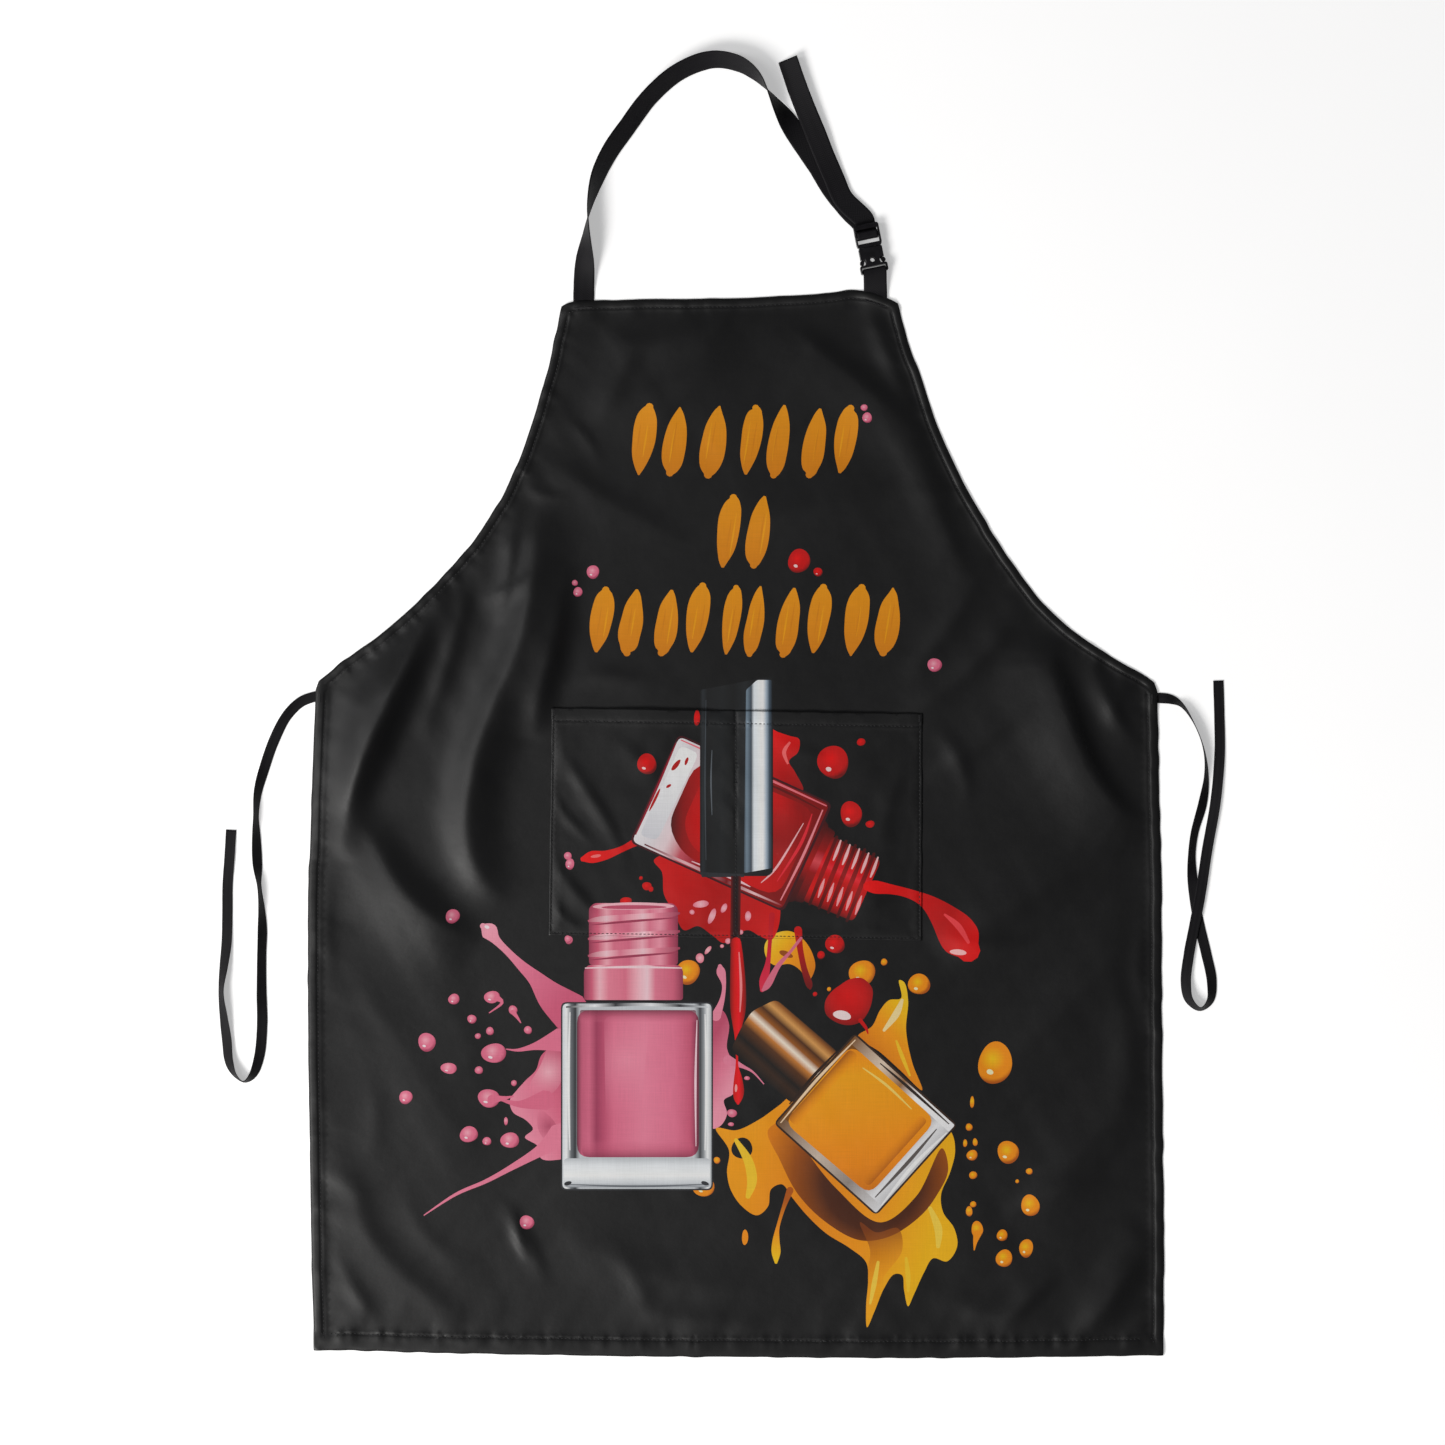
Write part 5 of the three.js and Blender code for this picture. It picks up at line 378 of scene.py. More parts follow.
# ------------------------------------------------ folds in the laid cloth
# crest as x, y, height; reach to its left and to its right
FOLDS = [
    [[[-233.6, 94.0, 0], [-249.6, 65.1, 5.4], [-268.8, 19.6, 8.6], [-288.8, -22.9, 9.4], [-303.2, -57.2, 7.8], [-312.8, -93.3, 3.8], [-316.8, -125.3, 0]], 12.8, 33.6],
    [[[-156.8, 164.3, 0], [-158.4, 135.6, 2.6], [-163.2, 92.3, 5.2], [-174.4, 44.4, 6.2], [-195.2, -5.3, 6.2], [-209.6, -51.6, 5.8], [-214.4, -99.7, 4.6], [-203.2, -136.5, 2.8], [-177.6, -160.5, 0]], 20.8, 17.6],
    [[[-136.0, 116.3, 0], [-140.8, 84.3, 2.0], [-147.2, 44.4, 4.2], [-156.8, 7.5, 3.6], [-163.2, -27.6, 0]], 10.4, 17.6],
    [[[-307.2, -85.3, 0], [-291.2, -107.7, 2.6], [-268.8, -144.5, 4.4], [-240.0, -171.7, 3.6], [-204.8, -190.9, 0]], 16.0, 30.4],
    [[[-144.0, 238.0, 0], [-120.8, 215.6, 0.7], [-104.0, 188.3, 0]], 4.0, 8.0],
    [[[-160.0, 212.3, 0], [-132.8, 183.6, 1.3], [-76.8, 148.3, 0.9], [-12.8, 116.3, 0]], 12.8, 20.8],
    [[[-184.0, 182.0, 0], [-156.8, 169.2, 0.8], [-129.6, 164.3, 0]], 4.0, 6.4],
    [[[-172.8, 164.3, 0], [-179.2, 132.3, 1.2], [-184.0, 96.3, 1.3], [-190.4, 64.3, 0]], 5.6, 11.2],
    [[[-212.8, 108.3, 0], [-219.2, 76.3, 1.3], [-232.0, 30.0, 1.6], [-252.8, -27.6, 0]], 7.2, 12.8],
    [[[-324.8, 12.3, 0], [-331.2, -43.6, 0.8], [-334.4, -123.7, 0.8], [-332.8, -203.7, 0]], 14.4, 8.0],
    [[[-252.8, -155.7, 0], [-236.8, -219.7, 0.7], [-212.8, -283.6, 0.8], [-196.8, -347.6, 0]], 20.8, 32.0],
    [[[-316.8, -203.7, 0], [-276.8, -259.6, 0.9], [-236.8, -323.6, 0.9], [-188.8, -379.6, 0]], 24.0, 36.8],
    [[[-331.2, -355.6, 0], [-307.2, -387.6, 1.0], [-291.2, -427.6, 1.1], [-252.8, -467.6, 0.9], [-204.8, -502.9, 0]], 11.2, 24.0],
    [[[-188.8, -392.4, 0], [-166.4, -427.6, 0.8], [-150.4, -467.6, 0]], 4.8, 9.6],
    [[[-179.2, -403.6, 0], [-172.8, -427.6, 0.9], [-164.8, -445.2, 0]], 3.2, 4.0],
    [[[-324.8, -432.4, 0], [-308.8, -461.2, 1.0], [-280.0, -504.4, 0]], 7.2, 9.6],
    [[[-334.4, -379.6, 0], [-329.6, -427.6, 0.9], [-332.8, -475.6, 0.9], [-336.0, -507.6, 0]], 3.2, 5.6],
    [[[-140.8, -419.6, 0], [-92.8, -445.2, 1.1], [-28.8, -464.4, 1.0], [43.2, -467.6, 0]], 20.8, 27.2],
    [[[-92.8, -483.6, 0], [-28.8, -493.2, 1.2], [51.2, -496.4, 0]], 11.2, 16.0],
    [[[-108.8, 300.4, 0], [-76.8, 288.4, 1.2], [-28.8, 300.4, 1.6], [35.2, 324.4, 0]], 17.6, 20.8],
    [[[-128.8, 232.3, 0], [-76.8, 244.3, 1.6], [-28.8, 266.8, 1.8], [11.2, 292.4, 0]], 20.8, 27.2],
    [[[27.2, 316.4, 0], [67.2, 282.8, 2.0], [115.2, 244.3, 2.4], [159.2, 200.3, 1.6], [179.2, 164.3, 0]], 11.2, 32.0],
    [[[100.8, 324.4, 0], [115.2, 300.4, 2.2], [128.0, 266.8, 2.2], [144.0, 228.3, 0]], 7.2, 10.4],
    [[[119.2, 319.6, 0], [131.2, 289.2, 1.5], [142.4, 258.8, 0]], 4.0, 5.6],
    [[[131.2, 244.3, 0], [151.2, 188.3, 1.8], [171.2, 132.3, 1.4], [187.2, 92.3, 0]], 9.6, 19.2],
    [[[-76.8, 300.4, 0], [-92.8, 260.4, 1.1], [-116.8, 220.3, 0]], 9.6, 16.0],
    [[[131.2, 188.3, 0], [91.2, 164.3, 1.2], [19.2, 148.3, 1.0], [-36.8, 128.3, 0]], 19.2, 24.0],
    [[[252.8, 58.8, 0], [251.2, 34.8, 3.0], [260.8, 6.0, 4.6], [272.8, -29.2, 4.8], [288.8, -60.5, 4.0], [313.6, -87.7, 2.2], [332.8, -96.5, 0]], 9.6, 35.2],
    [[[235.2, 81.2, 0], [201.6, 44.4, 1.6], [155.2, 4.3, 1.4], [115.2, -19.6, 0]], 10.4, 12.0],
    [[[243.2, 4.3, 0], [188.8, -34.0, 1.4], [147.2, -62.9, 0]], 9.6, 12.8],
    [[[307.2, -112.5, 0], [240.0, -149.2, 2.2], [198.4, -175.7, 2.0], [163.2, -203.7, 0]], 19.2, 25.6],
    [[[331.2, 52.4, 0], [307.2, 12.3, 1.6], [300.8, -19.6, 0]], 11.2, 9.6],
    [[[283.2, 52.4, 0], [291.2, 20.4, 1.7], [305.6, -11.7, 1.4], [331.2, -43.6, 0]], 6.4, 11.2],
    [[[199.2, 116.3, 0], [179.2, 76.3, 1.5], [151.2, 36.4, 1.2], [131.2, 4.3, 0]], 12.8, 14.4],
    [[[339.2, -155.7, 0], [299.2, -203.7, 1.6], [251.2, -251.7, 1.8], [203.2, -283.6, 0]], 24.0, 28.8],
    [[[343.2, -299.6, 0], [299.2, -331.6, 1.5], [259.2, -379.6, 1.6], [243.2, -427.6, 0]], 27.2, 28.8],
    [[[339.2, -411.6, 0], [315.2, -450.1, 2.2], [289.6, -490.1, 2.2], [275.2, -511.6, 0]], 12.8, 19.2],
    [[[259.2, -451.6, 0], [232.0, -475.6, 1.4], [208.0, -499.6, 0]], 7.2, 9.6],
    [[[299.2, -203.7, 0], [315.2, -267.6, 1.2], [307.2, -339.6, 0]], 12.8, 16.0],
    [[[155.2, -467.6, 0], [195.2, -485.2, 1.1], [259.2, -490.1, 0]], 12.8, 14.4],
    [[[-212.8, 116.3, 0], [-188.8, 126.0, 0.5], [-156.8, 141.9, 0]], 4.8, 7.2],
    [[[-206.4, 84.3, 0], [-179.2, 92.3, 0.8], [-150.4, 111.5, 0]], 5.6, 7.2],
    [[[-324.8, 52.4, 0], [-304.0, 40.4, 0.0], [-268.8, 52.4, 0]], 6.4, 8.0],
    [[[-268.8, 188.3, 0], [-240.0, 148.3, 0.0], [-236.8, 132.3, 0]], 4.8, 6.4],
    [[[-300.8, -155.7, 0], [-284.8, -179.7, 0.0], [-260.8, -191.7, 0]], 6.4, 8.0],
    [[[-324.8, -131.7, 0], [-328.0, -171.7, 1.1], [-323.2, -227.7, 0]], 5.6, 7.2],
    [[[-140.8, 12.3, 0], [-108.8, 23.6, 0.9], [-60.8, 17.2, 0]], 7.2, 9.6],
    [[[155.2, -11.7, 0], [179.2, -43.6, 1.0], [187.2, -91.7, 0]], 7.2, 9.6],
    [[[151.2, -179.7, 0], [195.2, -191.7, 1.0], [243.2, -187.7, 0]], 8.0, 9.6],
    [[[-152.8, -203.7, 0], [-164.8, -243.7, 0.0], [-172.8, -259.6, 0]], 6.4, 8.0],
    [[[211.2, 164.3, 0], [219.2, 132.3, 1.2], [235.2, 100.3, 0]], 6.4, 11.2],
    [[[179.2, 212.3, 0], [191.2, 172.3, 1.2], [211.2, 132.3, 0]], 5.6, 9.6],
    [[[275.2, 116.3, 0], [265.6, 84.3, 1.1], [259.2, 52.4, 0]], 7.2, 8.8],
    [[[291.2, 84.3, 0], [284.8, 52.4, 1.2], [291.2, 20.4, 0]], 4.8, 7.2],
    [[[331.2, -155.7, 0], [323.2, -203.7, 1.3], [329.6, -259.6, 0]], 8.0, 7.2],
    [[[-268.8, -379.6, 0], [-252.8, -419.6, 0.4], [-212.8, -451.6, 0]], 8.0, 9.6],
    [[[-300.8, -283.6, 0], [-288.0, -323.6, 0.6], [-292.8, -371.6, 0]], 9.6, 11.2],
    [[[-100.8, -427.6, 0], [-76.8, -467.6, 0.5], [-68.8, -499.6, 0]], 8.0, 9.6],
    [[[211.2, -403.6, 0], [251.2, -387.6, 1.0], [299.2, -379.6, 0]], 9.6, 9.6],
]
POCKET_FOLDS = [
    [[[-144.0, -29.2, 0], [-124.8, -59.6, 1.1], [-104.0, -91.7, 1.3], [-86.4, -125.3, 0]], 4.8, 8.0],
    [[[-152.0, -67.7, 0], [-131.2, -93.3, 1.2], [-108.8, -115.7, 0]], 4.0, 7.2],
    [[[-150.4, -120.5, 0], [-128.0, -149.2, 1.4], [-104.0, -176.5, 0]], 4.8, 8.8],
    [[[-108.8, -19.6, 0], [-76.8, -43.6, 0.9], [-51.2, -75.7, 0]], 7.2, 10.4],
    [[[-152.0, -139.7, 0], [-140.8, -165.3, 0.9], [-121.6, -181.3, 0]], 3.2, 4.8],
    [[[19.2, -19.6, 0], [51.2, -37.2, 0.8], [91.2, -43.6, 0]], 6.4, 9.6],
    [[[137.6, -43.6, 0], [123.2, -75.7, 1.0], [115.2, -115.7, 0]], 6.4, 9.6],
    [[[131.2, -139.7, 0], [107.2, -159.7, 0.9], [75.2, -174.9, 0]], 5.6, 8.0],
]


def to_linear(c):
    c = np.asarray(c, float) / 255.0
    return np.where(c <= 0.04045, c / 12.92, ((c + 0.055) / 1.055) ** 2.4)


def smooth_closed(points, step=1.6):
    """Closed centripetal curve through points, sampled about every step mm."""
    P = np.asarray(points, float)
    n = len(P)
    out = []
    for i in range(n):
        p0, p1, p2, p3 = P[(i - 1) % n], P[i], P[(i + 1) % n], P[(i + 2) % n]
        d0, d1, d2 = [max(np.linalg.norm(b - a), 1e-6) ** 0.5 for a, b in ((p0, p1), (p1, p2), (p2, p3))]
        m1 = (p1 - p0) / d0 - (p2 - p0) / (d0 + d1) + (p2 - p1) / d1
        m2 = (p2 - p1) / d1 - (p3 - p1) / (d1 + d2) + (p3 - p2) / d2
        m1, m2 = m1 * d1, m2 * d1
        k = max(1, int(np.ceil(np.linalg.norm(p2 - p1) / step)))
        for w in np.arange(k) / k:
            out.append(p1 + m1 * w + (-3 * p1 + 3 * p2 - 2 * m1 - m2) * w * w + (2 * p1 - 2 * p2 + m1 + m2) * w ** 3)
    return np.array(out)


def round_poly(points, radius, step=3.0):
    P = np.asarray(points, float)
    n = len(P)
    out = []
    for i in range(n):
        a, b, c = P[i - 1], P[i], P[(i + 1) % n]
        da, dc = np.linalg.norm(a - b), np.linalg.norm(c - b)
        r = min(radius, 0.45 * da, 0.45 * dc)
        if r < 0.3:
            out.append(b)
        else:
            p, q = b + (a - b) / da * r, b + (c - b) / dc * r
            for w in (0, 0.25, 0.5, 0.75, 1.0):
                out.append((1 - w) ** 2 * p + 2 * w * (1 - w) * b + w * w * q)
    P = np.array(out)
    out = []
    for i in range(len(P)):
        a, b = P[i], P[(i + 1) % len(P)]
        k = max(1, int(np.ceil(np.linalg.norm(b - a) / step)))
        for w in np.arange(k) / k:
            out.append(a + (b - a) * w)
    return np.array(out)


def stroke_outline(points, step=2.0):
    """Outline of a tapering stroke through x, y, width rows."""
    P = np.asarray(points, float)
    n = len(P)
    rows = []
    for i in range(n - 1):
        p0, p1, p2, p3 = P[max(i - 1, 0)], P[i], P[i + 1], P[min(i + 2, n - 1)]
        k = max(1, int(np.ceil(np.linalg.norm(p2[:2] - p1[:2]) / step)))
        m1, m2 = (p2 - p0) / 2, (p3 - p1) / 2
        for w in np.arange(k) / k:
            rows.append(p1 + m1 * w + (-3 * p1 + 3 * p2 - 2 * m1 - m2) * w * w + (2 * p1 - 2 * p2 + m1 + m2) * w ** 3)
    rows.append(P[-1])
    rows = np.array(rows)
    rows[:, 2] = np.maximum(rows[:, 2], 0.25)
    d = np.gradient(rows[:, :2], axis=0)
    d /= np.maximum(np.linalg.norm(d, axis=1), 1e-9)[:, None]
    nrm = np.column_stack([-d[:, 1], d[:, 0]])
    left, right = rows[:, :2] + nrm * rows[:, 2:] / 2, rows[:, :2] - nrm * rows[:, 2:] / 2
    def cap(row, dirn, nr):
        r = row[2] / 2
        if r < 0.9:
            return []
        return [row[:2] + r * (np.cos(t) * nr + np.sin(t) * dirn) for t in np.radians([36, 72, 108, 144])]
    return np.array(list(left) + cap(rows[-1], d[-1], nrm[-1]) + list(right[::-1]) + cap(rows[0], -d[0], -nrm[0]))


def shape_outline(s):
    if s[0] == "blob":
        return smooth_closed(s[1])
    if s[0] == "poly":
        return round_poly(s[1], s[2])
    if s[0] == "ell":
        cx, cy, rx, ry, rot = s[1:6]
        n = int(np.clip(2 * math.pi * max(rx, ry) / 1.5, 8, 40))
        t = np.arange(n) / n * 2 * math.pi
        c, q = math.cos(math.radians(rot)), math.sin(math.radians(rot))
        wob = 1 + 0.045 * np.sin(2 * t + cx) + 0.03 * np.sin(3 * t + cy)
        x, y = rx * np.cos(t) * wob, ry * np.sin(t) * wob
        return np.column_stack([cx + c * x - q * y, cy + q * x + c * y])
    return stroke_outline(s[1])


def fill_rgba(fill, xy):
    """Linear RGBA of a fill at each point of xy."""
    if fill[0] == "flat":
        stops = [[0.0, *fill[1]]]
        t = np.zeros(len(xy))
    elif fill[0] == "lin":
        a, b, stops = np.asarray(fill[1]), np.asarray(fill[2]), fill[3]
        d = b - a
        t = ((xy - a) @ d) / max(float(d @ d), 1e-9)
    else:
        a, r, stops = np.asarray(fill[1]), fill[2], fill[3]
        t = np.linalg.norm(xy - a, axis=1) / r
    ts = [q[0] for q in stops]
    rgb = np.array([to_linear(q[1:4]) for q in stops])
    al = np.array([q[4] if len(q) > 4 else 1.0 for q in stops])
    return np.column_stack([np.interp(t, ts, rgb[:, i]) for i in range(3)] + [np.interp(t, ts, al)])


def inside(poly, xy):
    """Even-odd test of many points against one polygon."""
    x, y = xy[:, 0], xy[:, 1]
    hit = np.zeros(len(xy), bool)
    px, py = poly[:, 0], poly[:, 1]
    qx, qy = np.roll(px, -1), np.roll(py, -1)
    for x0, y0, x1, y1 in zip(px, py, qx, qy):
        if y0 == y1:
            continue
        c = (y0 > y) != (y1 > y)
        if c.any():
            hit[c] ^= x[c] < (x1 - x0) * (y[c] - y0) / (y1 - y0) + x0
    return hit
WORLD, KEY, STRIP, FILL, FLOOR_LIFT = 0.05, 212.0, 26.0, 1.5, 0.42

# ================================================================ small tools
def smoothstep(a, b, x):
    t = np.clip((x - a) / (b - a), 0.0, 1.0)
    return t * t * (3 - 2 * t)


def catmull(P, i, w, closed=False):
    n = len(P)
    p1, p2 = P[i], P[i + 1]
    p0 = P[i - 1] if i > 0 else 2 * P[0] - P[1]
    p3 = P[i + 2] if i + 2 < n else 2 * P[-1] - P[-2]
    d0, d1, d2 = [max(float(np.linalg.norm(b - a)), 1e-6) ** 0.5 for a, b in ((p0, p1), (p1, p2), (p2, p3))]
    m1 = ((p1 - p0) / d0 - (p2 - p0) / (d0 + d1) + (p2 - p1) / d1) * d1
    m2 = ((p2 - p1) / d1 - (p3 - p1) / (d1 + d2) + (p3 - p2) / d2) * d1
    return p1 + m1 * w + (-3 * p1 + 3 * p2 - 2 * m1 - m2) * w * w + (2 * p1 - 2 * p2 + m1 + m2) * w ** 3


def smooth_open(points, step):
    """Open centripetal curve through points, evenly spaced at about step."""
    P = np.asarray(points, float)
    fine = [catmull(P, i, w) for i in range(len(P) - 1) for w in np.arange(24) / 24.0] + [P[-1]]
    fine = np.array(fine)
    L = np.concatenate([[0], np.cumsum(np.linalg.norm(np.diff(fine, axis=0), axis=1))])
    n = max(2, int(round(L[-1] / step)))
    s = np.linspace(0, L[-1], n + 1)
    return np.column_stack([np.interp(s, L, fine[:, k]) for k in range(fine.shape[1])])


def arc_length(P):
    return np.concatenate([[0], np.cumsum(np.linalg.norm(np.diff(P, axis=0), axis=1))])


class Noise:
    """Smooth 2-D value noise from a fixed seed, about -1 to 1."""
    def __init__(self, seed):
        self.g = np.random.RandomState(seed).uniform(-1, 1, (128, 128))

    def __call__(self, x, y):
        x, y = np.broadcast_arrays(np.asarray(x, float), np.asarray(y, float))
        xi, yi = np.floor(x).astype(int), np.floor(y).astype(int)
        fx, fy = x - xi, y - yi
        fx = fx ** 3 * (fx * (fx * 6 - 15) + 10)
        fy = fy ** 3 * (fy * (fy * 6 - 15) + 10)
        g = self.g
        a, b = g[xi % 128, yi % 128], g[(xi + 1) % 128, yi % 128]
        c, d = g[xi % 128, (yi + 1) % 128], g[(xi + 1) % 128, (yi + 1) % 128]
        return (a * (1 - fx) + b * fx) * (1 - fy) + (c * (1 - fx) + d * fx) * fy


def near_line(line, xy, value=None):
    """Distance from points to a polyline, side (+ left of travel), distance along it and an interpolated value."""
    line = np.asarray(line, float)
    xy = np.asarray(xy, float)
    best = np.full(len(xy), 1e18)
    side = np.ones(len(xy))
    along = np.zeros(len(xy))
    val = np.zeros(len(xy))
    L = arc_length(line[:, :2])
    for i in range(len(line) - 1):
        a, b = line[i, :2], line[i + 1, :2]
        d = b - a
        l2 = float(d @ d)
        if l2 < 1e-12:
            continue
        r = xy - a
        t = np.clip((r @ d) / l2, 0, 1)
        q = r - t[:, None] * d
        dist = (q * q).sum(1)
        k = dist < best
        if not k.any():
            continue
        best[k] = dist[k]
        side[k] = np.sign(d[0] * r[k, 1] - d[1] * r[k, 0])
        along[k] = L[i] + t[k] * math.sqrt(l2)
        if value is not None:
            val[k] = value[i] + (value[i + 1] - value[i]) * t[k]
    return np.sqrt(best), side, along, val


def new_object(name, verts_mm, faces, material, smooth=True):
    me = bpy.data.meshes.new(name)
    me.from_pydata((np.asarray(verts_mm) * MM).tolist(), [], faces if isinstance(faces, list) else faces.tolist())
    me.update()
    if smooth:
        me.polygons.foreach_set("use_smooth", np.ones(len(me.polygons), bool))
    ob = bpy.data.objects.new(name, me)
    scene.collection.objects.link(ob)
    me.materials.append(material)
    return ob


# ================================================================== materials
def lin(r, g, b):
    c = to_linear([r, g, b])
    return (float(c[0]), float(c[1]), float(c[2]), 1.0)


def material(name):
    m = bpy.data.materials.new(name)
    m.use_nodes = True
    nt = m.node_tree
    bsdf = next(n for n in nt.nodes if n.type == "BSDF_PRINCIPLED")
    return m, nt, bsdf


def put(nt, kind, **values):
    n = nt.nodes.new(kind)
    for k, v in values.items():
        if k.startswith("in_"):
            n.inputs[int(k[3:])].default_value = v
        else:
            setattr(n, k, v)
    return n


def math_node(nt, op, a, b=None, c=None, clamp=False):
    n = nt.nodes.new("ShaderNodeMath")
    n.operation = op
    n.use_clamp = clamp
    for i, v in enumerate((a, b, c)):
        if v is None:
            continue
        if isinstance(v, (int, float)):
            n.inputs[i].default_value = v
        else:
            nt.links.new(v, n.inputs[i])
    return n.outputs[0]


def mix_rgb(nt, blend, fac, a, b):
    n = nt.nodes.new("ShaderNodeMix")
    n.data_type = "RGBA"
    n.blend_type = blend
    for sock, v in ((n.inputs["Factor"], fac), (n.inputs[6], a), (n.inputs[7], b)):
        if isinstance(v, (int, float, tuple)):
            sock.default_value = v
        else:
            nt.links.new(v, sock)
    return n.outputs[2]


def ramp(nt, fac, stops):
    n = nt.nodes.new("ShaderNodeValToRGB")
    e = n.color_ramp.elements
    while len(e) < len(stops):
        e.new(0.5)
    for el, (p, c) in zip(e, stops):
        el.position = p
        el.color = c
    nt.links.new(fac, n.inputs[0])
    return n.outputs[0]


def scaled(nt, coord, s):
    n = nt.nodes.new("ShaderNodeMapping")
    n.inputs["Scale"].default_value = s
    nt.links.new(coord, n.inputs["Vector"])
    return n.outputs[0]


def noise_tex(nt, coord, scale, detail=3.0, rough=0.5):
    n = nt.nodes.new("ShaderNodeTexNoise")
    n.inputs["Scale"].default_value = scale
    n.inputs["Detail"].default_value = detail
    n.inputs["Roughness"].default_value = rough
    nt.links.new(coord, n.inputs["Vector"])
    return n.outputs[0]


def bump(nt, height, strength, distance, prev=None):
    n = nt.nodes.new("ShaderNodeBump")
    n.inputs["Strength"].default_value = strength
    n.inputs["Distance"].default_value = distance
    nt.links.new(height, n.inputs["Height"])
    if prev is not None:
        nt.links.new(prev, n.inputs["Normal"])
    return n.outputs[0]


def cloth_material(name, dark, light, printed):
    """Black satin-face polyester, plain weave at 0.5 mm, with the print as ink on it."""
    m, nt, bsdf = material(name)
    obj = nt.nodes.new("ShaderNodeTexCoord").outputs["Object"]
    # broad unevenness of the dye, and fine uneven yarns along X and Y
    broad = noise_tex(nt, obj, 7.0, 3.0, 0.55)
    weft = noise_tex(nt, scaled(nt, obj, (40.0, 1500.0, 40.0)), 1.0, 2.0, 0.5)
    warp = noise_tex(nt, scaled(nt, obj, (1500.0, 40.0, 40.0)), 1.0, 2.0, 0.5)
    yarns = math_node(nt, "MULTIPLY", math_node(nt, "ADD", weft, warp), 0.5)
    tone = math_node(nt, "ADD", math_node(nt, "MULTIPLY", broad, 0.55), math_node(nt, "MULTIPLY", yarns, 0.45))
    base = ramp(nt, tone, [(0.34, dark), (0.66, light)])
    # the weave itself
    wx = put(nt, "ShaderNodeTexWave", wave_type="BANDS", bands_direction="X")
    wy = put(nt, "ShaderNodeTexWave", wave_type="BANDS", bands_direction="Y")
    for w in (wx, wy):
        w.inputs["Scale"].default_value = 620.0
        w.inputs["Distortion"].default_value = 0.3
        w.inputs["Detail"].default_value = 1.0
        nt.links.new(obj, w.inputs["Vector"])
    weave = math_node(nt, "MULTIPLY", wx.outputs[1], wy.outputs[1])
    rough_noise = noise_tex(nt, obj, 60.0, 4.0, 0.6)
    rough = math_node(nt, "ADD", math_node(nt, "MULTIPLY", rough_noise, 0.10), ROUGH_CLOTH - 0.05)
    if printed:
        ink = put(nt, "ShaderNodeAttribute", attribute_name="Ink", attribute_type="GEOMETRY")
        # the ink is dimmed by uneven yarn tone (random) and by the weave's height, which the bump also uses, so it is
        # darker between the yarns: partly painted shade
        ink_yarn_tone_and_weave_shade = math_node(nt, "ADD", math_node(nt, "MULTIPLY", yarns, 0.34), 0.74)
        ink_yarn_tone_and_weave_shade = math_node(nt, "ADD", ink_yarn_tone_and_weave_shade, math_node(nt, "MULTIPLY", weave, 0.10))
        inked = mix_rgb(nt, "MULTIPLY", 1.0, ink.outputs["Color"], ink_yarn_tone_and_weave_shade)
        base = mix_rgb(nt, "MIX", ink.outputs["Alpha"], base, inked)
        rough = math_node(nt, "ADD", rough, math_node(nt, "MULTIPLY", ink.outputs["Alpha"], 0.08))
    nt.links.new(base, bsdf.inputs["Base Color"])
    nt.links.new(rough, bsdf.inputs["Roughness"])
    crumple = noise_tex(nt, obj, 150.0, 3.0, 0.55)
    b1 = bump(nt, crumple, 0.35, 0.00025)
    b2 = bump(nt, weave, 0.22, 0.00006, b1)
    nt.links.new(b2, bsdf.inputs["Normal"])
    bsdf.inputs["Specular IOR Level"].default_value = SPEC_CLOTH
    bsdf.inputs["Sheen Weight"].default_value = SHEEN_CLOTH
    bsdf.inputs["Sheen Roughness"].default_value = 0.45
    return m


def webbing_material(name, dark, light, rib, width, rough=0.62):
    """Herringbone webbing; 'lay' holds distance along, across and through, in mm."""
    m, nt, bsdf = material(name)
    lay = put(nt, "ShaderNodeAttribute", attribute_name="lay", attribute_type="GEOMETRY")
    sep = nt.nodes.new("ShaderNodeSeparateXYZ")
    nt.links.new(lay.outputs["Vector"], sep.inputs[0])
    s, a = sep.outputs[0], sep.outputs[1]
    # chevrons: the rib runs out at 45 degrees from each column
    col = math_node(nt, "PINGPONG", math_node(nt, "ADD", a, 50.0), width)
    phase = math_node(nt, "MULTIPLY", math_node(nt, "ADD", s, col), 2 * math.pi / rib)
    chev = math_node(nt, "MULTIPLY_ADD", math_node(nt, "SINE", phase), 0.5, 0.5)
    fine = math_node(nt, "MULTIPLY_ADD", math_node(nt, "SINE", math_node(nt, "MULTIPLY", a, 2 * math.pi / 0.55)), 0.5, 0.5)
    h = math_node(nt, "ADD", math_node(nt, "MULTIPLY", chev, 0.7), math_node(nt, "MULTIPLY", fine, 0.3))
    fuzz = noise_tex(nt, scaled(nt, lay.outputs["Vector"], (1.6, 5.0, 5.0)), 1.0, 4.0, 0.6)
    broad = noise_tex(nt, scaled(nt, lay.outputs["Vector"], (0.03, 0.1, 0.1)), 1.0, 2.0, 0.5)
    # the base colour follows the rib height h, which the bump also uses: painted shade in the rib troughs and painted
    # highlight on the crests, with random fuzz and broad tone on top
    tone = math_node(nt, "ADD", math_node(nt, "MULTIPLY", h, 0.5), math_node(nt, "MULTIPLY", math_node(nt, "ADD", fuzz, broad), 0.25))
    nt.links.new(ramp(nt, tone, [(0.2, dark), (0.8, light)]), bsdf.inputs["Base Color"])
    nt.links.new(math_node(nt, "ADD", math_node(nt, "MULTIPLY", fuzz, 0.2), rough - 0.1), bsdf.inputs["Roughness"])
    b1 = bump(nt, fuzz, 0.3, 0.0001)
    nt.links.new(bump(nt, h, 0.6, 0.00018, b1), bsdf.inputs["Normal"])
    bsdf.inputs["Sheen Weight"].default_value = 0.02
    bsdf.inputs["Sheen Roughness"].default_value = 0.5
    bsdf.inputs["Specular IOR Level"].default_value = 0.22
    return m


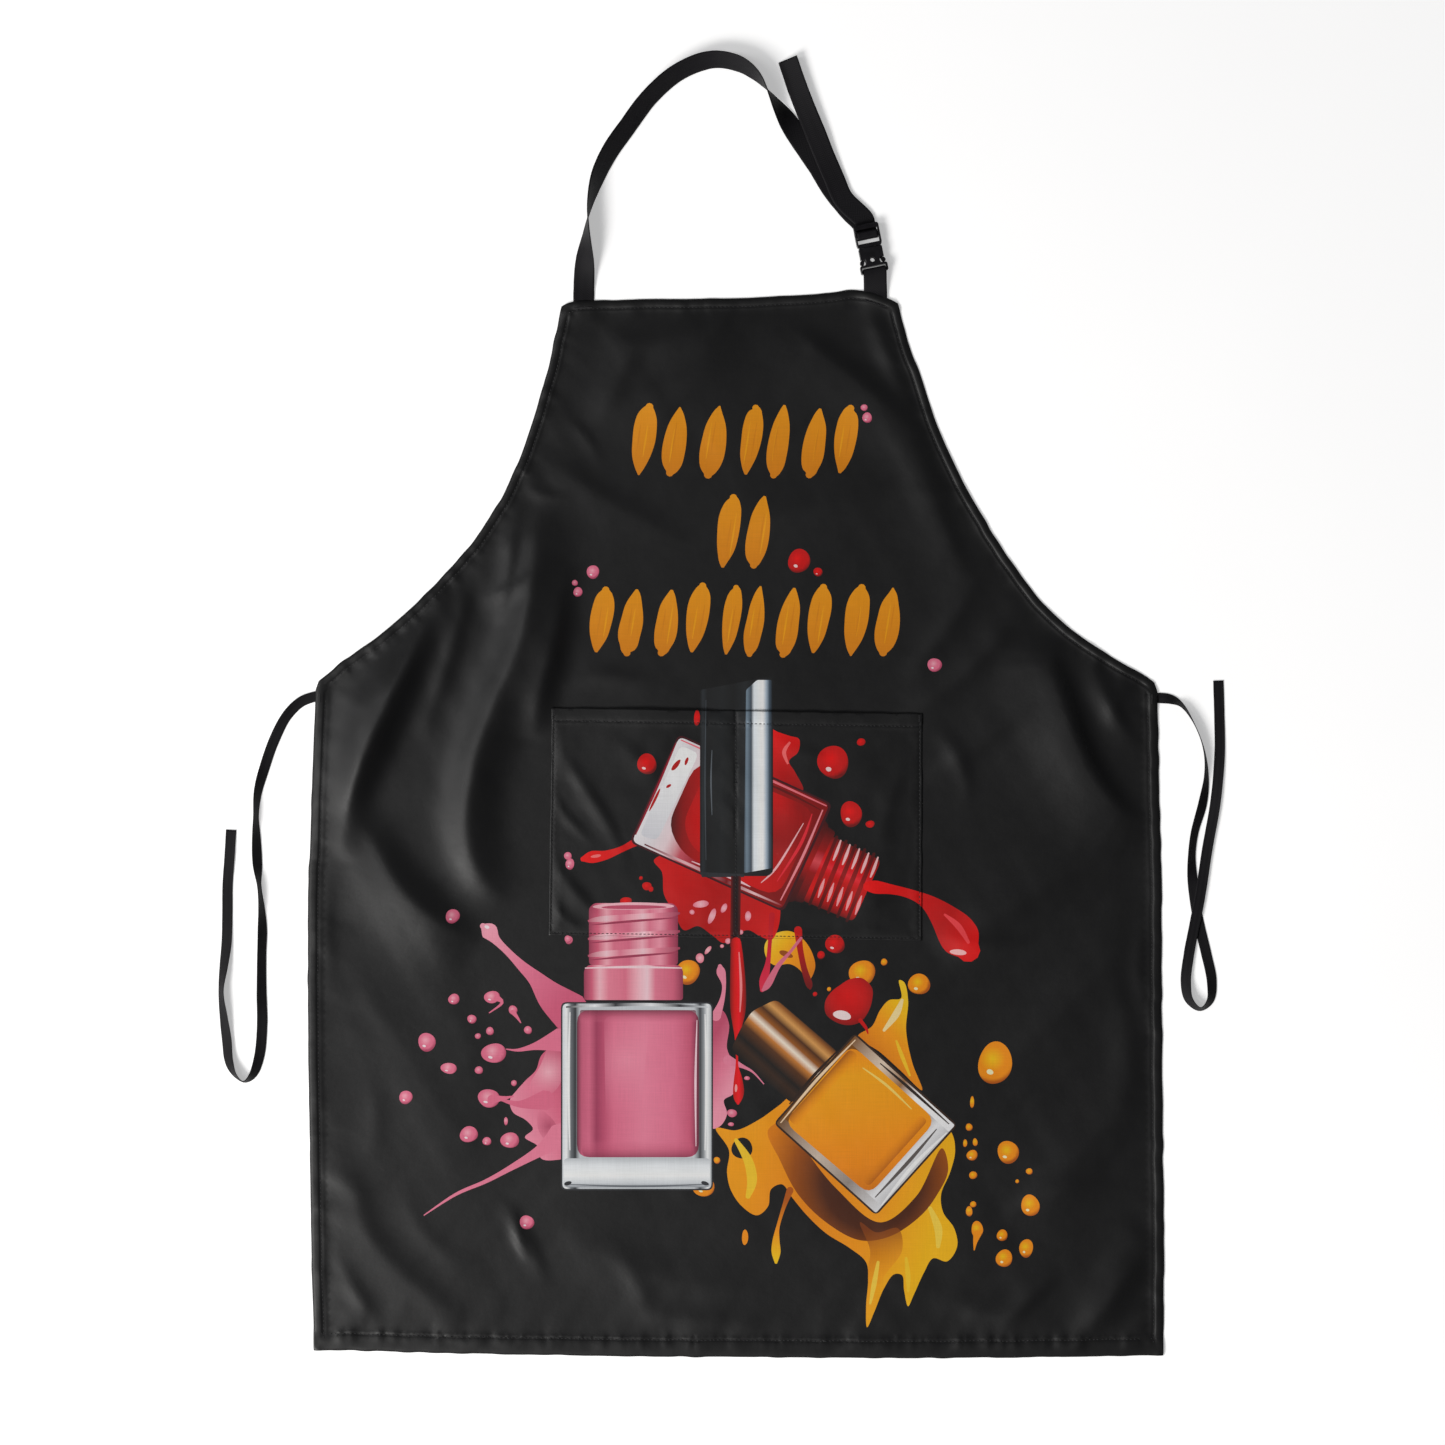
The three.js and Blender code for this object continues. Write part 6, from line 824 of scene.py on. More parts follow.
def thread_material(name, dark, light):
    m, nt, bsdf = material(name)
    lay = put(nt, "ShaderNodeAttribute", attribute_name="lay", attribute_type="GEOMETRY")
    sep = nt.nodes.new("ShaderNodeSeparateXYZ")
    nt.links.new(lay.outputs["Vector"], sep.inputs[0])
    ply = math_node(nt, "MULTIPLY", math_node(nt, "ADD", sep.outputs[0], sep.outputs[1]), 2 * math.pi / 0.5)
    twist = math_node(nt, "MULTIPLY_ADD", math_node(nt, "SINE", ply), 0.5, 0.5)
    obj = nt.nodes.new("ShaderNodeTexCoord").outputs["Object"]
    n = noise_tex(nt, obj, 400.0, 2.0, 0.5)
    # the base colour follows the ply twist, which the bump also uses: painted shade in the grooves between the plies
    # and painted highlight on them, with random noise
    tone = math_node(nt, "MULTIPLY", math_node(nt, "ADD", twist, n), 0.5)
    nt.links.new(ramp(nt, tone, [(0.2, dark), (0.8, light)]), bsdf.inputs["Base Color"])
    nt.links.new(math_node(nt, "ADD", math_node(nt, "MULTIPLY", n, 0.2), 0.4), bsdf.inputs["Roughness"])
    nt.links.new(bump(nt, twist, 0.5, 0.00008), bsdf.inputs["Normal"])
    return m


def plastic_material(name, dark, light):
    """Black acetal with a fine moulded grain, a few rubbed spots and a softer sheen."""
    m, nt, bsdf = material(name)
    obj = nt.nodes.new("ShaderNodeTexCoord").outputs["Object"]
    grain = noise_tex(nt, obj, 5200.0, 3.0, 0.6)
    cloud = noise_tex(nt, obj, 160.0, 3.0, 0.6)
    scr = noise_tex(nt, scaled(nt, obj, (400.0, 3500.0, 400.0)), 1.0, 3.0, 0.7)
    tone = math_node(nt, "ADD", math_node(nt, "MULTIPLY", cloud, 0.7), math_node(nt, "MULTIPLY", scr, 0.3))
    nt.links.new(ramp(nt, tone, [(0.35, dark), (0.7, light)]), bsdf.inputs["Base Color"])
    nt.links.new(math_node(nt, "ADD", math_node(nt, "MULTIPLY", tone, 0.24), 0.26), bsdf.inputs["Roughness"])
    nt.links.new(bump(nt, grain, 0.25, 0.00004), bsdf.inputs["Normal"])
    bsdf.inputs["Specular IOR Level"].default_value = 0.45
    return m


ROUGH_CLOTH = 0.46
SPEC_CLOTH = 0.44
SHEEN_CLOTH = 0.03
M_CLOTH = cloth_material("mat_cloth_printed", lin(15, 15, 16), lin(21, 21, 22), True)
M_WEB = webbing_material("mat_webbing", lin(6, 5, 8), lin(22, 20, 25), 1.9, 3.3)
M_TAPE = webbing_material("mat_tape", lin(7, 7, 9), lin(26, 24, 29), 1.3, 2.0)
M_THREAD = thread_material("mat_thread", lin(14, 14, 16), lin(46, 45, 48))
M_PLASTIC = plastic_material("mat_plastic", lin(11, 10, 13), lin(23, 21, 26))

# =============================================================== body outline
BIB_TOP = [[-139.8, 318.6], [-131.6, 322.4], [-109.2, 323.6], [-61.2, 324.6], [-13.2, 325.3], [18.8, 326.0], [58.8, 328.2], [100.9, 331.4], [121.2, 324.8], [129.0, 321.0]]
ARMHOLE_R = [[129.0, 321.0], [137.2, 292.0], [146.8, 264.0], [158.8, 228.0], [170.8, 200.0], [186.8, 168.0], [210.8, 128.0], [225.2, 107.2], [242.8, 84.0], [260.4, 66.4], [278.8, 52.0], [302.8, 36.8], [326.8, 23.4], [334.0, 17.8]]
SIDE_R = [[336.4, 10.8], [338.0, -52.0], [339.6, -108.0], [340.4, -236.0], [341.6, -380.0], [342.0, -476.0], [341.2, -520.0]]
BOTTOM = [[341.2, -520.0], [210.8, -522.0], [90.8, -522.4], [-29.2, -521.6], [-173.2, -519.6], [-269.2, -517.6], [-338.0, -516.0]]
SIDE_L = [[-338.0, -516.0], [-340.4, -412.0], [-342.0, -316.0], [-342.8, -236.0], [-342.8, -148.0], [-341.2, -108.0], [-338.4, -36.0], [-336.4, 12.0]]
ARMHOLE_L = [[-334.0, 19.0], [-312.4, 36.8], [-290.8, 52.0], [-270.8, 68.0], [-253.2, 84.0], [-232.4, 105.6], [-213.2, 128.0], [-197.2, 151.2], [-185.2, 172.0], [-174.0, 196.0], [-165.2, 220.0], [-157.2, 245.6], [-150.8, 269.6], [-144.4, 300.0], [-139.8, 318.6]]
# name, points, hem width, stitch line in from the edge, size of the puckers
EDGES = [("bib", BIB_TOP, 8.0, 6.6, 0.30), ("armhole_right", ARMHOLE_R, 8.0, 6.6, 0.50), ("side_right", SIDE_R, 9.5, 8.0, 0.22),
         ("bottom", BOTTOM, 15.0, 13.4, 0.55), ("side_left", SIDE_L, 9.5, 8.0, 0.32), ("armhole_left", ARMHOLE_L, 8.0, 6.6, 0.62)]
EDGE_STEP = 2.4
edge_curves = []
for name, pts, w, g, pk in EDGES:
    edge_curves.append(smooth_open(np.asarray(pts) + SH, EDGE_STEP))

n_edge, n_a, n_b, n_c, n_d = Noise(3), Noise(7), Noise(11), Noise(19), Noise(23)


def wobble(curve, seed):
    """A sewn edge is never ruler-straight: waves of a few tenths of a millimetre."""
    L = arc_length(curve)
    d = np.gradient(curve, axis=0)
    d /= np.linalg.norm(d, axis=1)[:, None]
    nrm = np.column_stack([-d[:, 1], d[:, 0]])
    ease = smoothstep(0, 20, L) * smoothstep(0, 20, L[-1] - L)
    off = -0.25 + 0.45 * n_edge(L / 11.0, seed * 7.3) + 0.35 * n_edge(L / 34.0, seed * 3.1 + 5)
    return curve + nrm * (off * ease)[:, None]


edge_curves = [wobble(c, i + 1) for i, c in enumerate(edge_curves)]
loop = []
for c in edge_curves:
    for p in c:
        if not loop or np.linalg.norm(loop[-1] - p) > 0.4:
            loop.append(p)
if np.linalg.norm(loop[0] - loop[-1]) < 0.4:
    loop.pop()
loop = np.array(loop)

# the pocket: four corners, slightly out of square as sewn
PK = np.array([[-147.6, -2.4], [148.4, -7.2], [148.0, -188.4], [-150.0, -184.0]]) + SH
PK_MID_TOP = PK[0] + (PK[1] - PK[0]) * ((-0.6 + 147.6) / 296.0)
PK_MID_BOT = PK[3] + (PK[2] - PK[3]) * ((-0.6 + 150.0) / 298.0)

CLOTH_T = 0.28                       # real thickness of the sheet
FLAT_TOP = 0.42                      # top of the sheet where it lies flat
# where the webbing and the ties are caught in the hem: x, y, reach, extra height
BUMPS = [(-122.0, 320.0, 11.0, 12.0, 0.9), (111.6, 326.0, 13.0, 12.0, 1.35), (-333.0, 5.5, 9.0, 7.0, 0.55), (334.0, 4.6, 9.0, 7.0, 0.55)]


def fold_height(xy, table=FOLDS):
    z = np.zeros(len(xy))
    for pts, plus, minus in table:
        pts = np.asarray(pts, float)
        line = smooth_open(pts, 9.0)
        reach = 3.2 * max(plus, minus)
        lo, hi = line[:, :2].min(0) - reach, line[:, :2].max(0) + reach
        k = np.where((xy[:, 0] > lo[0]) & (xy[:, 0] < hi[0]) & (xy[:, 1] > lo[1]) & (xy[:, 1] < hi[1]))[0]
        if not len(k):
            continue
        d, side, along, h = near_line(line, xy[k], line[:, 2])
        w = np.where(side > 0, plus, minus)
        # a rounded swell with a firmer crest, as satin-face cloth creases
        crest = np.exp(-(np.sqrt(d * d + 3.0) - 1.73) / (0.62 * w))
        z[k] += 1.55 * np.maximum(h, 0) * (0.74 * np.exp(-(d / w) ** 2) + 0.26 * crest * np.exp(-(d / (2.1 * w)) ** 2))
    return z


def hem_fields(xy):
    """For every point: what the folded hems add, the puckers, and the distance to the nearest edge."""
    add = np.zeros(len(xy))
    puck = np.zeros(len(xy))
    nearest = np.full(len(xy), 1e9)
    for i, (curve, (name, pts, w, g, pk)) in enumerate(zip(edge_curves, EDGES)):
        lo, hi = curve.min(0) - 75, curve.max(0) + 75
        k = np.where((xy[:, 0] > lo[0]) & (xy[:, 0] < hi[0]) & (xy[:, 1] > lo[1]) & (xy[:, 1] < hi[1]))[0]
        if not len(k):
            continue
        d, side, along, _ = near_line(curve, xy[k])
        prof = 0.72 * (1 - smoothstep(w - 0.6, w + 1.8, d))
        prof += 0.30 * np.sin(np.pi * np.clip(d / g, 0, 1)) ** 0.8
        prof -= 0.62 * np.exp(-((d - g) / 1.0) ** 2)
        prof -= 0.55 * np.exp(-d / 0.7)
        add[k] = np.maximum(add[k], prof) if i else np.where(prof > add[k], prof, np.maximum(add[k], prof))
        wave = n_edge(along / 7.5, 4.0 * i + 1) + 0.6 * n_edge(along / 3.8 + 9, 4.0 * i + 2)
        slope = n_edge((along + 0.5 * d) / 15.0, 4.0 * i + 3)
        puck[k] += pk * (wave * np.exp(-((d - g) / 6.0) ** 2) + 1.5 * slope * np.exp(-(d / 34.0) ** 2) * smoothstep(0, 10, d))
        nearest[k] = np.minimum(nearest[k], d)
    return add, puck, nearest


def body_height(xy):
    """Top surface of the body cloth, laid on the floor."""
    xy = np.asarray(xy, float)
    x, y = xy[:, 0], xy[:, 1]
    add, puck, d = hem_fields(xy)
    folds = fold_height(xy)
    # the folds die away into the stiffer hem
    folds = folds * (0.30 + 0.70 * smoothstep(0, 42, d))
    soft = 1.1 * n_a(x / 130.0 + 3, y / 130.0 + 7) + 0.34 * n_b(x / 60.0, y / 60.0 + 4) + 0.08 * n_c(x / 24.0, y / 24.0)
    run = 0.5 * n_d((x + 0.6 * y) / 16.0, (y - 0.6 * x) / 70.0) + 0.4 * n_a((x - 0.9 * y) / 14.0 + 40, (y + 0.9 * x) / 90.0)
    ease = smoothstep(0, 26, d)
    r = 0.35 + folds + (soft + 0.28 * run) * (0.25 + 0.75 * ease) + puck
    # lies on the floor: whatever the folds say, nothing goes below it
    z = FLAT_TOP + np.logaddexp(0, 2.2 * r) / 2.2 + add
    for cx, cy, rx, ry, h in BUMPS:
        z += h * np.exp(-np.abs((x - cx) / rx) ** 3 - np.abs((y - cy) / ry) ** 3)
    return z


# ================================================================ mesh makers
shape_cache = [(s, shape_outline(s)) for s in ART]


def stop_lines(s, o):
    """Where a fill changes its gradient inside a shape: the mesh gets an edge along each such line."""
    fill = s[-2]
    out = []
    if fill[0] != "lin":
        return out
    a, b = np.asarray(fill[1]), np.asarray(fill[2])
    d = b - a
    l2 = float(d @ d)
    t = ((o - a) @ d) / l2
    for ts in [q[0] for q in fill[3]]:
        f = t - ts
        hits = []
        for i in range(len(o)):
            j = (i + 1) % len(o)
            if (f[i] > 0) != (f[j] > 0):
                k = f[i] / (f[i] - f[j])
                hits.append(o[i] + (o[j] - o[i]) * k)
        if len(hits) < 2 or len(hits) % 2:
            continue
        e = np.array([-d[1], d[0]])
        hits.sort(key=lambda p: float(p @ e))
        for p, q in zip(hits[::2], hits[1::2]):
            n = max(1, int(np.linalg.norm(q - p) / 3.0))
            row = p + (q - p) * (np.arange(n + 1) / n)[:, None]
            if np.linalg.norm(q - p) > 0.5:
                out.append(row)
    return out


def inner_points(s, o):
    """Points inside a round shape, so that its shading is carried."""
    fill = s[-2]
    if fill[0] != "rad":
        return np.zeros((0, 2))
    c = np.asarray(fill[1])
    res = [c[None]] if inside(o, c[None])[0] else []
    mid = o.mean(0)
    size = np.linalg.norm(o - mid, axis=1).max()
    ks = (0.35, 0.62, 0.85) if size < 16 else (0.2, 0.4, 0.6, 0.75, 0.88, 0.95)
    for k in ks:
        res.append(mid + (o - mid)[:: 1 if k > 0.5 else 2] * k)
    return np.vstack(res)


stop_cache = [stop_lines(s, o) for s, o in shape_cache]
point_cache = [inner_points(s, o) for s, o in shape_cache]


def triangulate(rings, loose, clip, lo, hi):
    """Constrained triangles through the rings, the print's outlines and loose points; keeps what lies inside clip."""
    pts, edges = [], []
    for r in rings:
        base = len(pts)
        pts += [Vector((float(p[0]), float(p[1]))) for p in r]
        edges += [(base + i, base + (i + 1) % len(r)) for i in range(len(r))]
    for (s, o), stops, dots in zip(shape_cache, stop_cache, point_cache):
        if (o.max(0) < lo).any() or (o.min(0) > hi).any():
            continue
        base = len(pts)
        pts += [Vector((float(p[0]), float(p[1]))) for p in o]
        edges += [(base + i, base + (i + 1) % len(o)) for i in range(len(o))]
        for row in stops:
            base = len(pts)
            pts += [Vector((float(p[0]), float(p[1]))) for p in row]
            edges += [(base + i, base + i + 1) for i in range(len(row) - 1)]
        pts += [Vector((float(p[0]), float(p[1]))) for p in dots]
    pts += [Vector((float(p[0]), float(p[1]))) for p in loose]
    out = delaunay_2d_cdt(pts, edges, [], 0, 0.02, False)
    V = np.array([(v[0], v[1]) for v in out[0]])
    T = np.array([f for f in out[2] if len(f) == 3])
    c = V[T].mean(1)
    T = T[inside(clip, c)]
    a, b, c3 = V[T[:, 0]], V[T[:, 1]], V[T[:, 2]]
    area = (b[:, 0] - a[:, 0]) * (c3[:, 1] - a[:, 1]) - (b[:, 1] - a[:, 1]) * (c3[:, 0] - a[:, 0])
    T[area < 0] = T[area < 0][:, ::-1]
    T = T[np.abs(area) > 1e-7]
    used = np.unique(T)
    remap = np.full(len(V), -1)
    remap[used] = np.arange(len(used))
    return V[used], remap[T]


def ink_corners(V, T, skip=None):
    """Linear RGBA at each corner of each triangle, the print's shapes laid over each other in turn."""
    c = V[T].mean(1)
    corner = V[T].reshape(-1, 2)
    rgba = np.zeros((len(T) * 3, 4))
    for s, o in shape_cache:
        lo, hi = o.min(0), o.max(0)
        k = np.where((c[:, 0] > lo[0]) & (c[:, 0] < hi[0]) & (c[:, 1] > lo[1]) & (c[:, 1] < hi[1]))[0]
        if not len(k):
            continue
        k = k[inside(o, c[k])]
        if not len(k):
            continue
        idx = (k[:, None] * 3 + np.arange(3)).ravel()
        f = fill_rgba(s[-2], corner[idx])
        al = f[:, 3:]
        old = rgba[idx]
        keep = old[:, 3:] * (1 - al)
        na = keep + al
        rgba[idx, :3] = (old[:, :3] * keep + f[:, :3] * al) / np.maximum(na, 1e-6)
        rgba[idx, 3] = na[:, 0]
    if skip is not None:
        k = inside(skip, c)
        rgba[(np.where(k)[0][:, None] * 3 + np.arange(3)).ravel()] = 0.0
    # a firmer, slightly fuller ink, against the haze of light on the cloth's own face
    grey = rgba[:, :3].mean(1, keepdims=True)
    rgba[:, :3] = np.clip((grey + (rgba[:, :3] - grey) * 1.18) * 1.03, 0.0, 0.95)
    return rgba


def boundary_loop(T):
    """The longest closed loop of edges that belong to one triangle, in face order."""
    e = np.concatenate([T[:, [0, 1]], T[:, [1, 2]], T[:, [2, 0]]])
    key = np.sort(e, axis=1)
    _, inv, cnt = np.unique(key, axis=0, return_inverse=True, return_counts=True)
    b = e[cnt[inv.ravel()] == 1]
    nxt = {int(a): int(c) for a, c in b}
    best = []
    seen = set()
    for start in nxt:
        if start in seen:
            continue
        ring, v = [], start
        while v in nxt and v not in seen:
            seen.add(v)
            ring.append(v)
            v = nxt[v]
        if len(ring) > len(best):
            best = ring
    return np.array(best)


def vertex_normals(V, T):
    n = np.zeros_like(V)
    f = np.cross(V[T[:, 1]] - V[T[:, 0]], V[T[:, 2]] - V[T[:, 0]])
    for i in range(3):
        np.add.at(n, T[:, i], f)
    return n / np.maximum(np.linalg.norm(n, axis=1), 1e-12)[:, None]


def cloth_piece(name, V2, T, z, rgba, wrap_rows, thick, material):
    """Sheet from a triangulated height field whose edge rolls over into a folded allowance, given real thickness.
    wrap_rows(points, outward, z) gives the rows of the roll and the allowance, from the edge inwards underneath."""
    V = np.column_stack([V2, z])
    ring = boundary_loop(T)
    P = V2[ring]
    d = np.roll(P, -1, 0) - np.roll(P, 1, 0)
    d /= np.maximum(np.linalg.norm(d, axis=1), 1e-9)[:, None]
    out = np.column_stack([d[:, 1], -d[:, 0]])         # counter-clockwise loop: outward is to the right
    rows = wrap_rows(P, out, z[ring])
    verts, tris, m = [V], [T], len(ring)
    prev = ring
    count = len(V)
    for r in rows:
        idx = np.arange(count, count + m)
        verts.append(r)
        a, b = prev, np.roll(prev, -1)
        c, e = idx, np.roll(idx, -1)
        tris.append(np.column_stack([a, c, b]))
        tris.append(np.column_stack([b, c, e]))
        prev = idx
        count += m
    V = np.vstack(verts)
    n_top = len(T)
    T = np.vstack(tris)
    colour = np.zeros((len(T) * 3, 4))
    colour[:n_top * 3] = rgba
    N = vertex_normals(V, T)
    inner = V - N * thick
    inner[:, 2] = np.maximum(inner[:, 2], 0.06)
    base = len(V)
    a, b = prev, np.roll(prev, -1)
    rim = np.vstack([np.column_stack([a, a + base, b]), np.column_stack([b, a + base, b + base])])
    allT = np.vstack([T, T[:, ::-1] + base, rim])
    allV = np.vstack([V, inner])
    col = np.zeros((len(allT) * 3, 4))
    col[:len(colour)] = colour
    ob = new_object(name, allV, allT, material)
    at = ob.data.color_attributes.new("Ink", "FLOAT_COLOR", "CORNER")
    at.data.foreach_set("color", col.ravel())
    return ob


def inset_ring(curves_g, step):
    pts = []
    for c in curves_g:
        pts += list(c)
    return pts


def hex_points(lo, hi, g):
    rows = []
    y, odd = lo[1], 0
    while y < hi[1]:
        x = np.arange(lo[0] + (g / 2 if odd else 0), hi[0], g)
        rows.append(np.column_stack([x, np.full(len(x), y)]))
        y += g * 0.866
        odd ^= 1
    return np.vstack(rows)


# ------------------------------------------------------------------ the body
GRID = 3.9
lo, hi = loop.min(0), loop.max(0)
lattice = hex_points(lo, hi, GRID)
lattice = lattice[inside(loop, lattice)]
d_all, _, _, _ = near_line(np.vstack([loop, loop[:1]]), lattice)
lattice = lattice[d_all > 12.5]
rng = np.random.RandomState(4)
lattice = lattice + rng.uniform(-0.35, 0.35, lattice.shape)
extra = []
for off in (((1.1, 2.6, 4.4, 5.6, 6.6, 7.6, 9.0, 11.0))):
    d = np.roll(loop, -1, 0) - np.roll(loop, 1, 0)
    d /= np.linalg.norm(d, axis=1)[:, None]
    inward = np.column_stack([d[:, 1], -d[:, 0]])      # clockwise loop: inside is to the right
    p = loop + inward * off
    dd, _, _, _ = near_line(np.vstack([loop, loop[:1]]), p)
    extra.append(p[dd > off - 0.25])
bot = edge_curves[3]
for off in (12.4, 13.4, 14.4, 16.0):
    extra.append(np.column_stack([bot[8:-8, 0], bot[8:-8, 1] + off]))
loose = np.vstack([lattice] + extra)
V2, T = triangulate([loop], loose, loop, lo, hi)
hide = PK + np.array([[4, -4], [-4, -4], [-4, 4], [4, 4]])
rgba = ink_corners(V2, T, hide)
z = body_height(V2)
hem_w = 8.0


def body_rows(P, out, ztop):
    rows = []
    w = np.where(P[:, 1] < -512, 14.2, 7.4)
    def row(offset, z):
        return np.column_stack([P + out * np.broadcast_to(np.asarray(offset)[..., None], (len(P), 1)), z])
    rows.append(row(np.full(len(P), 0.22), ztop - 0.22))
    rows.append(row(np.full(len(P), 0.20), ztop - 0.50))
    rows.append(row(np.full(len(P), -0.10), ztop - 0.66))
    for f in (0.3, 0.65, 1.0):
        q = P - out * (w * f)[:, None]
        h = body_height(q)
        rows.append(np.column_stack([q, np.maximum(0.12, h - 0.98)]))
    for r in rows:
        r[:, 2] = np.maximum(r[:, 2], 0.10)
    return rows


body = cloth_piece("body_cloth", V2, T, z, rgba, body_rows, CLOTH_T, M_CLOTH)
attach(body, "apron")
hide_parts("front_panel")
print("body", len(body.data.vertices), len(body.data.polygons), "z", float(z.min()), float(z.max()))

# ----------------------------------------------------------------- the pocket
def line_dist(xy, a, b):
    d = (b - a) / np.linalg.norm(b - a)
    return np.abs((xy[:, 0] - a[0]) * d[1] - (xy[:, 1] - a[1]) * d[0])


def pocket_fields(xy):
    dl, dr = line_dist(xy, PK[0], PK[3]), line_dist(xy, PK[1], PK[2])
    dt, db = line_dist(xy, PK[0], PK[1]), line_dist(xy, PK[3], PK[2])
    dm = line_dist(xy, PK_MID_TOP, PK_MID_BOT)
    return dl, dr, dt, db, dm


def pocket_height(xy, under=None):
    """Top surface of the pocket's sheet, over the body cloth."""
    xy = np.asarray(xy, float)
    x, y = xy[:, 0], xy[:, 1]
    dl, dr, dt, db, dm = pocket_fields(xy)
    under = body_height(xy) if under is None else under
    left = x < (PK_MID_TOP[0] + PK_MID_BOT[0]) / 2
    outer = np.where(left, dl, dr)
    uc = outer / np.maximum(outer + dm, 1e-6)
    v = 1 - dt / (dt + db)
    wall = np.minimum(np.minimum(dl, dr), db)
    bulge = (0.5 + 1.7 * v ** 1.6) * np.sin(np.pi * np.clip(uc, 0, 1)) ** 0.9 * smoothstep(0, 24, db)
    bulge *= 1 + 0.16 * n_a(x / 60.0 + 17, y / 60.0)
    z = 0.13 * (1 - smoothstep(6.5, 12.5, wall)) * smoothstep(0.0, 0.6, wall)
    z += 0.34 * (1 - smoothstep(10.8, 13.6, dt))
    z += 0.12 * np.sin(np.pi * np.clip(dt / 10.0, 0, 1))
    z -= 0.26 * np.exp(-((wall - 1.9) / 0.6) ** 2) + 0.34 * np.exp(-((dt - 10.0) / 0.8) ** 2) + 0.55 * np.exp(-(dm / 1.1) ** 2)
    # tugs that run from the sewn edges and the corners
    tug = 0.42 * n_b(y / 11.0 + 3, x / 90.0) * np.exp(-np.minimum(dl, dr) / 22.0) + 0.30 * n_b(x / 12.0, y / 80.0) * np.exp(-db / 20.0)
    tug += 0.35 * n_c((x + y) / 13.0, (x - y) / 60.0) * np.exp(-dm / 14.0)
    soft = 0.42 * n_d(x / 36.0 + 2, y / 36.0 + 9) + 0.20 * n_a(x / 15.0 + 1, y / 15.0)
    z += (tug + soft + 0.55 * fold_height(xy, POCKET_FOLDS)) * smoothstep(1.5, 9.0, wall) + 0.20
    return under + 0.34 + CLOTH_T + bulge + np.maximum(z, 0.04)


def pocket_ring():
    out = []
    for i in range(4):
        a, b = PK[i], PK[(i + 1) % 4]
        n = int(np.linalg.norm(b - a) / 2.0)
        t = np.arange(n) / n
        e = a + (b - a) * t[:, None]
        d = (b - a) / np.linalg.norm(b - a)
        s = t * np.linalg.norm(b - a)
        ease = np.minimum(smoothstep(0, 12, s), smoothstep(0, 12, s[-1] - s))
        e = e + np.array([-d[1], d[0]]) * ((0.34 * n_edge(s / 13.0, 31 + 5 * i) - 0.1) * ease)[:, None]
        out.append(e)
    return np.vstack(out)


ring_p = pocket_ring()
lo, hi = ring_p.min(0), ring_p.max(0)
lat = hex_points(lo, hi, 3.2)
lat = lat[inside(ring_p, lat)]
dl, dr, dt, db, dm = pocket_fields(lat)
wall = np.minimum(np.minimum(dl, dr), np.minimum(db, dt))
lat = lat[(wall > 3.4) & (dm > 2.4)]
rows = [lat]
for off in (0.7, 1.3, 1.9, 2.6, 9.4, 10.6):
    for a, b, sgn in ((PK[0], PK[3], 1), (PK[1], PK[2], -1), (PK[3], PK[2], 2)):
        n = int(np.linalg.norm(b - a) / 2.4)
        t = (np.arange(n) + 0.5) / n
        e = a + (b - a) * t[:, None]
        e = e + (np.array([0, off]) if sgn == 2 else np.array([sgn * off, 0]))
        rows.append(e[inside(ring_p, e)])
for off in (0.8, 2.4, 5.0, 8.4, 9.3, 10.0, 10.7, 11.6, 13.0):
    n = 130
    e = PK[0] + (PK[1] - PK[0]) * ((np.arange(n) + 0.5) / n)[:, None] + np.array([0, -off])
    rows.append(e[inside(ring_p, e)])
for off in (-1.9, -1.0, 0.0, 1.0, 1.9):
    n = 80
    e = PK_MID_TOP + (PK_MID_BOT - PK_MID_TOP) * ((np.arange(n) + 0.5) / n)[:, None] + np.array([off, 0])
    rows.append(e[inside(ring_p, e)])
V2, T = triangulate([ring_p], np.vstack(rows), ring_p, lo, hi)
rgba = ink_corners(V2, T)
under = body_height(V2)
z = pocket_height(V2, under)
z = np.maximum(z, under + 0.12 + CLOTH_T)


def pocket_rows(P, out, ztop):
    top_edge = line_dist(P, PK[0], PK[1]) < 0.9
    res = []
    def row(offset, zz):
        return np.column_stack([P + out * offset, zz])
    b0 = body_height(P)
    res.append(row(0.20, np.maximum(b0 + 0.14, ztop - 0.22)))
    res.append(row(0.16, np.maximum(b0 + 0.13, ztop - 0.46)))
    for f in (1.4, 5.0, 9.4):
        q = P - out * f
        bq = body_height(q)
        pq = pocket_height(q, bq)
        # corners would run past each other: keep the allowance inside
        dl, dr, dt, db, dm = pocket_fields(q)
        near = np.where(top_edge, np.maximum(pq - 0.86, bq + 0.13), np.maximum(bq + 0.12, pq - 0.9))
        res.append(np.column_stack([q, np.minimum(near, pq - CLOTH_T - 0.06)]))
    return res


pocket = cloth_piece("pocket_cloth", V2, T, z, rgba, pocket_rows, CLOTH_T * 0.8, M_CLOTH)
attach(pocket, "apron")
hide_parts("pocket_panel")


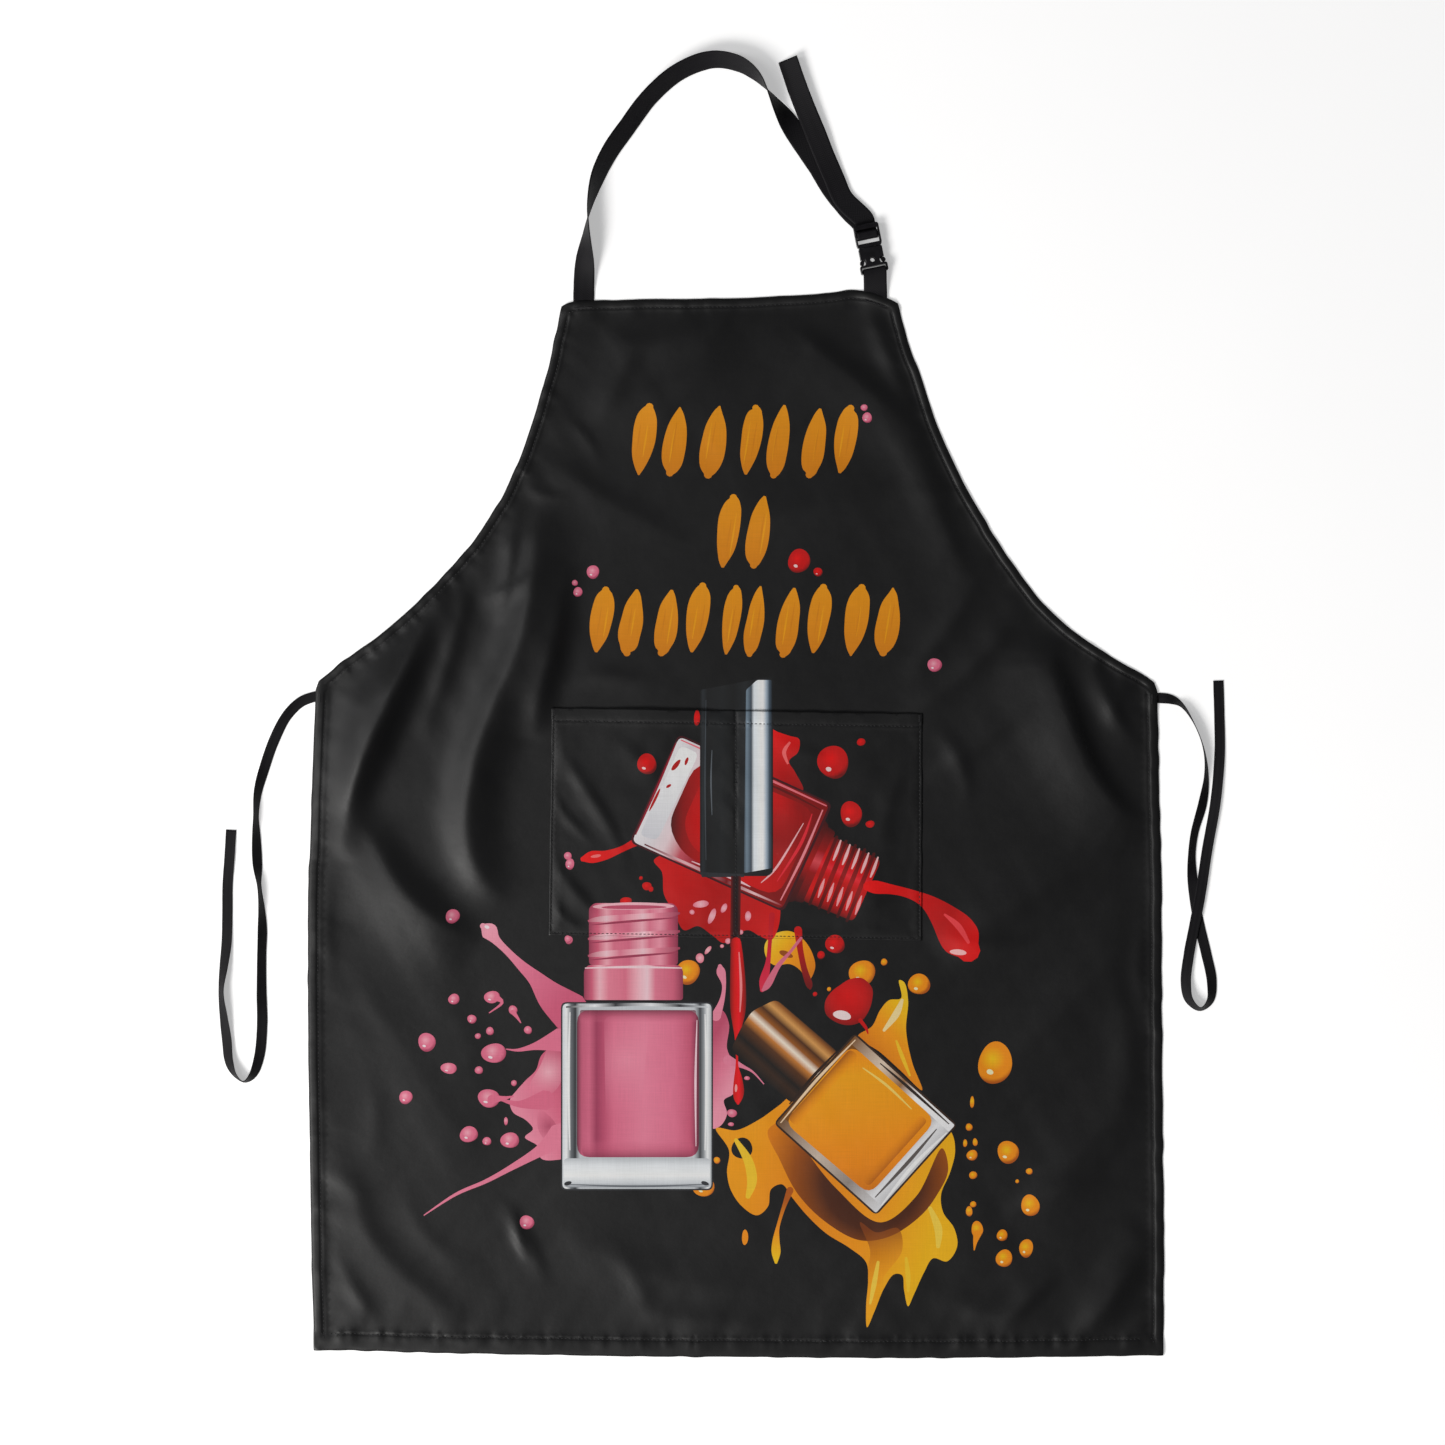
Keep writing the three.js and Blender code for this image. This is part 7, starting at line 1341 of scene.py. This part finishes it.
# ---------------------------------------------------------------- the stitches
def stitches(name, curve, zfun, node, pitch=3.3, length=2.5, width=0.62, seed=1, turn=0.0, start=0.0):
    """Single lock-stitches, each a small twisted length of thread dipping into the cloth at both ends."""
    curve = np.asarray(curve, float)
    L = arc_length(curve)
    s = np.arange(start + pitch * 0.5, L[-1] - pitch * 0.4, pitch)
    rs = np.random.RandomState(seed)
    s = s + rs.uniform(-0.12, 0.12, len(s)) * pitch
    p = np.column_stack([np.interp(s, L, curve[:, 0]), np.interp(s, L, curve[:, 1])])
    q = np.column_stack([np.interp(s + 0.8, L, curve[:, 0]), np.interp(s + 0.8, L, curve[:, 1])])
    d = q - p
    bad = np.linalg.norm(d, axis=1) < 1e-6
    d[bad] = [1.0, 0.0]
    ang = np.arctan2(d[:, 1], d[:, 0]) + np.radians(turn + rs.uniform(-4, 4, len(s)))
    d = np.column_stack([np.cos(ang), np.sin(ang)])
    nrm = np.column_stack([-d[:, 1], d[:, 0]])
    ts = np.array([0.0, 0.12, 0.38, 0.62, 0.88, 1.0])
    rad = np.array([0.28, 0.72, 1.0, 1.0, 0.72, 0.28]) * width / 2
    lift = np.array([-0.30, 0.02, 0.16, 0.16, 0.02, -0.30])
    k = 6
    aa = np.arange(k) / k * 2 * math.pi
    verts, lay = [], []
    for j, t in enumerate(ts):
        c = p + d * (t - 0.5) * length
        zc = zfun(c) + lift[j]
        for a in aa:
            verts.append(np.column_stack([c + nrm * rad[j] * math.cos(a), zc + rad[j] * 0.8 * math.sin(a)]))
            lay.append(np.column_stack([np.full(len(p), t * length), np.full(len(p), a * width / 2), s * 0]))
    n = len(p)
    V = np.stack(verts, 1).reshape(-1, 3)             # n stitches x (rings * k)
    W = np.stack(lay, 1).reshape(-1, 3)
    faces = []
    for j in range(len(ts) - 1):
        for i in range(k):
            a, b = j * k + i, j * k + (i + 1) % k
            faces.append((a, b, b + k, a + k))
    faces = np.array(faces)
    nv = len(ts) * k
    quads = (faces[None] + (np.arange(n) * nv)[:, None, None]).reshape(-1, 4)
    caps = []
    for i in range(n):
        caps.append(tuple(range(i * nv + k - 1, i * nv - 1, -1)))
        caps.append(tuple(range(i * nv + nv - k, i * nv + nv)))
    ob = new_object(name, V, [tuple(f) for f in quads.tolist()] + caps, M_THREAD)
    at = ob.data.attributes.new("lay", "FLOAT_VECTOR", "POINT")
    at.data.foreach_set("vector", W.ravel().astype(np.float32))
    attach(ob, "apron")
    if node:
        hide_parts(*([node] if isinstance(node, str) else node))
    return ob


def offset_inside(curve, g, a, b):
    d = np.gradient(curve, axis=0)
    d /= np.linalg.norm(d, axis=1)[:, None]
    p = curve + np.column_stack([d[:, 1], -d[:, 0]]) * g
    L = arc_length(p)
    s = np.arange(a, L[-1] - b, 2.0)
    return np.column_stack([np.interp(s, L, p[:, 0]), np.interp(s, L, p[:, 1])])


soft_curves = [smooth_open(c[::6].tolist() + [c[-1].tolist()], 2.0) for c in edge_curves]
for i, (name, pts, w, g, pk) in enumerate(EDGES):
    ends = {"bib": (3, 3), "armhole_right": (5, 6), "side_right": (3, 9), "bottom": (4, 4), "side_left": (9, 3), "armhole_left": (6, 5)}[name]
    stitches("stitches_" + name, offset_inside(soft_curves[i], g, *ends), body_height, "thread_hem_" + name, seed=40 + i)


def seg(a, b, step=3.0):
    n = max(2, int(np.linalg.norm(np.asarray(b) - a) / step))
    return np.asarray(a) + (np.asarray(b) - a) * (np.arange(n + 1) / n)[:, None]


ex, ey = np.array([1.0, 0.0]), np.array([0.0, 1.0])
stitches("stitches_pocket_left", seg(PK[0] + 1.9 * ex - 6 * ey, PK[3] + 1.9 * ex + 2.4 * ey), pocket_height, "thread_pocket_left", seed=51)
stitches("stitches_pocket_right", seg(PK[1] - 1.9 * ex - 6 * ey, PK[2] - 1.9 * ex + 2.4 * ey), pocket_height, "thread_pocket_right", seed=52)
stitches("stitches_pocket_bottom", seg(PK[3] + 2.2 * ex + 1.9 * ey, PK[2] - 2.2 * ex + 1.9 * ey), pocket_height, "thread_pocket_bottom", seed=53)
stitches("stitches_pocket_centre", seg(PK_MID_TOP - 1.5 * ey, PK_MID_BOT + 2.2 * ey), pocket_height, "thread_pocket_centre", seed=54)
stitches("stitches_pocket_mouth", seg(PK[0] + 3 * ex - 10 * ey, PK[1] - 3 * ex - 10 * ey), pocket_height, "thread_pocket_mouth", seed=55)
# bartacks: close zigzags, stitch by stitch across the run
for name, a, b, zf, node in (
        ("bartack_stitches_pocket_left", PK[0] + 1.9 * ex - 0.9 * ey, PK[0] + 1.9 * ex - 6.6 * ey, pocket_height, "bartack_pocket_left"),
        ("bartack_stitches_pocket_right", PK[1] - 1.9 * ex - 0.9 * ey, PK[1] - 1.9 * ex - 6.6 * ey, pocket_height, "bartack_pocket_right"),
        ("bartack_stitches_strap", np.array([-129.4, 317.4]), np.array([-114.6, 318.0]), body_height, "bartack_strap"),
        ("bartack_stitches_tab", np.array([103.4, 324.0]), np.array([119.2, 319.0]), body_height, "bartack_tab"),
        ("bartack_stitches_tie_left", np.array([-332.6, 2.0]), np.array([-332.4, 9.8]), body_height, "bartack_tie_left"),
        ("bartack_stitches_tie_right", np.array([332.6, 1.2]), np.array([332.8, 9.0]), body_height, "bartack_tie_right")):
    stitches(name, seg(a, b, 0.5), zf, node, pitch=0.62, length=2.2, width=0.5, seed=len(name), turn=72)


# ------------------------------------------------------ webbing, tab and ties
def ribbon(name, P, S, width, thick, mat, node, body, seed=1, bead=0.12):
    """Woven tape: rounded selvedges a little fuller than the middle, along stations P with side directions S."""
    P, S = np.asarray(P, float), np.asarray(S, float)
    D = np.gradient(P, axis=0)
    D /= np.maximum(np.linalg.norm(D, axis=1), 1e-9)[:, None]
    S = S - D * (S * D).sum(1)[:, None]
    S /= np.linalg.norm(S, axis=1)[:, None]
    U = np.cross(S, D)
    U /= np.maximum(np.linalg.norm(U, axis=1), 1e-9)[:, None]
    L = arc_length(P)
    a = np.array([-0.5, -0.485, -0.45, -0.38, -0.25, -0.1, 0.1, 0.25, 0.38, 0.45, 0.485, 0.5])
    t = np.array([0.18, 0.62, 1.0, 0.90, 0.82, 0.80, 0.80, 0.82, 0.90, 1.0, 0.62, 0.18]) / 2
    sec = [(x, y) for x, y in zip(a, t)] + [(x, -y) for x, y in zip(a[::-1], t[::-1])]
    ne = Noise(seed)
    wv = 1 + 0.012 * ne(L / 9.0, 1.5) + 0.010 * ne(L / 3.1, 4.5)
    cup = 0.10 * thick * ne(L / 22.0, 8.5)
    V, W = [], []
    for (x, y) in sec:
        off = x * width * wv
        up = y * thick + cup * (1 - (2 * x) ** 2) * 0.0
        V.append(P + S * off[:, None] + U * (np.full(len(P), up))[:, None])
        W.append(np.column_stack([L, np.full(len(P), x * width), np.full(len(P), y * thick)]))
    k, n = len(sec), len(P)
    V = np.stack(V, 1).reshape(-1, 3)
    W = np.stack(W, 1).reshape(-1, 3)
    V[:, 2] = np.maximum(V[:, 2], 0.05)
    faces = []
    for i in range(n - 1):
        for j in range(k):
            p, q = i * k + j, i * k + (j + 1) % k
            faces.append((p, p + k, q + k, q))
    faces.append(tuple(range(k)))
    faces.append(tuple(range(n * k - 1, (n - 1) * k - 1, -1)))
    ob = new_object(name, V, faces, mat)
    vol = 0.0
    me = ob.data
    me.calc_loop_triangles()
    co = V
    tri = np.array([tuple(t_.vertices) for t_ in me.loop_triangles])
    vol = float(np.einsum("ij,ij->i", co[tri[:, 0]], np.cross(co[tri[:, 1]], co[tri[:, 2]])).sum())
    if vol < 0:
        me.flip_normals()
    at = me.attributes.new("lay", "FLOAT_VECTOR", "POINT")
    at.data.foreach_set("vector", W.ravel().astype(np.float32))
    if body:
        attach(ob, body)
    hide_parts(*([node] if isinstance(node, str) else node))
    return ob, L[-1]


def _cr(P, t, kind):
    n = len(P)
    x = t * (n - 1)
    i = min(int(math.floor(x)), n - 2)
    w = x - i
    if kind == "xy":
        return catmull(P, i, w)
    p0 = P[i - 1] if i > 0 else 2 * P[0] - P[1]
    p3 = P[i + 2] if i + 2 < n else 2 * P[-1] - P[-2]
    p1, p2 = P[i], P[i + 1]
    m1, m2 = 0.5 * (p2 - p0), 0.5 * (p3 - p1)
    return p1 + m1 * w + (-3 * p1 + 3 * p2 - 2 * m1 - m2) * w * w + (2 * p1 - 2 * p2 + m1 + m2) * w ** 3


def laid(rows, width, thick, steps):
    """Stations of a tape laid on the floor: rows of x, y, roll in degrees, lift."""
    rows = np.asarray(rows, float)
    n = len(rows)
    ts = np.linspace(0, 1, 40 * (n - 1) + 1)
    xy = np.array([_cr(rows[:, :2], t, "xy") for t in ts])
    L = arc_length(xy)
    tt = np.interp(np.linspace(0, L[-1], steps + 1), L, ts)
    ext = rows[:, 2:4]
    P, S = [], []
    for t in tt:
        p, e = _cr(rows[:, :2], t, "xy"), _cr(ext, t, "e")
        a, b = _cr(rows[:, :2], max(0, t - 1e-4), "xy"), _cr(rows[:, :2], min(1, t + 1e-4), "xy")
        d = (b - a) / np.linalg.norm(b - a)
        r = math.radians(e[0])
        S.append([d[1] * math.cos(r), -d[0] * math.cos(r), math.sin(r)])
        P.append([p[0] + SH[0], p[1] + SH[1], max(0, e[1]) + abs(math.sin(r)) * width / 2 + abs(math.cos(r)) * thick / 2])
    return np.array(P), np.array(S)


STRAP_W, TIE_W, TAB_W = 16.8, 8.4, 18.4
tilt = math.radians(11.5)
BU = np.array([math.cos(tilt), math.sin(tilt), 0.0])
BV = np.array([-math.sin(tilt), math.cos(tilt), 0.0])


def at_buckle(u, v, w):
    return np.array([106.6 + SH[0], 365.1 + SH[1], w]) + BU * u + BV * v


def bxy(v):
    q = at_buckle(0, v, 0)
    return [q[0] - SH[0], q[1] - SH[1]]


STRAP = [
    [-122.2, 317.4, 0, 0.42], [-122.2, 323.1, 0, 0.30], [-122.0, 335.0, 3, 0.1], [-121.4, 350.0, 18, 0.2], [-120.2, 370.0, 58, 0.3], [-118.6, 389.6, 88, 0.3],
    [-115.2, 407.2, 112, 0.3], [-109.2, 425.6, 132, 0.3], [-100.2, 443.2, 140, 0.3], [-88.4, 460.0, 143, 0.3],
    [-68.4, 486.4, 140, 0.3], [-45.0, 506.0, 138, 0.3], [-18.8, 515.2, 136, 0.3], [2.0, 511.6, 128, 0.3],
    [14.6, 503.2, 112, 0.3], [22.8, 493.6, 90, 0.3], [33.6, 477.2, 50, 0.3], [44.6, 461.2, 12, 0.1],
    [54.8, 446.6, 0, 0.0], [65.6, 430.6, 0, 0.0], [77.4, 411.4, 0, 0.0], [90.4, 395.6, 0, 0.0], [98.6, 387.4, 0, 0.0],
    [*bxy(16.6), 0, 0.0], [*bxy(14.0), 0, 0.0], [*bxy(11.0), 0, 0.0], [*bxy(9.4), 0, 0.0],
]
P, S = laid(STRAP, STRAP_W, 1.1, 420)
strap, strap_len = ribbon("neck_webbing", P, S, STRAP_W, 1.1, M_WEB, "neck_strap", None, seed=61)
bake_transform(strap)

# loose end: up through the inner slot, over the tension bar, down the outer slot,
# out under the end bar and back over the webbing it came from
zt, vi, vo, top = 2.1, 7.6, 13.5, 6.9
prof = [(9.05, 0.62), (8.6, 0.64), (8.1, 0.86), (7.75, 1.35), (vi, 2.1), (vi, 3.2), (vi, 4.4), (vi, 5.4)]
prof += [(vi + 1.5 - 1.5 * math.cos(math.radians(a)), 5.4 + 1.5 * math.sin(math.radians(a))) for a in (15, 30, 45, 60, 75, 90)]
prof += [(10.0, top), (11.0, top), (12.0, top)]
prof += [(vo - 1.5 + 1.5 * math.sin(math.radians(a)), 5.4 + 1.5 * math.cos(math.radians(a))) for a in (15, 30, 45, 60, 75, 90)]
prof += [(vo, 4.4), (vo, 3.3)]
prof += [(vo + 1.2 - 1.2 * math.cos(math.radians(a)), zt + 1.2 - 1.2 * math.sin(math.radians(a))) for a in (18, 36, 54, 72, 90)]
prof += [(16.0, zt), (17.4, zt), (19.4, zt)]
Pw = np.array([at_buckle(0, v, w) for v, w in prof])
Sw = np.tile(BU, (len(Pw), 1))
TAIL_FREE = [[*bxy(19.4), 0, 1.55], [*bxy(23.0), 0, 1.5], [85.4, 404.6, 0, 1.55], [78.0, 421.0, 0, 1.6], [69.8, 440.0, 3, 1.8], [62.2, 459.0, 6, 2.2], [55.2, 476.0, 12, 1.4], [48.6, 493.2, 18, 0.5], [40.8, 516.0, 22, 0.3]]
Pf, Sf = laid(TAIL_FREE, STRAP_W, 1.1, 110)
P = np.vstack([Pw, Pf[1:]])
S = np.vstack([Sw, Sf[1:]])
tail, tail_len = ribbon("neck_webbing_end", P, S, STRAP_W * 0.985, 1.05, M_WEB, "neck_strap_tail", "buckle_plug_half", seed=62)

# tab: folded round the socket's bar, both layers caught in the bib's hem
bar_v, bar_w, rw = -18.4, 4.1, 2.2
end_xy = np.array([111.2, 328.95]) + SH
slope = np.array([24.1 * 0.8, -6.3, 0.0])
slope /= np.linalg.norm(slope)
a0 = at_buckle(0, bar_v - 1.2, 0)
inward = np.array([end_xy[0] - a0[0], end_xy[1] - a0[1]])
inward /= np.linalg.norm(inward)


def leg(w, z_end):
    rows, sides = [], []
    for i in range(15):
        t = i / 12.0
        k = min(t, 1.0)
        xy = a0[:2] + (end_xy - a0[:2]) * k + inward * 6.0 * max(0.0, t - 1.0) / (2 / 12.0)
        zz = bar_w + w * rw + (z_end - (bar_w + w * rw)) * (k * k * (3 - 2 * k))
        side = BU * (1 - k * k) + slope * (k * k)
        rows.append([xy[0], xy[1], zz])
        sides.append(side / np.linalg.norm(side))
    return np.array(rows), np.array(sides)


lo_p, lo_s = leg(-1, 0.86)
up_p, up_s = leg(1, 1.86)
arc = [(bar_v + 0.7 + rw * 0.72 * math.cos(math.radians(a)), bar_w + rw * math.sin(math.radians(a))) for a in range(-84, 85, 12)]
Pa = np.array([at_buckle(0, v, w) for v, w in arc])
P = np.vstack([lo_p[::-1], Pa, up_p])
S = np.vstack([lo_s[::-1], np.tile(BU, (len(Pa), 1)), up_s])
tab, tab_len = ribbon("tab_webbing", P, S, TAB_W, 0.92, M_WEB, "buckle_tab", "apron", seed=63)

TIE_LEFT = [
    [-333.4, 7.2, 0, 0.44], [-337.6, 6.6, 0, 0.32], [-348.4, 2.4, 8, 0.2], [-359.6, -8.8, 20, 0.2], [-370.0, -28.8, 10, 0.2], [-377.2, -49.6, 16, 0.2], [-382.4, -69.6, 45, 0.2],
    [-383.8, -88.6, 66, 0.2], [-383.6, -108.0, 40, 0.2], [-383.0, -125.6, 30, 0.2], [-381.2, -144.0, 74, 0.2], [-379.4, -162.0, 60, 0.2], [-378.9, -180.6, 34, 0.2],
    [-379.4, -200.0, 38, 0.2], [-379.6, -228.8, 28, 0.2], [-379.3, -256.0, 12, 0.2], [-381.6, -281.2, 20, 0.2], [-386.8, -296.0, 48, 0.2],
    [-393.4, -301.0, 78, 0.2], [-400.0, -296.4, 64, 0.2], [-405.4, -285.6, 30, 0.2], [-407.6, -267.2, 16, 0.2], [-409.8, -249.6, 34, 0.2], [-411.8, -228.8, 54, 0.2],
    [-409.8, -208.8, 30, 0.2], [-407.8, -190.6, 8, 0.2], [-407.2, -166.4, 0, 0.2], [-407.0, -144.0, 0, 0.2], [-405.4, -120.8, 4, 0.2], [-404.2, -99.8, 0, 0.2],
]
TIE_RIGHT = [
    [334.2, 5.6, 0, 0.44], [338.4, 5.6, 0, 0.32], [346.8, 4.6, 24, 0.2], [355.6, 0.0, 62, 0.2], [366.0, -15.8, 82, 0.2], [373.4, -36.0, 78, 0.2], [375.4, -55.8, 58, 0.2],
    [372.6, -78.6, 26, 0.2], [366.0, -102.6, 36, 0.2], [363.8, -122.8, 34, 0.2], [365.4, -146.0, 0, 0.1], [369.4, -172.0, 0, 0.0], [375.6, -198.4, 2, 0.1],
    [380.0, -220.8, 12, 0.2], [378.4, -236.4, 40, 0.2], [370.4, -243.0, 66, 0.2], [361.6, -235.6, 44, 0.3], [359.2, -221.4, 16, 0.6], [361.6, -200.0, 4, 1.2],
    [365.8, -177.6, 0, 1.5], [370.6, -152.8, 0, 1.9], [376.4, -115.2, 6, 0.9], [383.0, -77.6, 12, 0.2], [386.4, -39.2, 4, 0.2], [386.2, -8.6, 0, 0.2], [385.4, 19.6, 0, 0.2],
]
for name, rows, node, seed in (("waist_tie_left", TIE_LEFT, "tie_left", 71), ("waist_tie_right", TIE_RIGHT, "tie_right", 72)):
    P, S = laid(rows, TIE_W, 0.7, 330)
    tie, tie_len = ribbon(name, P, S, TIE_W, 0.7, M_TAPE, node, "apron", seed=seed)
    print(name, "length", round(tie_len, 1))
print("strap", round(strap_len, 1), "tail", round(tail_len, 1), "tab", round(tab_len, 1))

# ---------------------------------------------------- moulded pieces stay CAD
for node in ("buckle_socket", "buckle_plug", "prong_left", "prong_right"):
    ob = bpy.data.objects[node]
    for s in ob.material_slots:
        s.material = M_PLASTIC
    if not ob.material_slots:
        ob.data.materials.append(M_PLASTIC)
    b = ob.modifiers.new("edge", "BEVEL")
    b.width = 0.00022
    b.segments = 2
    b.limit_method = "ANGLE"
    b.angle_limit = math.radians(40)
    b.harden_normals = False


# ------------------------------------------------------------- floor and light
m_floor, nt, bsdf = material("mat_floor")
co = nt.nodes.new("ShaderNodeTexCoord").outputs["Object"]
fl = noise_tex(nt, co, 3.0, 3.0, 0.5)
nt.links.new(ramp(nt, fl, [(0.2, (0.93, 0.93, 0.935, 1)), (0.8, (0.96, 0.96, 0.965, 1))]), bsdf.inputs["Base Color"])
bsdf.inputs["Roughness"].default_value = 0.9
bsdf.inputs["Specular IOR Level"].default_value = 0.1
bsdf.inputs["Emission Color"].default_value = (1.0, 1.0, 1.0, 1.0)
bsdf.inputs["Emission Strength"].default_value = FLOOR_LIFT
me = bpy.data.meshes.new("floor")
F = 7.0
me.from_pydata([(-F, -F, 0), (F, -F, 0), (F, F, 0), (-F, F, 0)], [], [(0, 1, 2, 3)])
floor = bpy.data.objects.new("floor", me)
scene.collection.objects.link(floor)
me.materials.append(m_floor)

# a low pale wall right round the floor, so a view from the side ends in white as well
m_wall, nt, bsdf = material("mat_wall")
co = nt.nodes.new("ShaderNodeTexCoord").outputs["Object"]
wl = noise_tex(nt, co, 0.6, 2.0, 0.5)
nt.links.new(ramp(nt, wl, [(0.2, (0.92, 0.92, 0.925, 1)), (0.8, (0.96, 0.96, 0.965, 1))]), bsdf.inputs["Base Color"])
bsdf.inputs["Roughness"].default_value = 0.9
bsdf.inputs["Emission Color"].default_value = (1.0, 1.0, 1.0, 1.0)
bsdf.inputs["Emission Strength"].default_value = 0.5
me = bpy.data.meshes.new("backdrop")
NW = 48
ring = [(6.8 * math.cos(2 * math.pi * i / NW), 6.8 * math.sin(2 * math.pi * i / NW)) for i in range(NW)]
me.from_pydata([(x, y, 0.0) for x, y in ring] + [(x, y, 3.2) for x, y in ring], [],
               [((i + 1) % NW, i, NW + i, NW + (i + 1) % NW) for i in range(NW)])
backdrop = bpy.data.objects.new("backdrop", me)
scene.collection.objects.link(backdrop)
me.materials.append(m_wall)
backdrop.visible_diffuse = False     # it is there to be seen behind the apron, not to light it
backdrop.visible_glossy = False

world = bpy.data.worlds.new("studio")
scene.world = world
world.use_nodes = True
bg = next(n for n in world.node_tree.nodes if n.type == "BACKGROUND")
bg.inputs[0].default_value = (0.93, 0.95, 1.0, 1.0)
bg.inputs[1].default_value = WORLD


def area_light(name, loc, target, size, power, colour=(1, 1, 1)):
    ld = bpy.data.lights.new(name, "AREA")
    ld.shape = "RECTANGLE"
    ld.size, ld.size_y = size
    ld.energy = power
    ld.color = colour
    ob = bpy.data.objects.new(name, ld)
    scene.collection.objects.link(ob)
    ob.location = loc
    ob.rotation_euler = (Vector(target) - Vector(loc)).to_track_quat("-Z", "Y").to_euler()
    return ob


area_light("key", (-2.9, -2.5, 3.2), (0.0, 0.0, 0.0), (2.2, 1.7), KEY, (1.0, 0.985, 0.965))
area_light("strip", (-2.5, 0.3, 2.6), (0.0, 0.1, 0.0), (0.6, 2.4), STRIP)
area_light("fill", (1.5, 1.9, 2.6), (0.0, 0.0, 0.0), (1.8, 1.8), FILL, (0.95, 0.97, 1.0))

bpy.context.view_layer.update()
